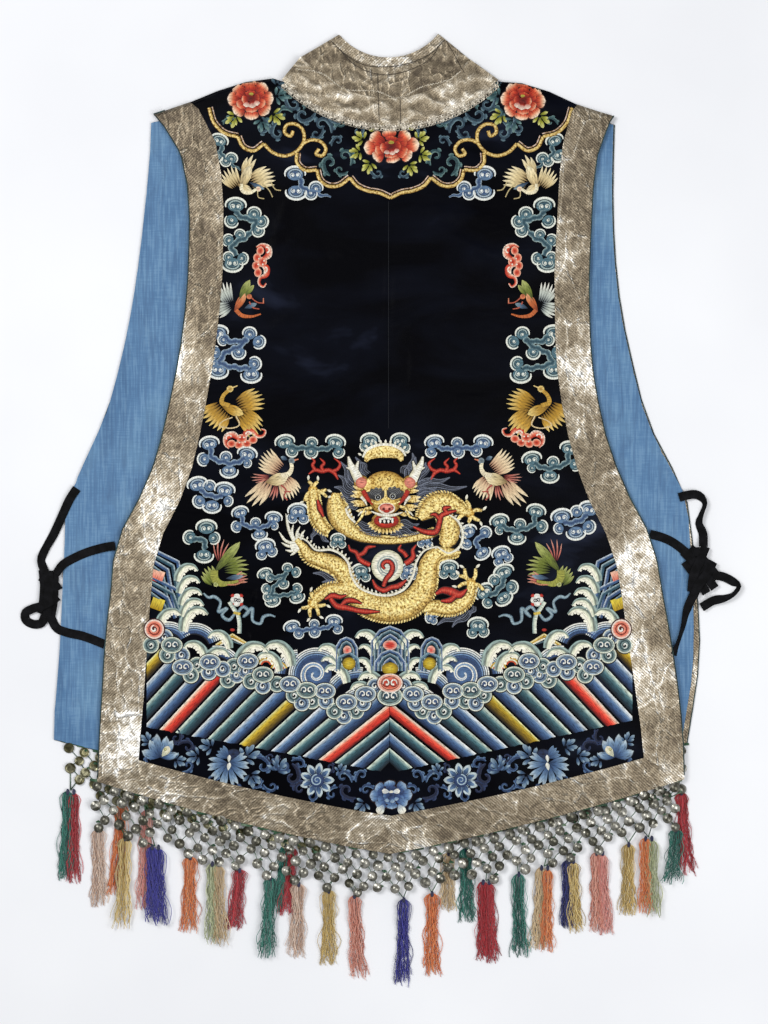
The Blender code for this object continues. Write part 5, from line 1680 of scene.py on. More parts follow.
# %% [markdown]
# Under the clouds stands water: slanting stripes, each graded from a white edge to a deep one, that rise to a
# peak at the centre. They are laid out by a rule. Each stripe starts on the lower black line at its own
# place, rises at one slant, and stops at the line of coils or at the centre.

# %% Standing water
WATER_CENTRE = 389.5
STRIPE_PITCH = 15.9
STRIPE_TINTS = {
    "coral": ("fdf3e2", "f9c9ae", "f0745a", "e64a34", "c83426", "8a2018", "3c100e"),
    "mustard": ("f6f0b4", "e2cd58", "c4a426", "a3861c", "7c6414", "4a3a0e", "241c08"),
    "teal": ("e6eeda", "a4c0b6", "4f828a", "2f6470", "1f4c5a", "143444", "0a1820"),
    "blue": ("f6f7f2", "b4c6d4", "5f88b2", "3a6698", "27507f", "18345c", "0c1830"),
}
STRIPE_ORDER = (
    "blue", "teal", "blue", "teal", "coral", "blue", "teal", "blue", "teal", "mustard",
    "blue", "teal", "blue", "teal", "coral", "blue", "teal", "blue", "mustard", "teal", "blue", "teal",
)
# How steeply the stripes rise, at some distances from the centre in pixels.
STRIPE_SLANT = ((0, 60, 220), (0.95, 0.78, 1.08))
# Lines of points in a stripe, and in pixels the longest stripe and half the water's width.
STRIPE_LINES, LONGEST_STRIPE, WATER_HALF = 7, 140, 243
# The line that the stripes start on, and the line of coils that they stop at, by their pixels.
LOWER_LINE = {"left": ((141, 728), (389.5, 775)), "right": ((389.5, 775), (638, 721))}
COIL_LINE = (
    (145, 640), (165, 655), (190, 668), (225, 676), (250, 676), (290, 692), (335, 708), (352, 706),
    (389.5, 690),
)


def water_stripe(work, side, number, tints):
    """One stripe: for each line of threads across it, the length that shows is found, then it is filled."""
    flip = -1 if side == "left" else 1
    outer, inner = LOWER_LINE[side] if side == "left" else LOWER_LINE[side][::-1]
    fall = (inner[1] - outer[1]) / abs(inner[0] - outer[0])
    lines = []
    for share in np.linspace(0.0, 1.0, STRIPE_LINES):
        away = (number - 0.42 + 0.87 * (1 - share)) * STRIPE_PITCH
        foot = np.array((away, inner[1] - away * fall - 2.0))
        slant = np.interp(away, *STRIPE_SLANT)
        rises = np.arange(0, LONGEST_STRIPE, 0.5)
        line = foot + rises[:, None] * (-1.0, -slant)
        coil = np.interp(WATER_CENTRE - line[:, 0], *np.array(COIL_LINE).T)
        shows = (line[:, 0] >= 0) & (line[:, 0] <= WATER_HALF) & (line[:, 1] > coil - 4)
        if not shows.any():
            return
        start, end = line[shows][[0, -1]]
        lines.append((start + (0, work.draw.normal(0, 0.3)), end + (0, work.draw.normal(0, 0.5))))
    count = max(int(max(abs(end[0] - start[0]) for start, end in lines) * 1.5), 3)
    u = np.linspace(0, 1, count + 1)
    places = np.array([[start + (end - start) * at for start, end in lines] for at in u])
    places[..., 0] = WATER_CENTRE + flip * places[..., 0]
    flat = np.stack(spot(places[..., 0], places[..., 1]), axis=2)
    v = np.linspace(0, 1, STRIPE_LINES)
    shades = shade_table(tints, u, v, along=False) * work.draw.normal(1, 0.1, (1, STRIPE_LINES, 1))
    shades = shades * work.draw.normal(1, 0.03, (count + 1, STRIPE_LINES, 1))
    heights = np.repeat((0.2 + 0.5 * np.sqrt(np.clip(1 - (2 * v - 1) ** 2, 0, 1)))[None], count + 1, axis=0)
    heading = math.atan(np.interp(number * STRIPE_PITCH, *STRIPE_SLANT))
    lie = turned(flat.reshape(-1, 2), math.degrees(heading) * flip).reshape(flat.shape)
    work.patch(flat, heights, shades, lie)


water = Needlework(22)
for side in ("left", "right"):
    for number, tint in enumerate(STRIPE_ORDER):
        water_stripe(water, side, number, STRIPE_TINTS[tint])

# %% [markdown]
# Coils of foam lie in two or three rows along the top of the stripes: rings of white, grey and blue round a
# white comma, some of them in pairs.

# %% Coils
# Floss of a coil from its rim inwards: blue, teal and red, each with the dark of its line last.
COIL_FAMILIES = (
    ("eceedd", "9db2c0", "5f80a2", "3b5a86", "0c1424"),
    ("e8ebd6", "9cb0a8", "5d8184", "34576a", "0a1820"),
    ("fbe9dc", "f2b7a0", "e2745a", "cf4f38", "4a120c"),
)


def coil(work, x, y, radius, facing=90.0, family=0, level=0.9):
    """A thin pale rim, a band that darkens inwards, a dark line, a ring, and a white comma in the middle."""
    white, pale, mid, deep, line = COIL_FAMILIES[family]
    work.dot(x, y, radius * 1.13, (line,), level - 0.2, 0.1, around=20, rings=1)
    work.dot(x, y, radius, (white, pale, mid, mid, deep, line, line), level, 0.35, around=20, rings=7)
    work.ribbon(arc(x, y, radius * 0.95, 0, 360), radius * 0.11, white, level + 0.2, 0.3, across=2)
    work.ribbon(arc(x, y, radius * 0.56, 0, 360), radius * 0.08, line, level + 0.42, 0.1, across=2)
    ring = curl(x, y, radius * 0.44, radius * 0.36, facing, 1.0)
    work.ribbon(ring, radius * 0.17, (pale, mid), level + 0.42, 0.3, across=2)
    comma = curl(x, y, radius * 0.4, radius * 0.03, facing, 0.85, step=0.9)
    work.ribbon(comma, radius * np.array((0.08, 0.1, 0.17, 0.2)), "f7f6ea", level + 0.6, 0.25, across=2)


# White comma of the right one of a pair, from tail to head, in shares of the radius about the pair's middle.
COMMA = ((0.74, -0.1), (0.62, 0.26), (0.34, 0.36), (0.14, 0.14), (0.22, -0.14), (0.44, -0.12))


def coil_pair(work, x, y, radius, family=0, level=1.5):
    """Two coils in one oval rim: a band that darkens inwards, and two white commas back to back."""
    white, pale, mid, deep, line = COIL_FAMILIES[family]
    oval = np.array((1.26, 0.94))
    work.dot(x, y, radius * oval[0] * 1.13, (line,), level - 0.2, 0.1, squash=0.77, around=24, rings=1)
    work.dot(x, y, radius * oval[0], (pale, pale, mid, mid, deep, line), level, 0.3, squash=0.75, around=24,
             rings=6)
    work.ribbon(arc(0, 0, radius, 0, 360) * oval + (x, y), radius * 0.11, white, level + 0.2, 0.3, across=2)
    work.ribbon(arc(0, 0, radius * 0.72, 0, 360) * oval + (x, y), radius * 0.06, line, level + 0.35, 0.1,
                across=2)
    for side in (-1, 1):
        work.dot(x + side * radius * 0.4, y, radius * 0.42, (line, deep, deep), level + 0.35, 0.1,
                 around=12, rings=2)
        comma = np.array(COMMA) * (side * radius, radius) + (x, y)
        work.ribbon(eased(comma, 0.9), radius * np.array((0.05, 0.1, 0.13, 0.15, 0.2)), "f7f6ea",
                    level + 0.6, 0.25, 2)


# %% [markdown]
# Above the coils curl the waves: arches of fine white and blue lines, and breaking crests with white claws.

# %% Arches and crests
ARCH_BANDS = (
    (0.0, 1.5, "f2f1e6"), (2.4, 1.5, "e8eee9"), (4.8, 1.6, "b9ccda"), (7.4, 1.7, "6e96c2"),
    (10.2, 3.2, "2f5688"),
)


def arch(work, x, y, radius, start, end, level=0.5):
    """A swelling wave: nested bands from white at the crest to deep blue inside."""
    work.ribbon(arc(x, y, radius - 6, start, end), 15, "0c1426", level - 0.15, 0.1, across=2)
    for inward, width, tint in ARCH_BANDS:
        if radius - inward > 3:
            work.ribbon(arc(x, y, radius - inward, start, end), width, tint, level, 0.3, across=2)


CREST_TINTS = ("86a8a2", "b4ccc0", "16303a", "dfe6cd", "f6f2da", "fbf7e4", "fcf8e8")


def crest(work, length=24.0, level=0.8):
    """A breaking crest that curls to the right: a pale back line, a cream body, and round claws inside it."""
    spine = np.array(((-0.04, -0.36), (0.08, 0.05), (0.4, 0.38), (0.78, 0.38), (1.0, 0.16)))
    path = eased(spine * length, 1.2)
    width = length * np.array((0.36, 0.44, 0.42, 0.36, 0.28, 0.2, 0.1))
    work.ribbon(path, width, CREST_TINTS, level, 0.5, across=8, grain="along", vary=0.03)
    for share in (0.34, 0.48, 0.61, 0.74, 0.86, 0.97):
        k = int(share * (len(path) - 2))
        ahead = path[k + 1] - path[k]
        ahead /= np.linalg.norm(ahead)
        inward = length * np.interp(share, (0.3, 0.6, 1.0), (0.23, 0.2, 0.08))
        inside = path[k] + np.array((ahead[1], -ahead[0])) * inward
        work.dot(*inside, length * 0.062, ("fbf7e4",), level + 0.15, 0.4, around=8, rings=1)


# %% [markdown]
# Coils, waves and crests were measured on the left half, and the right half mirrors them.

# %% Places of the coils and waves
# Coils at their pixels: a pair or a single one, and whether it is blue or teal.
COILS = (
    (165, 637, "single", True), (151, 645, "single", False), (182, 655, "single", True),
    (167.5, 655, "single", False), (172, 645, "pair", False), (191, 675, "single", False),
    (197, 665, "single", False), (183, 667, "pair", True), (209, 672, "single", True),
    (228, 680, "single", False), (234, 666, "single", False), (223, 669, "single", True),
    (210, 662, "pair", True), (237, 675, "single", True), (251, 681, "single", False),
    (246, 671, "single", True), (248, 661, "pair", True), (263, 686, "single", True),
    (277, 684, "single", False), (263, 674.5, "pair", False), (294, 695, "single", False),
    (302, 703, "single", True), (312, 701, "single", False), (290, 684, "pair", True),
    (307, 690, "pair", False), (326, 701, "single", True), (334.5, 711, "single", False),
    (344, 716, "single", True), (356, 711, "single", False), (325, 691, "pair", True),
    (363, 703, "single", True), (346.5, 702, "pair", True), (375, 686, "single", True),
    (365.5, 694, "pair", True),
)
# Swelling waves: the middle at its pixel, the radius in mm and the bearings of its ends.
ARCHES = (
    (168, 647, 30, 168, 30), (194, 650, 32, 128, 22), (217, 672, 31, 100, 28), (300, 675, 30, 176, 96),
    (359, 706, 46, 150, 84), (364, 714, 33, 150, 92),
)
# Crests: the foot at its pixel, the length in mm, the turn in degrees, and whether it curls to the left.
CRESTS = (
    (178, 574, 24, 0, False), (180, 586, 24, 0, False), (182, 598, 24, 0, False), (183, 609, 25, 0, False),
    (183, 622, 31, 8, False), (159, 622, 28, 8, False), (229, 641, 25, 0, True), (205, 652, 26, 0, True),
    (291, 656, 33, 4, True), (239, 657, 35, 0, False), (279, 663, 27, 0, True), (206, 658, 28, -6, False),
    (338, 654, 24, 0, True), (337, 664, 19, 0, True), (346, 675, 26, 0, True), (377, 641, 26, 0, True),
    (372, 651, 16, 0, True), (371, 667, 20, 6, True), (381, 682, 27, -4, True), (370, 690, 23, -8, True),
)
# How wide the right half is, as a share of the left one.
RIGHT_SHARE = 0.985


def mirrored(px):
    """The pixel across the centre line; the right half is a little narrower."""
    return WATER_CENTRE + (WATER_CENTRE - px) * RIGHT_SHARE


def both_sides(px, py):
    """A place on each side of the centre, with whether it is mirrored."""
    return ((*spot(px, py), False), (*spot(mirrored(px), py), True))


# %% [markdown]
# Rocks stand out of the water at the centre and to both sides of it: nested outlines, blue and teal in turn,
# round a coloured heart. Broad bands rise like steps at the outer edges.

# %% Rocks
def rock(work, width, height, bands, level=1.0, peak=0.28):
    """A standing rock: nested outlines with a peaked top, from its outer edge inwards."""
    pitch = 4.4
    ground = straight([(0, -3), (0, -width * peak - 4), (0, -height)])
    work.ribbon(ground, width * np.array((0.2, 0.8, 0.9, 0.9)), "0b1220", level - 0.5, 0.1, across=2)
    for k, (edge, middle) in enumerate(bands):
        half, top = width / 2 - (k + 0.5) * pitch, -(k + 0.5) * pitch * 1.1
        shoulder = top - width * peak * (1 - 0.12 * k)
        side = [(-half, -height), (-half * 0.96, shoulder - 3), (-half * 0.55, top - width * peak * 0.35),
                (0, top)]
        path = straight(side + [(-x, y) for x, y in side[-2::-1]])
        work.ribbon(path, pitch * 0.78, (edge, middle, middle), level, 0.35, across=3)


ROCK_BLUE = (("d4e0e6", "2f5f92"), ("b4ccd0", "24586c"), ("d0dde4", "2f5a8c"), ("a4c0c6", "1e4e62"))
# The steps at the edges: the pixel height of each one's top, and the tints of its block.
STEPS = ((556, ("f6c9ae", "e2543c")), (584, ("e6d24e", "b7951c")))
STEP_X = (145, 178, 187)
BLOCK_X = 158.5
# Single things by their pixels; all but those of the middle have a twin across it.
WHIRL = (315, 674)
EDGE_COIL = (154.5, 629)
SIDE_ROCK = (346.5, 636)
MIDDLE_ROCKS = ((390, 625), (390, 648.5))
MIDDLE_COILS = (((390, 696), 1, 1.9), ((390, 683), 2, 2.3))
GABLE = (232.5, 634)
BOWS = ((266, 661), (279, 665))

# %% [markdown]
# The water is laid from the back to the front: waves, whirls and steps, then crests, coils and rocks over
# them, and last the small gables and bows of gold and red.

# %% Laying the water
for px, py, radius, start, end in ARCHES:
    for x, y, flip in both_sides(px, py):
        water.move(x, y, mirror=flip)
        arch(water, 0, 0, radius, start, end)
for x, y, flip in both_sides(*WHIRL):
    water.move(x, y, mirror=flip)
    arch(water, 2, -2, 33, 200, 18, level=0.6)
    water.dot(0, 0, 20, ("27446f", "41699c", "5580ae"), 0.7, 0.2)
    for outer, width, tint in ((19, 1.5, "f2f1e6"), (16.4, 1.7, "86abd0"), (13.8, 1.5, "f2f1e6")):
        water.ribbon(curl(0, 0, outer, 1.6, 250, -1.35), width, tint, 1.0, 0.3, across=2)
for tier, (top, blocks) in enumerate(STEPS):
    for k, (edge, middle) in enumerate(ROCK_BLUE):
        for flip in (False, True):
            pixels = (
                (STEP_X[0], top - 10 + 5 * k),
                (STEP_X[1] - 5.2 * k, top + 6 + 4 * k),
                (STEP_X[2] - 5.8 * k, top + 58 - 24 * tier),
            )
            path = straight([(x if not flip else mirrored(x), y) for x, y in pixels], 2.0)
            path = np.array([spot(*pixel) for pixel in path])
            water.move()
            tints = (middle, middle, edge) if flip else (edge, middle, middle)
            water.ribbon(path, 4.4, tints, 0.4 + 0.2 * tier)
    for x, y, flip in both_sides(BLOCK_X, top + 22):
        water.move(x, y, mirror=flip)
        water.ribbon(straight([(-8, 5), (6, 0)]), 14, blocks, 0.6 + 0.2 * tier, 0.4, across=6)
for px, py, length, turn, left in CRESTS:
    for x, y, flip in both_sides(px, py):
        water.move(x, y, 1.0, -turn if flip != left else turn, mirror=flip != left)
        crest(water, length)
for px, py, kind, blue in COILS:
    for x, y, _ in both_sides(px, py):
        water.move()
        if kind == "pair":
            coil_pair(water, x, y, 9.8, 0 if blue else 1, 1.7 + 0.12 * (px % 3))
        else:
            coil(water, x, y, 9.7, 90 if blue else 250, 0 if blue else 1, 0.8 + 0.3 * (int(px) % 4) / 1.5)
for x, y, _ in both_sides(*EDGE_COIL):
    coil(water, x, y, 11.5, 90, 2, level=2.2)
for x, y, flip in both_sides(*SIDE_ROCK):
    water.move(x, y, mirror=flip)
    rock(water, 29, 42, ROCK_BLUE[:2])
    water.dot(1, -17, 5, ("f3c2ae", "d8473c"), 1.3, 0.7, squash=1.1)
    water.dot(3, -33, 8, ("8a7416", "cdb02c", "e2cd5a"), 1.3, 0.8, squash=0.95)
    water.ribbon(straight([(-10, -40), (-9, -26), (3, -20), (13, -27), (15, -40)]), 3.4,
                 ("8fb4c4", "2c6076"), 1.5)
water.move(*spot(*MIDDLE_ROCKS[0]))
rock(water, 49, 54, ROCK_BLUE)
water.dot(0, -24, 8.5, ("f4c7b4", "dd4e3c", "c43a2c"), 1.4, 0.7, squash=0.7)
water.move(*spot(*MIDDLE_ROCKS[1]))
rock(water, 40, 27, ROCK_BLUE[:3], level=1.5)
water.dot(0, -24, 10, ("8a7416", "c9ac28", "decb55"), 1.9, 0.8, squash=0.75)
water.move()
for place, family, level in MIDDLE_COILS:
    coil_pair(water, *spot(*place), 11.5, family, level)
for x, y, flip in both_sides(*GABLE):
    water.move(x, y, mirror=flip)
    for drop, tint in ((0, "e8d9a0"), (2.6, "c9a53a"), (5.4, "f2ecd6"), (8.6, "54707c")):
        water.ribbon(straight([(-20 + drop, -13), (0, -drop), (19 - drop, -12)]), 1.9, tint, 0.6, 0.3,
                     across=2)
    water.dot(0, 5, 3, ("a32a20", "d04a38"), 0.6, 0.3, squash=0.6)
for px, py in BOWS:
    for x, y, flip in both_sides(px, py):
        water.move(x, y, mirror=flip)
        for radius, tint in ((9.5, "d9b23a"), (7.6, "e9e2c4"), (5.7, "cf5a34")):
            water.ribbon(arc(0, -6, radius, 165, 15), 1.7, tint, 0.85, 0.3, across=2)
stitched(water, "stitched_water", FLOSS_STITCH)

# %% [markdown]
# A peony is three rings of petals, the outer ones first, each graded from a deep base to a pale tip. A leaf
# is three pairs of petals, and a scroll is a tail that winds up into a curl, with lobes along its back.

# %% Flowers and leaves
PEONY_TINTS = ("5c100a", "8f2015", "b83a24", "dc6e4a", "f6c8a4", "fdeedb")
OLIVE = ("56611c", "a4a43c", "dcdb92")
TEAL_LEAF = ("1c4048", "38686c", "7ea29c")
SLATE_LEAF = ("1c384a", "3a5f72", "7698a2")
BLUE_PETAL = ("1a3358", "38618f", "7398ba", "c0d0d2")


def peony(work, wide, high, tints=PEONY_TINTS, heart="b3a848", level=0.5):
    """A full flower, its reach in mm from its middle: three rings of round petals with dark edges."""
    for ring, (reach, count, offset) in enumerate(((1.0, 8, 0.1), (0.68, 6, 0.5), (0.4, 4, 0.1))):
        for k in range(count):
            bearing = 2 * math.pi * (k + offset) / count
            tip = np.array((math.cos(bearing) * wide, math.sin(bearing) * high)) * reach
            base = tip * (0.4 - 0.1 * ring)
            facing = math.degrees(math.atan2(*(tip - base)[::-1])) + work.draw.uniform(-8, 8)
            length = np.linalg.norm(tip - base) * work.draw.uniform(0.94, 1.14)
            width = 2 * math.pi * reach * (wide + high) / 2 / count * 0.84
            shift = min(ring, 1) + (ring > 0 and tip[1] > 0)
            work.petal(*base, length + 1.0, width + 2.6, facing, "2a0b10", level + 0.3 * ring, 0.2, 1.0)
            work.petal(*base, length, width, facing, tints[: len(tints) - shift], level + 0.2 + 0.3 * ring,
                       0.5, 1.0)
    work.dot(0, high * 0.02, wide * 0.2, (tints[1], tints[0]), level + 1.1, 0.3, squash=0.7)
    for x, y, facing in ((-4.5, -3.5, 80), (1.5, -4.5, 95), (5.5, -2, 110)):
        work.petal(x, y, -high * 0.28, high * 0.34, facing, (tints[2], tints[-1]), level + 1.3, 0.4, 1.0)
    work.dot(0, high * 0.24, wide * 0.12, (heart,), level + 1.2, 0.3, squash=0.7, around=8, rings=1)


def lobed_leaf(work, x, y, facing, tints, size=13.0, level=0.35):
    """A leaf of three lobes, dark at the stalk and pale at the edge, each of two petals beside its vein."""
    for angle, share in ((-62, 0.72), (62, 0.72), (0, 1.0)):
        for side in (-1, 1):
            step = turned([(size * 0.04, side * size * 0.12)], facing + angle, x, y)[0]
            lean = facing + angle + side * 12
            work.petal(*step, size * share, size * 0.3 * share + 1, lean, tints, level, 0.45, 0.9)


def scroll(work, x, y, size, facing, tints=TEAL_LEAF, mirror=False, level=0.3):
    """A curling leaf: a broad tail that winds up into a curl, with round lobes along its back."""
    flip = -1 if mirror else 1
    path = curl(0, 0, size, size * 0.2, 0, -0.82 * flip, 1.0)
    root = eased([(size * 0.6, flip * size * 1.7), (size * 1.05, flip * size * 0.8), path[0]], 1.2)
    path = np.concatenate([root, path[1:]])
    dark, mid, light = tints
    for share, lean in ((0.1, 50), (0.34, 15), (0.58, 0)):
        k = int(share * (len(path) - 2))
        ahead = path[k + 1] - path[k]
        facing_out = math.degrees(math.atan2(ahead[1], ahead[0])) + flip * (90 - lean)
        at = turned([path[k]], facing, x, y)[0]
        work.petal(*at, size * 0.66, size * 0.8, facing_out + facing, (dark, mid, light), level - 0.1, 0.35,
                   1.0)
    width = size * np.array((0.2, 0.55, 0.62, 0.58, 0.5, 0.42, 0.36, 0.44))
    work.ribbon(turned(path, facing, x, y), width, (light, mid, dark, mid), level, 0.35, across=4)


# %% [markdown]
# The collar's embroidery hangs round the neck like a cloud: a scalloped line of couched gold with two curls
# on each side, and inside it three peonies with leaves among scrolls. The left half was measured, and the
# right half mirrors it.

# %% Embroidery of the collar
# A pixel's x and that of its twin across the collar add up to this.
COLLAR_TWINS = 781
# Scalloped gold line, by its pixels from point to point, and the two of its stretches that curl.
GOLD_LINE = (
    ((209, 108), (214, 123), (224, 133), (238, 137)),
    ((238, 137), (243, 147), (253, 151), (264, 144)),
    ((264, 144), (272, 152), (285, 156), (297, 151), (304, 140), (302, 129), (294, 124), (286, 126),
     (285, 133), (291, 136), (293, 131)),
    ((302, 144), (311, 140), (321, 142), (326, 149), (322, 156), (316, 154), (319, 149)),
    ((297, 153), (297, 163), (304, 170), (317, 170)),
    ((317, 170), (320, 180), (328, 186), (338, 186), (350, 178)),
    ((350, 178), (357, 186), (368, 191), (379, 193), (390.5, 198)),
)
CURLING = (2, 3)
# Scrolls: the pixel of the curl, its size in mm, the way it faces, mirror and silk.
SCROLLS = (
    (262, 128, 7, 20, False, SLATE_LEAF), (278, 133, 7.5, 160, True, SLATE_LEAF),
    (287, 93, 6.5, 60, False, TEAL_LEAF), (294, 104, 7.5, 200, True, SLATE_LEAF),
    (303, 115, 8.5, 300, False, SLATE_LEAF), (313, 108, 6.5, 120, False, TEAL_LEAF),
    (322, 125, 8.5, 30, True, SLATE_LEAF), (334, 115, 7.5, 250, False, SLATE_LEAF),
    (316, 134, 6, 330, False, SLATE_LEAF), (342, 123, 7.5, 90, True, TEAL_LEAF),
    (330, 163, 8.5, 200, False, TEAL_LEAF), (345, 156, 7.5, 10, True, TEAL_LEAF),
    (340, 170, 5.5, 280, False, TEAL_LEAF), (358, 131, 7, 60, False, SLATE_LEAF),
    (378, 173, 5.5, 220, True, SLATE_LEAF), (338, 141, 5.5, 150, False, SLATE_LEAF),
    (283, 114, 6.5, 80, True, TEAL_LEAF), (231, 122, 5.5, 130, False, TEAL_LEAF),
    (349, 108, 5.5, 200, True, SLATE_LEAF), (300, 93, 5, 330, True, SLATE_LEAF),
)
# Leaves round a side peony and round the middle one: x, y and the way they face, in mm about the flower.
SIDE_LEAVES = (
    (-20, -22, 235, OLIVE), (26, -20, 320, OLIVE), (30, 2, 10, TEAL_LEAF), (12, -27, 285, TEAL_LEAF),
    (30, 16, 45, SLATE_LEAF),
)
MIDDLE_LEAVES = (
    (-34, 9, 150), (-38, -6, 195), (-25, -20, 240), (22, -22, 300), (36, -9, 345), (33, 9, 30),
    (-17, 22, 110), (18, 23, 70),
)
LEAFY = ((252, 98, False), (523, 98, True))
LEAFY_MIDDLE = (391, 147)
# Peonies at their pixels, how wide and how high they are in mm, and mirror.
PEONIES = ((251, 99, 27, 24, False), (391, 147, 32, 20, False), (523, 101, 26, 24, True))
collar_work = Needlework(23)
gold = Needlework(24)
for number, pixels in enumerate(GOLD_LINE):
    for flip in (False, True):
        line = eased(spots(*[(COLLAR_TWINS - px if flip else px, py) for px, py in pixels]), 1.6)
        # Dark at its edges and pale in the middle: painted shade and highlight across the gold line.
        gold.ribbon(line, 4.2, ("8a6f38", "d6bd78", "ecdca2", "b8954e"), 0.5, 0.6, across=4, vary=0.06)
        if number not in CURLING:
            ahead = np.gradient(line, axis=0)
            ahead /= np.linalg.norm(ahead, axis=1, keepdims=True)
            inside = line + np.stack([-ahead[:, 1], ahead[:, 0]], axis=1) * (-4.0 if flip else 4.0)
            gold.ribbon(inside, 1.3, "cdb9ac", 0.4, 0.3, across=2)
for px, py, size, facing, flip, tints in SCROLLS:
    for x, y, other in ((*spot(px, py), False), (*spot(COLLAR_TWINS - px, py), True)):
        collar_work.move(x, y, mirror=other)
        scroll(collar_work, 0, 0, size, facing, tints, mirror=flip)
for x, y, facing, tints in SIDE_LEAVES:
    for px, py, flip in LEAFY:
        collar_work.move(*spot(px, py), mirror=flip)
        lobed_leaf(collar_work, x, y, facing, tints, 14)
for x, y, facing in MIDDLE_LEAVES:
    collar_work.move(*spot(*LEAFY_MIDDLE))
    lobed_leaf(collar_work, x, y, facing, OLIVE, 12.5)
for px, py, wide, high, flip in PEONIES:
    collar_work.move(*spot(px, py), mirror=flip)
    peony(collar_work, wide, high)
stitched(collar_work, "stitched_peonies", FLOSS_STITCH)

# %% [markdown]
# The narrow border below the stripes is worked in blues alone: a lotus in each corner, then a chrysanthemum,
# a flower with a coiled heart, and a peony at the point, with leaves and scrolls between them.

# %% Blue border
SOFT_BLUE = ("1b3055", "315a8c", "6a92b8")
DIM_BLUE = ("0e1630", "1c2e58", "2f4a78")
LEAF_BLUE = ("142848", "40698f", "9db8c6")


def lotus(work, tints=BLUE_PETAL):
    """A lotus from the side: outer petals lying open, inner ones upright, and a cream heart."""
    for facing, length, width in ((168, 23, 11), (20, 22, 9), (128, 24, 10), (62, 25, 10), (105, 28, 10),
                                  (82, 26, 10)):
        bend = 0.12 if facing > 90 else -0.12
        work.petal(0, -6, length + 1, width + 1.6, facing, DARK_LINE, 0.35, 0.3, 0.5, bend=bend)
        work.petal(0, -6, length, width, facing, tints, 0.5, 0.5, 0.5, bend=bend)
    work.petal(2, -5, 15, 9, 62, ("c8ccb0", "f2ead0"), 0.9, 0.5, 0.8)
    work.dot(5, 4, 2.2, ("8a8f60", "e8dfa8"), 1.3, 0.3)


def chrysanthemum(work, tints=BLUE_PETAL):
    """A chrysanthemum: narrow petals, the lower ones longer, round a dark heart."""
    for k in range(15):
        facing = 160 + 226 * k / 14
        length = 23 - 3 * math.sin(math.radians(facing))
        work.petal(0, 0, length, 5.4, facing, tints, 0.4 + 0.02 * (k % 3), 0.5, 0.7,
                   bend=0.1 * (1 if k % 2 else -1))
    for k in range(4):
        work.petal(3, 5, 16, 4.6, 110 + 16 * k, tints[:3], 0.5, 0.4, 0.7)
    work.dot(7, 9, 8, ("0e1630", "22406e", "0e1630"), 0.5, 0.4, squash=0.75, around=16, rings=3)
    work.petal(-1, -8, 9, 4.4, 70, ("dfe4dc", "f5f2e4"), 0.9, 0.4, 0.8)
    work.petal(1, 1, 8, 4, 75, ("dfe4dc", "f5f2e4"), 0.9, 0.4, 0.8)


def coiled_flower(work, tints=BLUE_PETAL):
    """Nine pointed petals with pale edges round a coiled heart."""
    for k in range(9):
        at = turned([(6, 0)], 40 * k)[0]
        work.petal(*at, 15, 9, 40 * k, (tints[2], tints[3], tints[3]), 0.4, 0.4, 0.4)
        work.petal(*at, 12, 6, 40 * k, tints[:3], 0.6, 0.4, 0.4)
    work.dot(0, 0, 8.6, ("1b3566", "3b679f"), 0.9, 0.3)
    work.ribbon(curl(0, 0, 7, 1, 90, 1.6, 1.2), 1.7, "a9c4d2", 1.1, 0.3, across=2)


# %% [markdown]
# The border's flowers, leaves and scrolls were measured on the left half and are mirrored across the centre,
# and the peony at the point stands alone.

# %% Laying the border
BORDER_PEONY = (391, 795)
# Flowers at their pixels, with a size and a turn.
BORDER_FLOWERS = (
    (161, 752, lotus, 1.0, -8), (228, 763, chrysanthemum, 1.08, 8), (317, 780, coiled_flower, 1.0, 0),
)
# Scrolls as on the collar, and leaves by pixel, the way they face and size.
BORDER_SCROLLS = (
    (263, 766, 8, 60, False, SOFT_BLUE), (284, 765, 8, 200, True, SOFT_BLUE),
    (292, 777, 9, 20, False, DIM_BLUE), (343, 777, 7, 40, True, BLUE_PETAL[:3]),
    (347, 790, 8, 250, False, DIM_BLUE), (362, 775, 6, 160, False, BLUE_PETAL[:3]),
    (300, 789, 7, 70, True, DIM_BLUE), (188, 747, 7, 100, False, DIM_BLUE),
    (188, 765, 6, 300, True, SOFT_BLUE), (212, 778, 6, 0, False, SOFT_BLUE),
    (238, 786, 6, 180, True, SOFT_BLUE), (300, 764, 6, 90, False, SOFT_BLUE),
    (330, 767, 5, 300, True, DIM_BLUE), (150, 758, 5, 200, False, SOFT_BLUE),
    (271, 757, 6, 300, False, DIM_BLUE), (312, 796, 6, 20, False, SOFT_BLUE),
    (332, 794, 6, 120, True, SOFT_BLUE), (176, 738, 6, 10, False, DIM_BLUE),
    (272, 786, 6, 240, True, SOFT_BLUE), (256, 784, 5, 340, False, SOFT_BLUE),
    (366, 790, 6, 70, True, SOFT_BLUE),
)
BORDER_LEAVES = (
    (211, 747, 160, 14), (198, 756, 185, 14), (246, 757, 40, 17), (251, 775, 300, 15), (277, 770, 70, 17),
    (149, 742, 120, 12), (176, 760, 350, 12), (364, 803, 230, 13), (340, 771, 60, 10),
)
border_work = Needlework(25)
for px, py, size, facing, flip, tints in BORDER_SCROLLS:
    for x, y, other in both_sides(px, py):
        border_work.move(x, y, mirror=other)
        scroll(border_work, 0, 0, size, facing, tints, mirror=flip)
for px, py, facing, size in BORDER_LEAVES:
    for x, y, flip in both_sides(px, py):
        border_work.move(x, y, mirror=flip)
        lobed_leaf(border_work, 0, 0, facing, LEAF_BLUE, size)
for px, py, flower, size, turn in BORDER_FLOWERS:
    for x, y, flip in both_sides(px, py):
        border_work.move(x, y, size, -turn if flip else turn, mirror=flip)
        flower(border_work)
border_work.move(*spot(*BORDER_PEONY))
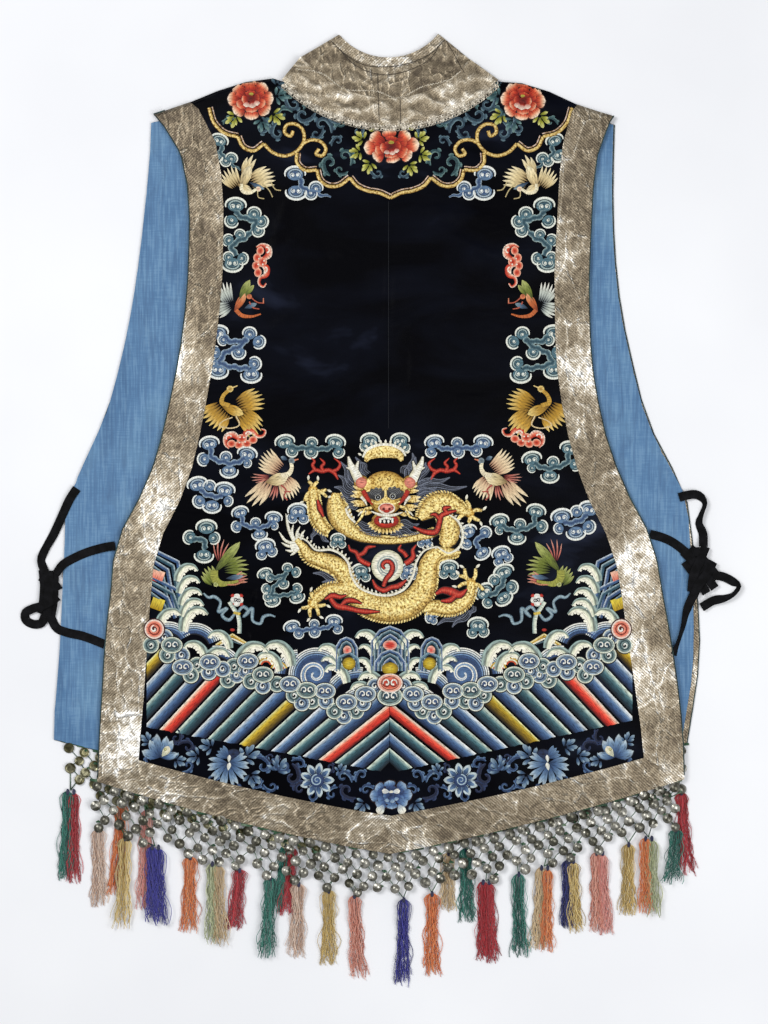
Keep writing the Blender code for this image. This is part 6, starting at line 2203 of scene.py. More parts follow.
peony(border_work, 25, 17, ("12244a", "2f5690", "5d8ab8", "a9c2d6"), "f0ecd8", level=0.6)
for side in (-1, 1):
    border_work.petal(side * 9, -11, 13, 10, 90 - side * 150, ("5d8ab8", "dfe4dc", "f2ead8"), 1.1, 0.4, 1.0)
    border_work.petal(side * 2, 4, 9, 6, 90 - side * 80, ("c8d4dc", "f4f1e4"), 1.9, 0.4, 1.0)
stitched(border_work, "stitched_border", FLOSS_STITCH)

# %% [markdown]
# Birds and bats fly among the clouds. A bird is a few fans of feathers, a body, and lines for its neck and
# legs, listed in millimetres about its middle.

# %% Birds
CREAM = ("94794c", "e2cfa0", "f3e7c4")
CREAM_PINK = ("b07f66", "e6cda8", "f3e4c2")
GREY_WHITE = ("5f6a74", "c9cfc4", "f0ece0")
LEAF_GREEN = ("3c461c", "7f8a3c", "bcc07c")
RUST = ("7c2f1c", "c8713e", "e6b285")
BIRD_GOLD = ("7a5a1c", "c69c3c", "efd68c")
ROSE = ("8f3a34", "c77a6c", "e2ac98")
INK_BLUE = ("1d2c44", "4a6a86", "8fa9b4")
# Fans: x, y, facing, spread, feathers, length, width, tints. Petals: x, y, facing, length, width, tints.
# Lines: width profile, tint, points. Dots: x, y, radius, tints.
BIRDS = {
    "crane": {
        "fans": ((-17, -9, 122, 48, 6, 25, 3.6, CREAM), (0, -4, 18, 34, 6, 30, 4.6, CREAM),
                 (-8, 4, 66, 16, 3, 27, 5, CREAM)),
        "petals": ((-12, -12, 68, 30, 12, CREAM), (-16, -6, 330, 20, 9, CREAM),
                   (-2, -4, 335, 20, 5, INK_BLUE)),
        "lines": (((6, 5, 3.6, 3.4), "f4e9c8", ((-11, -6), (-10, -14), (-2, -17), (7, -12))),
                  ((2.4, 1.0), "4c4a40", ((8, -12), (2, -9))),
                  ((1.4, 1.2), "c9b98a", ((14, -6), (22, -14), (26, -22))),
                  ((1.4, 1.2), "c9b98a", ((24, -4), (30, -13), (36, -14))),
                  ((1.2, 1.2), "c9b98a", ((8, -14), (9, -22), (16, -24)))),
        "dots": ((9, -12, 3.4, ("f4e9c8", "e8b8a0")),),
    },
    "finch": {
        "fans": ((-14, -3, 112, 44, 6, 25, 3.2, GREY_WHITE), (-13, -7, 200, 46, 5, 22, 3.4, GREY_WHITE)),
        "petals": ((-2, 0, 62, 27, 9, LEAF_GREEN), (4, 4, 50, 18, 6, LEAF_GREEN),
                   (-8, -14, 58, 26, 9, RUST), (4, -10, 20, 16, 6, INK_BLUE)),
        "lines": (((5, 4.6, 3, 1.6), "c8713e", ((-6, -12), (0, -18), (12, -20), (24, -17))),
                  ((1.6, 1.3), "b8604a", ((12, 3), (20, -3), (28, -4))),
                  ((1.6, 1.3), "b8604a", ((10, -2), (14, -9), (22, -11))),
                  ((1.4, 1.2), "d98c6c", ((27, -4), (27, 2)))),
        "dots": ((10, 4, 3.2, ("d98c5c", "b8604a")),),
    },
    "heron": {
        "fans": ((-15, 0, 222, 62, 8, 27, 5, BIRD_GOLD), (2, 4, 18, 36, 6, 33, 4.6, BIRD_GOLD),
                 (4, -4, 314, 30, 6, 35, 4.8, BIRD_GOLD)),
        "petals": ((-17, 4, 338, 28, 12, BIRD_GOLD),),
        "lines": (((7, 5.5, 4.4, 4.2), "c8a044", ((-8, 3), (-17, 8), (-15, 16), (-8, 23))),
                  ((1.8, 1.0), "e8cf90", ((-5, 25), (2, 28))),
                  ((1.6, 1.4), "e6d0a4", ((0, -8), (4, -19), (-10, -23), (-16, -21))),
                  ((1.4, 1.2), "e6d0a4", ((-4, -10), (-16, -15), (-20, -19), (-15, -23)))),
        "dots": ((-7, 24, 4, ("efd68c", "a87f2c")),),
    },
    "phoenix": {
        "fans": ((-8, 0, 230, 26, 4, 39, 5.4, CREAM_PINK), (-8, 4, 186, 34, 4, 22, 1.8, ROSE),
                 (0, -6, 256, 30, 3, 19, 2.2, ROSE),
                 (5, 12, 142, 40, 7, 29, 4, CREAM_PINK), (9, 1, 298, 42, 7, 26, 4, CREAM_PINK)),
        "petals": ((-12, -3, 14, 27, 15, CREAM), (14, 24, 155, 9, 5, INK_BLUE)),
        "lines": (((8, 6, 4.6, 4), "f2e6c6", ((7, 4), (16, 8), (19, 14), (18, 22))),
                  ((2.6, 1.2), "d98c6c", ((20, 23), (27, 25))),
                  ((1.8, 1.5), "b4564c", ((6, -6), (12, -12), (10, -20), (14, -24))),
                  ((1.6, 1.4), "b4564c", ((10, -14), (18, -14)))),
        "dots": ((19, 23, 3.8, ("8fa0a4", "5c6c74")),),
    },
    "green_phoenix": {
        "fans": ((-8, 6, 84, 56, 4, 27, 1.8, ROSE), (-12, -20, 128, 30, 5, 22, 4.6, LEAF_GREEN),
                 (-2, -3, 8, 40, 5, 30, 4, LEAF_GREEN),
                 (10, -18, 22, 50, 5, 17, 2.4, ROSE)),
        "petals": ((-14, -8, 50, 48, 11, LEAF_GREEN), (0, -15, 8, 21, 6, INK_BLUE)),
        "lines": (((9, 9, 7, 4, 3), "a3a34e", ((-14, -5), (-13, -16), (-6, -21), (6, -20), (15, -18))),
                  ((2.2, 1.4), "c98c6c", ((0, -22), (12, -22), (22, -18)))),
        "dots": ((-12, -22, 3, ("cfd193", "7d8436")),),
    },
}


def bird(work, kind):
    """A bird at the work's place, its feathers first and its body over them."""
    parts = BIRDS[kind]
    for x, y, facing, spread, feathers, length, width, tints in parts["fans"]:
        for k in range(feathers):
            share = k / (feathers - 1)
            reach = length * (0.72 + 0.28 * math.sin(math.pi * (0.2 + 0.7 * share)))
            root = turned([(0, (share - 0.5) * width * (feathers - 1) * 0.6)], facing, x, y)[0]
            lean = facing + (share - 0.5) * spread * 0.7
            work.petal(*root, reach, width * 0.96, lean, tints, 0.4 + 0.05 * k, 0.4, 0.3, 0.1)
    for x, y, facing, length, width, tints in parts["petals"]:
        work.petal(x, y, length, width, facing, tints, 0.8, 0.5, 0.6)
    for widths, tint, points in parts["lines"]:
        work.ribbon(eased(points, 1.0), widths, tint, 1.0, 0.4, across=3)
    for x, y, radius, tints in parts["dots"]:
        work.dot(x, y, radius, tints, 1.2, 0.3)


def bat(work):
    """A red bat: curled wings with pale edges, a spotted body and a curled tail."""
    red = ("fbeedd", "f2a486", "dc5838", "ad2c1c")
    work.ribbon(eased([(-4, 2), (-11, 9), (-20, 7), (-23, -3), (-19, -9)]), (5, 9, 9, 5, 2), red[::-1], 0.5,
                0.5)
    work.ribbon(eased([(3, 2), (8, 9), (17, 9), (22, 2), (30, 2), (33, 8), (28, 11)]),
                (5, 9, 8, 5, 4, 3.4, 2), red[::-1], 0.5, 0.5)
    for x, y, radius in ((-15, -3, 6), (-5, -6, 6), (6, -6, 6), (15, -2, 6), (0, 2, 7)):
        work.dot(x, y, radius, ("f6c7ac", "e0603e", "ad2c1c"), 0.55, 0.5, squash=0.85)
    for x, y in ((-2, 4), (3, 3), (-4, -3), (4, -3)):
        work.dot(x, y, 1.3, ("fbeedd",), 1.0, 0.3, around=6, rings=1)
    work.ribbon(arc(-17, 5, 4, 200, 20), 2.4, "fbeedd", 0.9, 0.3, across=2)
    work.ribbon(arc(10, 6, 4, 170, 0), 2.4, "fbeedd", 0.9, 0.3, across=2)


# %% [markdown]
# Five kinds of birds face each other across the centre, and so do the bats. A row holds a bird's kind and the
# pixels of its two places, and a bat's pixel, turn and mirror.

# %% Laying the birds and bats
BIRD_PLACES = (
    ("crane", (251, 179), (527, 179)), ("finch", (241, 300), (531, 300)), ("heron", (236, 409), (535, 409)),
    ("phoenix", (276, 480), (497, 480)), ("green_phoenix", (226, 566), (549, 566)),
)
BAT_PLACES = ((261, 262, 262, False), (514, 262, -262, True), (242, 440, 8, False), (526, 439, -8, True))
fliers = Needlework(26)
for kind, *places in BIRD_PLACES:
    for place, flip in zip(places, (False, True)):
        fliers.move(*spot(*place), mirror=flip)
        bird(fliers, kind)
for px, py, turn, flip in BAT_PLACES:
    fliers.move(*spot(px, py), 0.88, turn, mirror=flip)
    bat(fliers)

# %% [markdown]
# Between the birds are branching red flames, and above the rocks two emblems: a white flower on a staff, tied
# round with a long blue ribbon. They are ribbons of stitches along wavy paths.

# %% Flames and emblems
FLAME = ("7c170f", "bb3020", "d9604a", "b82c1e", "7c170f")
PALE_RIBBON = ("3c5c74", "86a6b4", "a9c0c2", "5c8098")


def flame(work, size=1.0, tints=FLAME, level=0.5):
    """A wavy branch with three tongues that rise from it."""
    branch = ((-20.8, -6.1), (-12.8, -1.3), (-4.8, -2.9), (3.2, -1.3), (9.6, -4.5), (14.4, -12.5))
    tongues = (
        ((-12.8, -1.3), (-16, 5.1), (-13.8, 9), (-18.2, 13.8)),
        ((-3.2, -2.2), (-5.4, 2.6), (-2.2, 6.7), (-7.4, 13.1)),
        ((8, -2.9), (14.4, 0.3), (17, 5.8), (9.6, 13.1)),
    )
    work.ribbon(eased(np.array(branch) * size, 1.1), np.array((1.4, 4.4, 5, 5, 4.6, 2)) * size, tints,
                level, 0.5)
    for points in tongues:
        work.ribbon(eased(np.array(points) * size, 1.1), np.array((4.6, 4, 3.2, 1)) * size, tints,
                    level + 0.1, 0.5)


def emblem(work):
    """A flower on a staff with its ribbon."""
    ribbon_width = (3.0, 4.4, 3.4, 4.6, 3.2, 4.4, 2.0)
    left = ((-2, -16), (-10, -24), (-18, -18), (-12, -10), (-22, -14), (-20, -2), (-28, 4), (-34, 3),
            (-40, 8))
    right = ((0, -16), (8, -8), (14, -14), (8, -20), (18, -10), (20, -26), (28, -28), (32, -20), (40, -18),
             (46, -20))
    work.ribbon(eased(left, 1.2), ribbon_width, PALE_RIBBON, 0.4, 0.4)
    work.ribbon(eased(right, 1.2), ribbon_width, PALE_RIBBON, 0.4, 0.4)
    work.ribbon(eased([(-9, -2), (-4, -10), (0, -16)]), 5, ("6c8c8c", "d9e2d0", "eef0e0"), 0.8)
    work.ribbon(eased([(1, -16), (3, -26), (3, -40)]), 5, ("6c8c8c", "d9e2d0", "eef0e0"), 0.8)
    work.ribbon(straight([(-4, -15), (4, -17)]), 3.4, "d8bf5c", 1.1)
    for k in range(4):
        work.dot(*turned([(7, 0)], 45 + 90 * k)[0], 2.6, ("a82a20", "d04a38"), 0.5, 0.4)
        work.dot(*turned([(3.6, 0)], 90 * k)[0], 4.2, ("e8e8dc", "f8f6ee"), 0.7, 0.4)
    work.ribbon(curl(-1.6, 0, 2.6, 0.5, 0, 1.2, 0.8), 1.0, "232c3c", 1.2, 0.2, across=2)
    work.ribbon(curl(2.2, 0, 2.6, 0.5, 180, 1.2, 0.8), 1.0, "232c3c", 1.2, 0.2, across=2)


FLAME_PLACES = ((326, 469, False), (443, 469, True))
EMBLEM_PLACES = ((237, 600, False), (537, 600, True))
for draw_one, places in ((flame, FLAME_PLACES), (emblem, EMBLEM_PLACES)):
    for px, py, flip in places:
        fliers.move(*spot(px, py), mirror=flip)
        draw_one(fliers)

# %% [markdown]
# The dragon in the middle is worked in couched gold thread. Its neck, its body, which swings round the pearl,
# its legs and its tail are broad ribbons of gold with rows of scales shaded into them. White combs of floss
# run along them, and each foot has five long toes with white nails.

# %% Dragon's body
# Gold thread is one colour: these tints, dark at both edges and pale in the middle, are painted shade and
# highlight across each rounded part.
GOLD_SHADED = ("a08548", "dcc680", "f3e4a8", "eed994", "f3e4a8", "dac078", "94773c")
COMB = ("cfc8a8", "f4f0dc", "fbf8ea")
# A dark ribbon a little wider than the part above it: a painted shadow line round gold, flames and horns, as
# dark as the satin.
SHADOW_EDGE = "0a0c12"


def limb(rows):
    """A path in millimetres and its widths, from rows of a pixel's x and y and a width in pixels."""
    wound = eased([(*spot(px, py), width * PIXEL) for px, py, width in rows], 1.3)
    return wound[:, :2], wound[:, 2]


def comb(work, path, width, height, side, tints=COMB, every=3, lean=35, level=0.5):
    """Small pointed petals along one side of a path, leaning back."""
    ahead = np.gradient(path, axis=0)
    ahead /= np.linalg.norm(ahead, axis=1, keepdims=True)
    normal = np.stack([-ahead[:, 1], ahead[:, 0]], axis=1) * side
    half = np.broadcast_to(width, len(path))[:, None] / 2
    edge = path + normal * half
    for k in range(1, len(path) - 1, every):
        facing = math.degrees(math.atan2(*normal[k][::-1])) + side * lean
        work.petal(*edge[k], height, height * 0.5, facing, tints, level, 0.4, 0.15, across=2)


def scaled_body(work, rows, level, rise, spiked):
    """A broad gold ribbon with rows of scales painted into it as shade and highlight, over a wider dark ribbon
    of painted shadow, with short spikes on its sides.
    """
    path, width = limb(rows)
    work.ribbon(path, width + 2.8, SHADOW_EDGE, level - 0.35, 0.2, across=2)
    for side in spiked:
        comb(work, path, width - 1.0, 4.6, side, GOLD_SHADED[1:3], 2, 40, level - 0.2)
    first = len(work.tints)
    work.ribbon(path, width, GOLD_SHADED, level, rise, across=12, vary=0.03)
    shades = work.tints[first].reshape(len(path), 13, 3)
    rows, columns = np.mgrid[0 : len(path), 0:13]
    # The rows of scales are painted darker and paler on the gold: painted shade under each scale's edge and
    # painted highlight on it.
    scale = (rows + 2 * (columns // 2 % 2)) % 4
    light = np.choose(scale, (0.68, 1.05, 1.16, 1.02)) * work.draw.normal(1, 0.1, scale.shape)
    work.tints[first] = np.clip(shades * light[..., None], 0, 1).reshape(-1, 3)


def white_comb(pixels, side, level):
    """The dragon's white comb: a narrow band of stitches with small spikes on its outer side."""
    path = eased(spots(*pixels), 1.3)
    comb(silk, path, 1.6, 4.4, side, every=4, lean=25, level=level - 0.5)
    silk.ribbon(path, (1.6, 3, 3.2, 3, 3.2, 3, 1.8), (COMB[0], COMB[2], COMB[1]), level, 0.4, across=3)


def foot(palm, toes, size):
    """A foot: a gold palm and five long toes, each with a white nail beyond it; places are pixels."""
    palm = np.array(spot(*palm))
    for number, toe in enumerate(toes):
        tip = np.array(spot(*toe))
        way = tip - palm
        bent = palm + way * 0.55 + np.array((-way[1], way[0])) * (0.12 if number % 2 else -0.12)
        gold.ribbon(eased([palm, bent, tip], 1.0), 5.8 * size, SHADOW_EDGE, 0.7, 0.2, across=2)
        gold.ribbon(eased([palm, bent, tip], 1.0), np.array((4.6, 4.0, 4.2, 3.0)) * size, GOLD_SHADED[1:5],
                    0.9, 0.7)
        facing = math.degrees(math.atan2(way[1], way[0])) + (35 if number % 2 else -30)
        silk.petal(*(tip + way / np.linalg.norm(way) * 0.6), 6.6 * size, 3.0 * size, facing, COMB, 0.9, 0.4,
                   0.2, across=2)
    # The palm is darker at its edge and paler in the middle: painted shade and highlight.
    gold.dot(*palm, 5.6 * size, ("b08a3a", "e6c873", "f0da92"), 1.1, 0.9)


# %% [markdown]
# The dragon's parts were measured on the picture: a row is a pixel and a width in pixels. They are laid in
# the order in which they cover one another: the tail's white tuft, the far bend, the body, the near bend
# and the four legs, and then the feet and the combs.

# %% Laying the dragon's body
# Locks of the tail's tuft, from root to tip, with a width in mm, and the tuft's middle.
TUFT_LOCKS = (
    ((296, 545), (289, 530), (285.8, 513.5), 3.6), ((296, 544), (286, 541), (279, 531.8), 3.6),
    ((296, 546), (288, 546), (281.5, 542.6), 3.4), ((297, 548), (291, 551), (285.5, 550), 3.4),
    ((298, 549), (294, 553), (290.5, 555.5), 3.4), ((295, 542), (292, 532), (293.4, 524.5), 3.4),
    ((297, 541), (297, 533), (300, 526.4), 3.4), ((300, 540), (302, 534), (305, 530), 3.0),
)
TUFT = (295.5, 546)
# Broad gold parts: their rows, how high they lie and how far they swell, in mm, and their spiked sides.
SCALED_PARTS = (
    ((
        (336, 493, 7), (335.5, 500, 15), (337, 510, 20.5), (341, 520, 21), (349, 529, 16), (360, 536.5, 10),
        (375, 540, 7), (390, 541, 6.4), (405, 540, 6.4), (418, 537.5, 7), (430, 534.5, 8), (438, 531, 7),
    ), 0.6, 1.0, (1,)),
    ((
        (296.4, 539.5, 6), (303, 547, 9), (310, 556, 12.5), (322, 560, 15), (334, 564, 17), (342.5, 571, 18),
        (348, 582, 19), (354, 593, 21), (366, 602.5, 23.5), (381.8, 608, 25.5), (398, 608, 26),
        (412, 602, 26), (422.5, 590.5, 24), (427, 576, 20), (429, 563.5, 18), (436, 554.5, 14.5),
        (447, 552.5, 11), (456, 553, 7), (460.5, 552, 3),
    ), 0.7, 1.4, (-1,)),
    (((441, 509, 12), (447, 520, 17), (450, 531, 20), (447.5, 540, 17), (442, 546, 8)), 0.9, 1.2, (-1,)),
    ((
        (420, 519, 6), (427, 511.5, 17), (435.5, 504.5, 21), (446, 502.5, 19), (456, 506, 13.5),
        (465, 511.5, 9), (470, 513, 7),
    ), 1.0, 1.2, (1,)),
    ((
        (329.5, 532, 6), (322, 526.5, 10), (316.5, 516.5, 11.5), (314.5, 505, 11), (313.4, 495.5, 10),
        (313, 489, 8),
    ), 1.0, 1.1, (-1, 1)),
    ((
        (351, 593, 17), (341, 590, 14), (330, 590, 12), (321, 594.5, 10.5), (314.5, 601, 9), (312.5, 606, 7),
    ), 1.0, 1.1, (-1,)),
    ((
        (424, 611, 3), (433, 606.5, 12), (446, 608, 13.5), (458, 605.5, 14), (467, 598, 12), (471, 588.5, 9),
        (471.3, 582, 7),
    ), 1.0, 1.1, (-1,)),
)
# Feet: the palm, the tips of the five toes, and a size.
FEET = (
    ((313, 490), ((308.5, 481), (318, 481.5), (326.5, 489.5), (327, 497), (304.5, 501)), 1.0),
    ((312.5, 603.5), ((310.4, 592.5), (301.5, 608), (310.4, 617), (318.7, 615.5), (325.7, 604.5)), 1.0),
    ((471, 583), ((459, 575.5), (464.5, 568.5), (475.5, 568.5), (483.5, 590), (458, 587)), 1.05),
    ((469.5, 512.7), ((466, 500.5), (482, 510.5), (479.5, 520.5), (468.5, 522.5), (456.5, 521)), 1.05),
)
# White combs: their points, the side of their spikes and how high they lie.
WHITE_COMBS = (
    ((
        (297.7, 536.5), (306.6, 540.5), (315.5, 549.4), (332, 549.9), (341, 554.2), (348, 562.2),
        (351.5, 575.2), (358.4, 586.4), (371, 592.8), (389.5, 595), (405, 588), (412.8, 575.6), (417, 560.4),
        (424.4, 550.5), (436.7, 546.5),
    ), 1, 1.9),
    (((437, 546.5), (448.5, 553), (459.6, 546.5), (462.4, 532), (458, 521.5), (449, 514.5)), -1, 1.9),
    (((345.5, 508), (349, 516), (356, 523)), 1, 1.4),
)
silk = fliers
silk.move()
gold.move()
for root, bend, tip, width in TUFT_LOCKS:
    silk.ribbon(eased(spots(root, bend, tip), 1.1), (4.2, width, width * 0.9, 0.8),
                (COMB[0], COMB[2], COMB[1]), 0.8, 0.5)
silk.dot(*spot(*TUFT), 6.4, (COMB[1], COMB[2]), 1.0, 0.5)
for rows, level, rise, spiked in SCALED_PARTS:
    scaled_body(gold, rows, level, rise, spiked)
for palm, toes, size in FEET:
    foot(palm, toes, size)
for pixels, side, level in WHITE_COMBS:
    white_comb(pixels, side, level)

# %% [markdown]
# Red flames lick round the legs, and the pearl in the body's bend is rings of white and grey with a red coil.

# %% Dragon's flames and pearl
# Flames by their pixels, with their widths in mm.
DRAGON_FLAMES = (
    (((413.3, 526.8), (426, 532), (435.7, 531.7), (439.3, 523), (441.4, 515.6), (448.4, 512.8),
      (456.5, 510.5)),
     (2, 5, 6.5, 6, 5.4, 5, 1.6)),
    (((439, 518.5), (434.3, 514.2), (430.5, 515)), (4, 4.4, 1.6)),
    (((447.5, 513), (444.2, 508.6), (451, 507)), (4, 4.4, 1.4)),
    (((324.9, 599), (333.3, 595.6), (340, 597), (346.5, 595)), (2.4, 6.4, 5, 1.4)),
    (((330.5, 598.4), (336.1, 605.4), (347.3, 607.8), (358.6, 610.6), (380, 611.7)), (5, 7, 5.4, 6, 1)),
    (((341, 605), (347.3, 600.5), (354.4, 600.8), (362, 603.6)), (3, 6, 5, 1)),
    (((435.7, 593.8), (442.8, 590.2), (451.2, 591.6), (459.6, 594.4), (467, 589)), (3, 8, 10, 8.4, 1.4)),
    (((441, 600.8), (450, 600), (456, 595)), (2.4, 6.4, 5)),
    (((317.6, 500), (319.5, 507), (323.6, 516.8)), (2.4, 6, 2)),
    (((370, 565), (360, 559.4), (355.8, 552.1), (350.2, 549.6), (348.6, 545)), (5.4, 5.8, 5, 4.2, 1.4)),
    (((358.4, 555.4), (364.2, 552.4), (367, 548), (375.6, 546.3)), (4.4, 5, 4.2, 1.4)),
    (((404.9, 563.6), (410, 560.5), (413.3, 556), (412.6, 550.5), (416.2, 544.8)), (6, 6.4, 5.4, 4, 1.4)),
    (((407, 556.8), (403.3, 552), (399, 549), (401, 544.8)), (5, 4.6, 4, 1.4)),
    (((372.4, 579.6), (376.8, 587.3), (383.8, 590.4), (390.8, 587.4), (397.9, 586), (406.6, 579.8)),
     (1.6, 5, 5.6, 5.6, 6.4, 1.6)),
)
PEARL = (387.4, 566)
PEARL_COIL = (
    (384.8, 569), (382.4, 565.5), (385, 561.8), (389.8, 562), (392.6, 566.8), (391, 573), (386.2, 579),
    (383.4, 586.4),
)
for pixels, widths in DRAGON_FLAMES:
    silk.ribbon(eased(spots(*pixels), 1.1), np.array(widths) + 1.8, SHADOW_EDGE, 2.15, 0.2, across=2)
    silk.ribbon(eased(spots(*pixels), 1.1), widths, FLAME, 2.4, 0.5)
pearl = spot(*PEARL)
silk.dot(*pearl, 19.2, ("c9c8a8", "f3efd8", "f8f5e6", "f3efd8", "e8e8d6", "dfe2d4"), 0.6, 0.9, around=40,
         rings=9)
for radius, width, tint in ((11.6, 1.8, "b4c2b8"), (8.8, 1.6, "8fa3a6"), (6.0, 1.6, "c2cabc")):
    silk.ribbon(arc(*pearl, radius, 0, 360), width, tint, 1.5, 0.2, across=2)
coiled = eased(spots(*PEARL_COIL), 1.0)
silk.ribbon(coiled, (3.4, 5.4, 6, 6.4, 6.8, 6.8, 6.4, 5.4), "3c120e", 1.7, 0.2, across=2)
silk.ribbon(coiled, (2, 4, 4.6, 5, 5.4, 5.4, 5, 4), FLAME, 1.95, 0.4)

# %% [markdown]
# Round the head stands a mane of dark locks, each a wavy ribbon with fine paler lines along it, and more
# locks hang at the joints of the legs. Gold tufts fan out from the cheeks, and white horns branch above.

# %% Dragon's mane and horns
HEAD_LINE = 385.6
MANE = ("0a0c12", "12161f", "0a0c12")
# The gold of the cheeks and face is painted darker at the root or edge and paler at the tip or middle, as shade
# and highlight.
CHEEK_GOLD = ("b9954a", "e9d28c", "f6ecc8")
FACE_GOLD = ("9a7836", "d8bb6c", "ecd994", "e6ce86")


def twins(*pixels):
    """The same path on both sides of the head: first the left one as measured, then its mirror."""
    return [spots(*[(2 * HEAD_LINE - px if flip else px, py) for px, py in pixels]) for flip in (False, True)]


def lock(root, tip, width, level=0.35):
    """A lock of the mane: a dark wavy ribbon with fine paler lines worked along it."""
    way = tip - root
    across = np.array((-way[1], way[0])) / np.linalg.norm(way)
    path = eased([root, root + way * 0.35 + across * width * 0.25, root + way * 0.7 - across * width * 0.2,
                  tip], 1.2)
    silk.ribbon(path, width * np.array((0.8, 1.1, 1.0, 0.7, 0.1)), MANE, level, 0.3, across=3)
    for k in range(4):
        share = (k - 1.5) / 3.6
        spread = np.interp(np.linspace(0, 1, len(path)), (0, 0.5, 1), (0.9, 1.0, 0.1))
        fan = across * width * share * spread[:, None]
        silk.ribbon(path + fan, (0.7, 0.9, 0.6), ("5a6173", "7d8597")[k % 2], level + 0.35, 0.15, across=2)


# Locks by the pixels of their root and tip, with a width in mm: those that have a twin across the head, and
# single ones.
TWIN_LOCKS = (
    ((364, 478), (355.5, 457), 9), ((368, 474), (361, 462), 9), ((357, 482), (344.5, 465), 9),
    ((355, 487), (340.5, 461.5), 8), ((354, 491), (338, 475), 9), ((354, 495), (334.2, 487), 9),
    ((355, 499), (338.5, 498), 9), ((357, 503), (346.5, 510), 8), ((374, 525), (352, 524), 9),
    ((376, 531), (352, 533), 9), ((381, 534), (362, 537), 8),
)
SINGLE_LOCKS = (
    ((416, 486), (450, 477.5), 9), ((418, 489), (467, 486.5), 9), ((418, 493), (447, 492), 8),
    ((412, 474), (412.5, 453), 8), ((415, 479), (426, 462.5), 8), ((317, 531), (329, 542), 8),
    ((315, 528), (312, 540), 6), ((343, 580), (313, 573), 9), ((343, 582), (322, 582), 6),
    ((470, 611), (452, 627), 8), ((463, 612), (437, 625), 8), ((474, 606), (470, 616), 6),
)
CHEEK_TUFTS = (
    ((366, 493), (352, 491)), ((366, 497), (350, 496.5)), ((366, 501), (350.5, 501.5)),
    ((368, 505), (353, 506)), ((370, 509), (356, 510.5)), ((373, 512), (362.5, 515)),
    ((364, 490), (353, 485.5)),
)
# The left horn and its two branches, from their roots, with their widths in mm.
HORN = (
    (((359.5, 481), (355, 472.5), (350.5, 464.5), (348.3, 456.5)), (12, 10.4, 7, 2)),
    (((355.5, 471), (358.4, 461)), (6.4, 1.8)), (((353.5, 470), (346.5, 467.5)), (5.4, 1.6)),
)
for root, tip, width in TWIN_LOCKS:
    for start, end in twins(root, tip):
        lock(start, end, width)
for root, tip, width in SINGLE_LOCKS:
    lock(*spots(root, tip), width, 0.4)
for k, (root, tip) in enumerate(CHEEK_TUFTS):
    for start, end in twins(root, tip):
        way = end - start
        facing = math.degrees(math.atan2(way[1], way[0]))
        gold.petal(*start, np.linalg.norm(way), 5.2, facing, CHEEK_GOLD, 0.9, 0.6, 0.25,
                   bend=0.12 * (-1) ** k)
for horn, widths in HORN:
    for path in twins(*horn):
        silk.ribbon(eased(path, 1.2), np.array(widths) + 1.8, SHADOW_EDGE, 1.0, 0.2, across=2)
        silk.ribbon(eased(path, 1.2), widths, (COMB[0], COMB[2], COMB[1]), 1.2, 0.8)

# %% [markdown]
# The face looks straight out. Gold is laid first: the crest with its white plume, the ears, the forehead,
# the temples and jaws, the muzzle, and a beard of small tufts.

# %% Dragon's face in gold
CREST_LINE = ((365.6, 461.5), (369, 455.5), (376, 452), (384.5, 451), (393, 452), (399, 455), (402, 461))
PLUME_LINE = (
    (362.7, 457.4), (367, 451), (376, 446.9), (386, 445.6), (396, 447.4), (402, 450.6), (405.6, 456),
)
EAR, FOREHEAD, MUZZLE, CHIN = (361.4, 482.8), (385.2, 484.5), (HEAD_LINE, 500), (386, 520.5)
TEMPLE = ((379, 479), (371, 483.5), (364.4, 489.5))
JAW = ((372, 489), (366.5, 494), (364, 500.5))
crescent = eased(spots(*CREST_LINE), 1.3)
gold.ribbon(crescent, (4, 12, 15, 16.4, 15.4, 12, 4), GOLD_SHADED[1:6], 0.9, 1.2, across=8)
plume = eased(spots(*PLUME_LINE), 1.3)
comb(silk, plume, 4.0, 5.4, 1, every=4, lean=0, level=0.8)
silk.ribbon(plume, (2, 5.4, 6.2, 6, 5.8, 5, 2), (COMB[1], COMB[2], COMB[0]), 1.1, 0.5)
for ((x, y),) in twins(EAR):
    gold.dot(x, y, 9.6, SHADOW_EDGE, 0.9, 0.3)
    gold.dot(x, y, 8.8, FACE_GOLD[:2], 1.1, 0.5)
    silk.dot(x, y, 6.8, ("c26a58", "ec9c86", "e58b76"), 1.9, 0.6)
gold.dot(*spot(*FOREHEAD), 23, FACE_GOLD, 1.0, 1.6, squash=0.7, around=30)
for temple in twins(*TEMPLE):
    gold.ribbon(eased(temple, 1.2), (6, 13, 15, 8), CHEEK_GOLD[:2] + FACE_GOLD[2:3], 0.95, 1.2, across=6)
for jaw in twins(*JAW):
    gold.ribbon(eased(jaw, 1.2), (8, 10, 7, 3), CHEEK_GOLD[:2] + FACE_GOLD[2:3], 0.9, 1.0, across=5)
gold.dot(*spot(*MUZZLE), 19.4, FACE_GOLD[:3], 0.9, 1.4, squash=0.92, around=28)
gold.dot(*spot(*CHIN), 17.4, FACE_GOLD[:3], 0.9, 0.9, squash=0.62, around=28)
for angle in range(195, 350, 13):
    at = turned([(16, 0)], angle) * (1.0, 0.6) + spot(*CHIN)
    gold.petal(*at[0], 7.4, 3.8, angle, CHEEK_GOLD, 0.9, 0.5, 0.2)

# %% [markdown]
# Over the gold come the features: dark fans of brows with ringed eyes under them, the ridge of the nose with
# two small curls, red cheeks, long whiskers, a pink nose, a moustache, and a red mouth with white teeth.

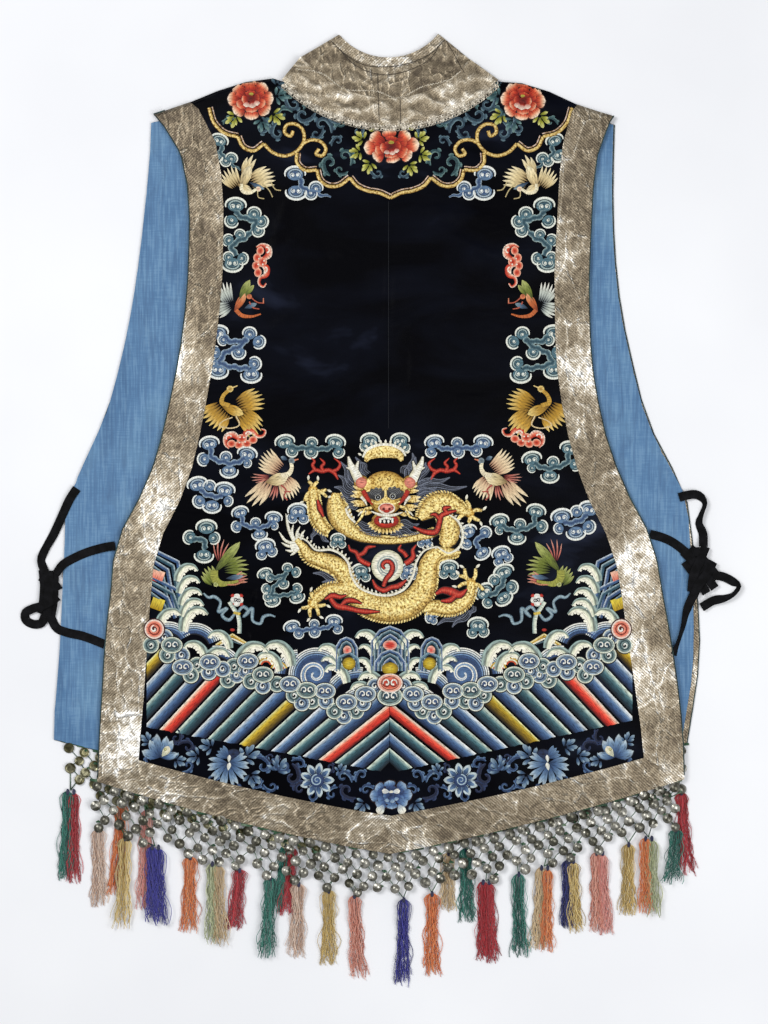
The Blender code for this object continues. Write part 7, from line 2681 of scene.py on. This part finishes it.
# %% Dragon's features
EYES = ((-1, (378, 497.4)), (1, (392.6, 496.4)))
LID = ((371, 501.5), (378, 504), (384.5, 501.5))
RIDGE = ((385.2, 484), (385.6, 494), (386, 503))
BROW_CURLS = ((381, 479.5, 1), (388.5, 479, -1))
CHEEK, FLECK = ((363, 490.5), (367.2, 498), (372.6, 504.8)), ((361, 496.5), (364.8, 500.8), (367, 505.4))
WHISKERS = (
    ((372, 507.8), (366, 508.8), (361.5, 517), (354, 526.5)),
    ((399.6, 506.4), (404.8, 507.6), (409.9, 516.5), (417.6, 519.4)),
)
NOSE_WHITE, NOSE, NOSTRIL_Y, TONGUE_TIP = (386.6, 508.4), (386.6, 507.8), 509, (386.6, 511.2)
MOUSTACHE = ((371, 511.2), (379, 514.6), (387, 515.6), (395, 514.8), (402.6, 512.2))
MOUSTACHE_WING = ((366, 511), (361, 512.6), (358, 516))
LIPS, MOUTH, UPPER_TEETH = (386.3, 520.8), (386.3, 520), ((379.2, 519.6), (386.3, 518), (393.4, 519.4))
LOWER_TEETH = ((380.3, 523.4), (384.4, 523.4), (388.4, 523.4), (392.4, 523.4))
for side, eye in EYES:
    for angle in (54, 76, 98, 120, 142):
        root = spot(eye[0], eye[1] + 3.4)
        facing = angle if side < 0 else 180 - angle
        silk.petal(*root, 17.0, 7.4, facing, ("1d1f25", "3a3b3f", "504d48"), 2.3, 0.3, 0.95)
    for radius in (4.8, 6.8, 8.8, 10.8):
        arched = arc(*spot(*eye), radius, 90 - side * 68, 90 + side * 32)
        silk.ribbon(arched, 0.6, "85888a", 2.75, 0.15, across=2)
    # The small pale dot in each pupil is a painted highlight.
    for radius, tint, level in ((3.6, "c9c8bd", 2.8), (2.8, "0c0c10", 3.0), (1.0, "aab0b4", 3.2)):
        silk.dot(*spot(*eye), radius, (tint,), level, 0.2, around=12, rings=1)
for lid in twins(*LID):
    gold.ribbon(eased(lid, 1.0), 1.8, GOLD_SHADED[1:4], 2.6, 0.3, across=2)
gold.ribbon(eased(spots(*RIDGE), 1.2), (3.4, 2.8, 5.4), GOLD_SHADED[1:5], 2.5, 0.8)
for px, py, way in BROW_CURLS:
    gold.ribbon(curl(*spot(px, py), 3.2, 1.0, 90, way * 0.9, 0.8), 0.7, "6e5524", 2.7, 0.15, across=2)
for cheek, fleck in zip(twins(*CHEEK), twins(*FLECK)):
    silk.ribbon(eased(cheek, 1.0), (5.8, 5.4, 1.6), ("8e1f14", "c23a24", "a52a1a"), 2.5, 0.5)
    silk.ribbon(eased(fleck, 1.0), (3.6, 3.4, 1.0), COMB, 2.3, 0.4)
for whisker in WHISKERS:
    gold.ribbon(eased(spots(*whisker), 1.2), (4.6, 4.4, 3.8, 2.6), SHADOW_EDGE, 2.2, 0.2, across=2)
    gold.ribbon(eased(spots(*whisker), 1.2), (3.4, 3.2, 2.6, 1.4), GOLD_SHADED[1:5], 2.4, 0.5)
silk.dot(*spot(*NOSE_WHITE), 10.2, "f6ead8", 2.7, 0.5, squash=0.66)
silk.dot(*spot(*NOSE), 8.6, ("b8503e", "ef9a86", "f0a390"), 3.0, 0.6, squash=0.6)
for side in (-1, 1):
    silk.dot(*spot(NOSE[0] + side * 2.9, NOSTRIL_Y), 1.7, ("6e1410",), 3.7, 0.2)
silk.dot(*spot(*TONGUE_TIP), 3.8, ("a8281c", "c23a24"), 3.5, 0.2, squash=0.5)
moustache = eased(spots(*MOUSTACHE), 1.1)
silk.ribbon(moustache, (1, 3.4, 3, 3.4, 1), (COMB[1], COMB[2], COMB[0]), 3.3, 0.4, across=3)
for wing in twins(*MOUSTACHE_WING):
    silk.ribbon(eased(wing, 1.0), (3, 2.6, 0.8), COMB, 2.3, 0.4, across=2)
silk.dot(*spot(*LIPS), 15, ("8e1f14", "cc3c26", "d64c34"), 2.0, 0.6, squash=0.58, around=26)
silk.dot(*spot(*MOUTH), 9.8, ("14080a", "1c0c0e"), 2.8, 0.2, squash=0.46)
silk.ribbon(eased(spots(*UPPER_TEETH), 1.0), (2.4, 2.8, 2.4), COMB[1:], 3.0, 0.4, across=3)
for tooth in LOWER_TEETH:
    silk.petal(*spot(*tooth), 4.4, 2.8, 90, ("e8e4d4", "fbf8ec"), 3.0, 0.4, 0.7, across=2)
stitched(fliers, "stitched_birds_and_face", FLOSS_STITCH)
stitched(gold, "couched_gold", GOLD_STITCH)
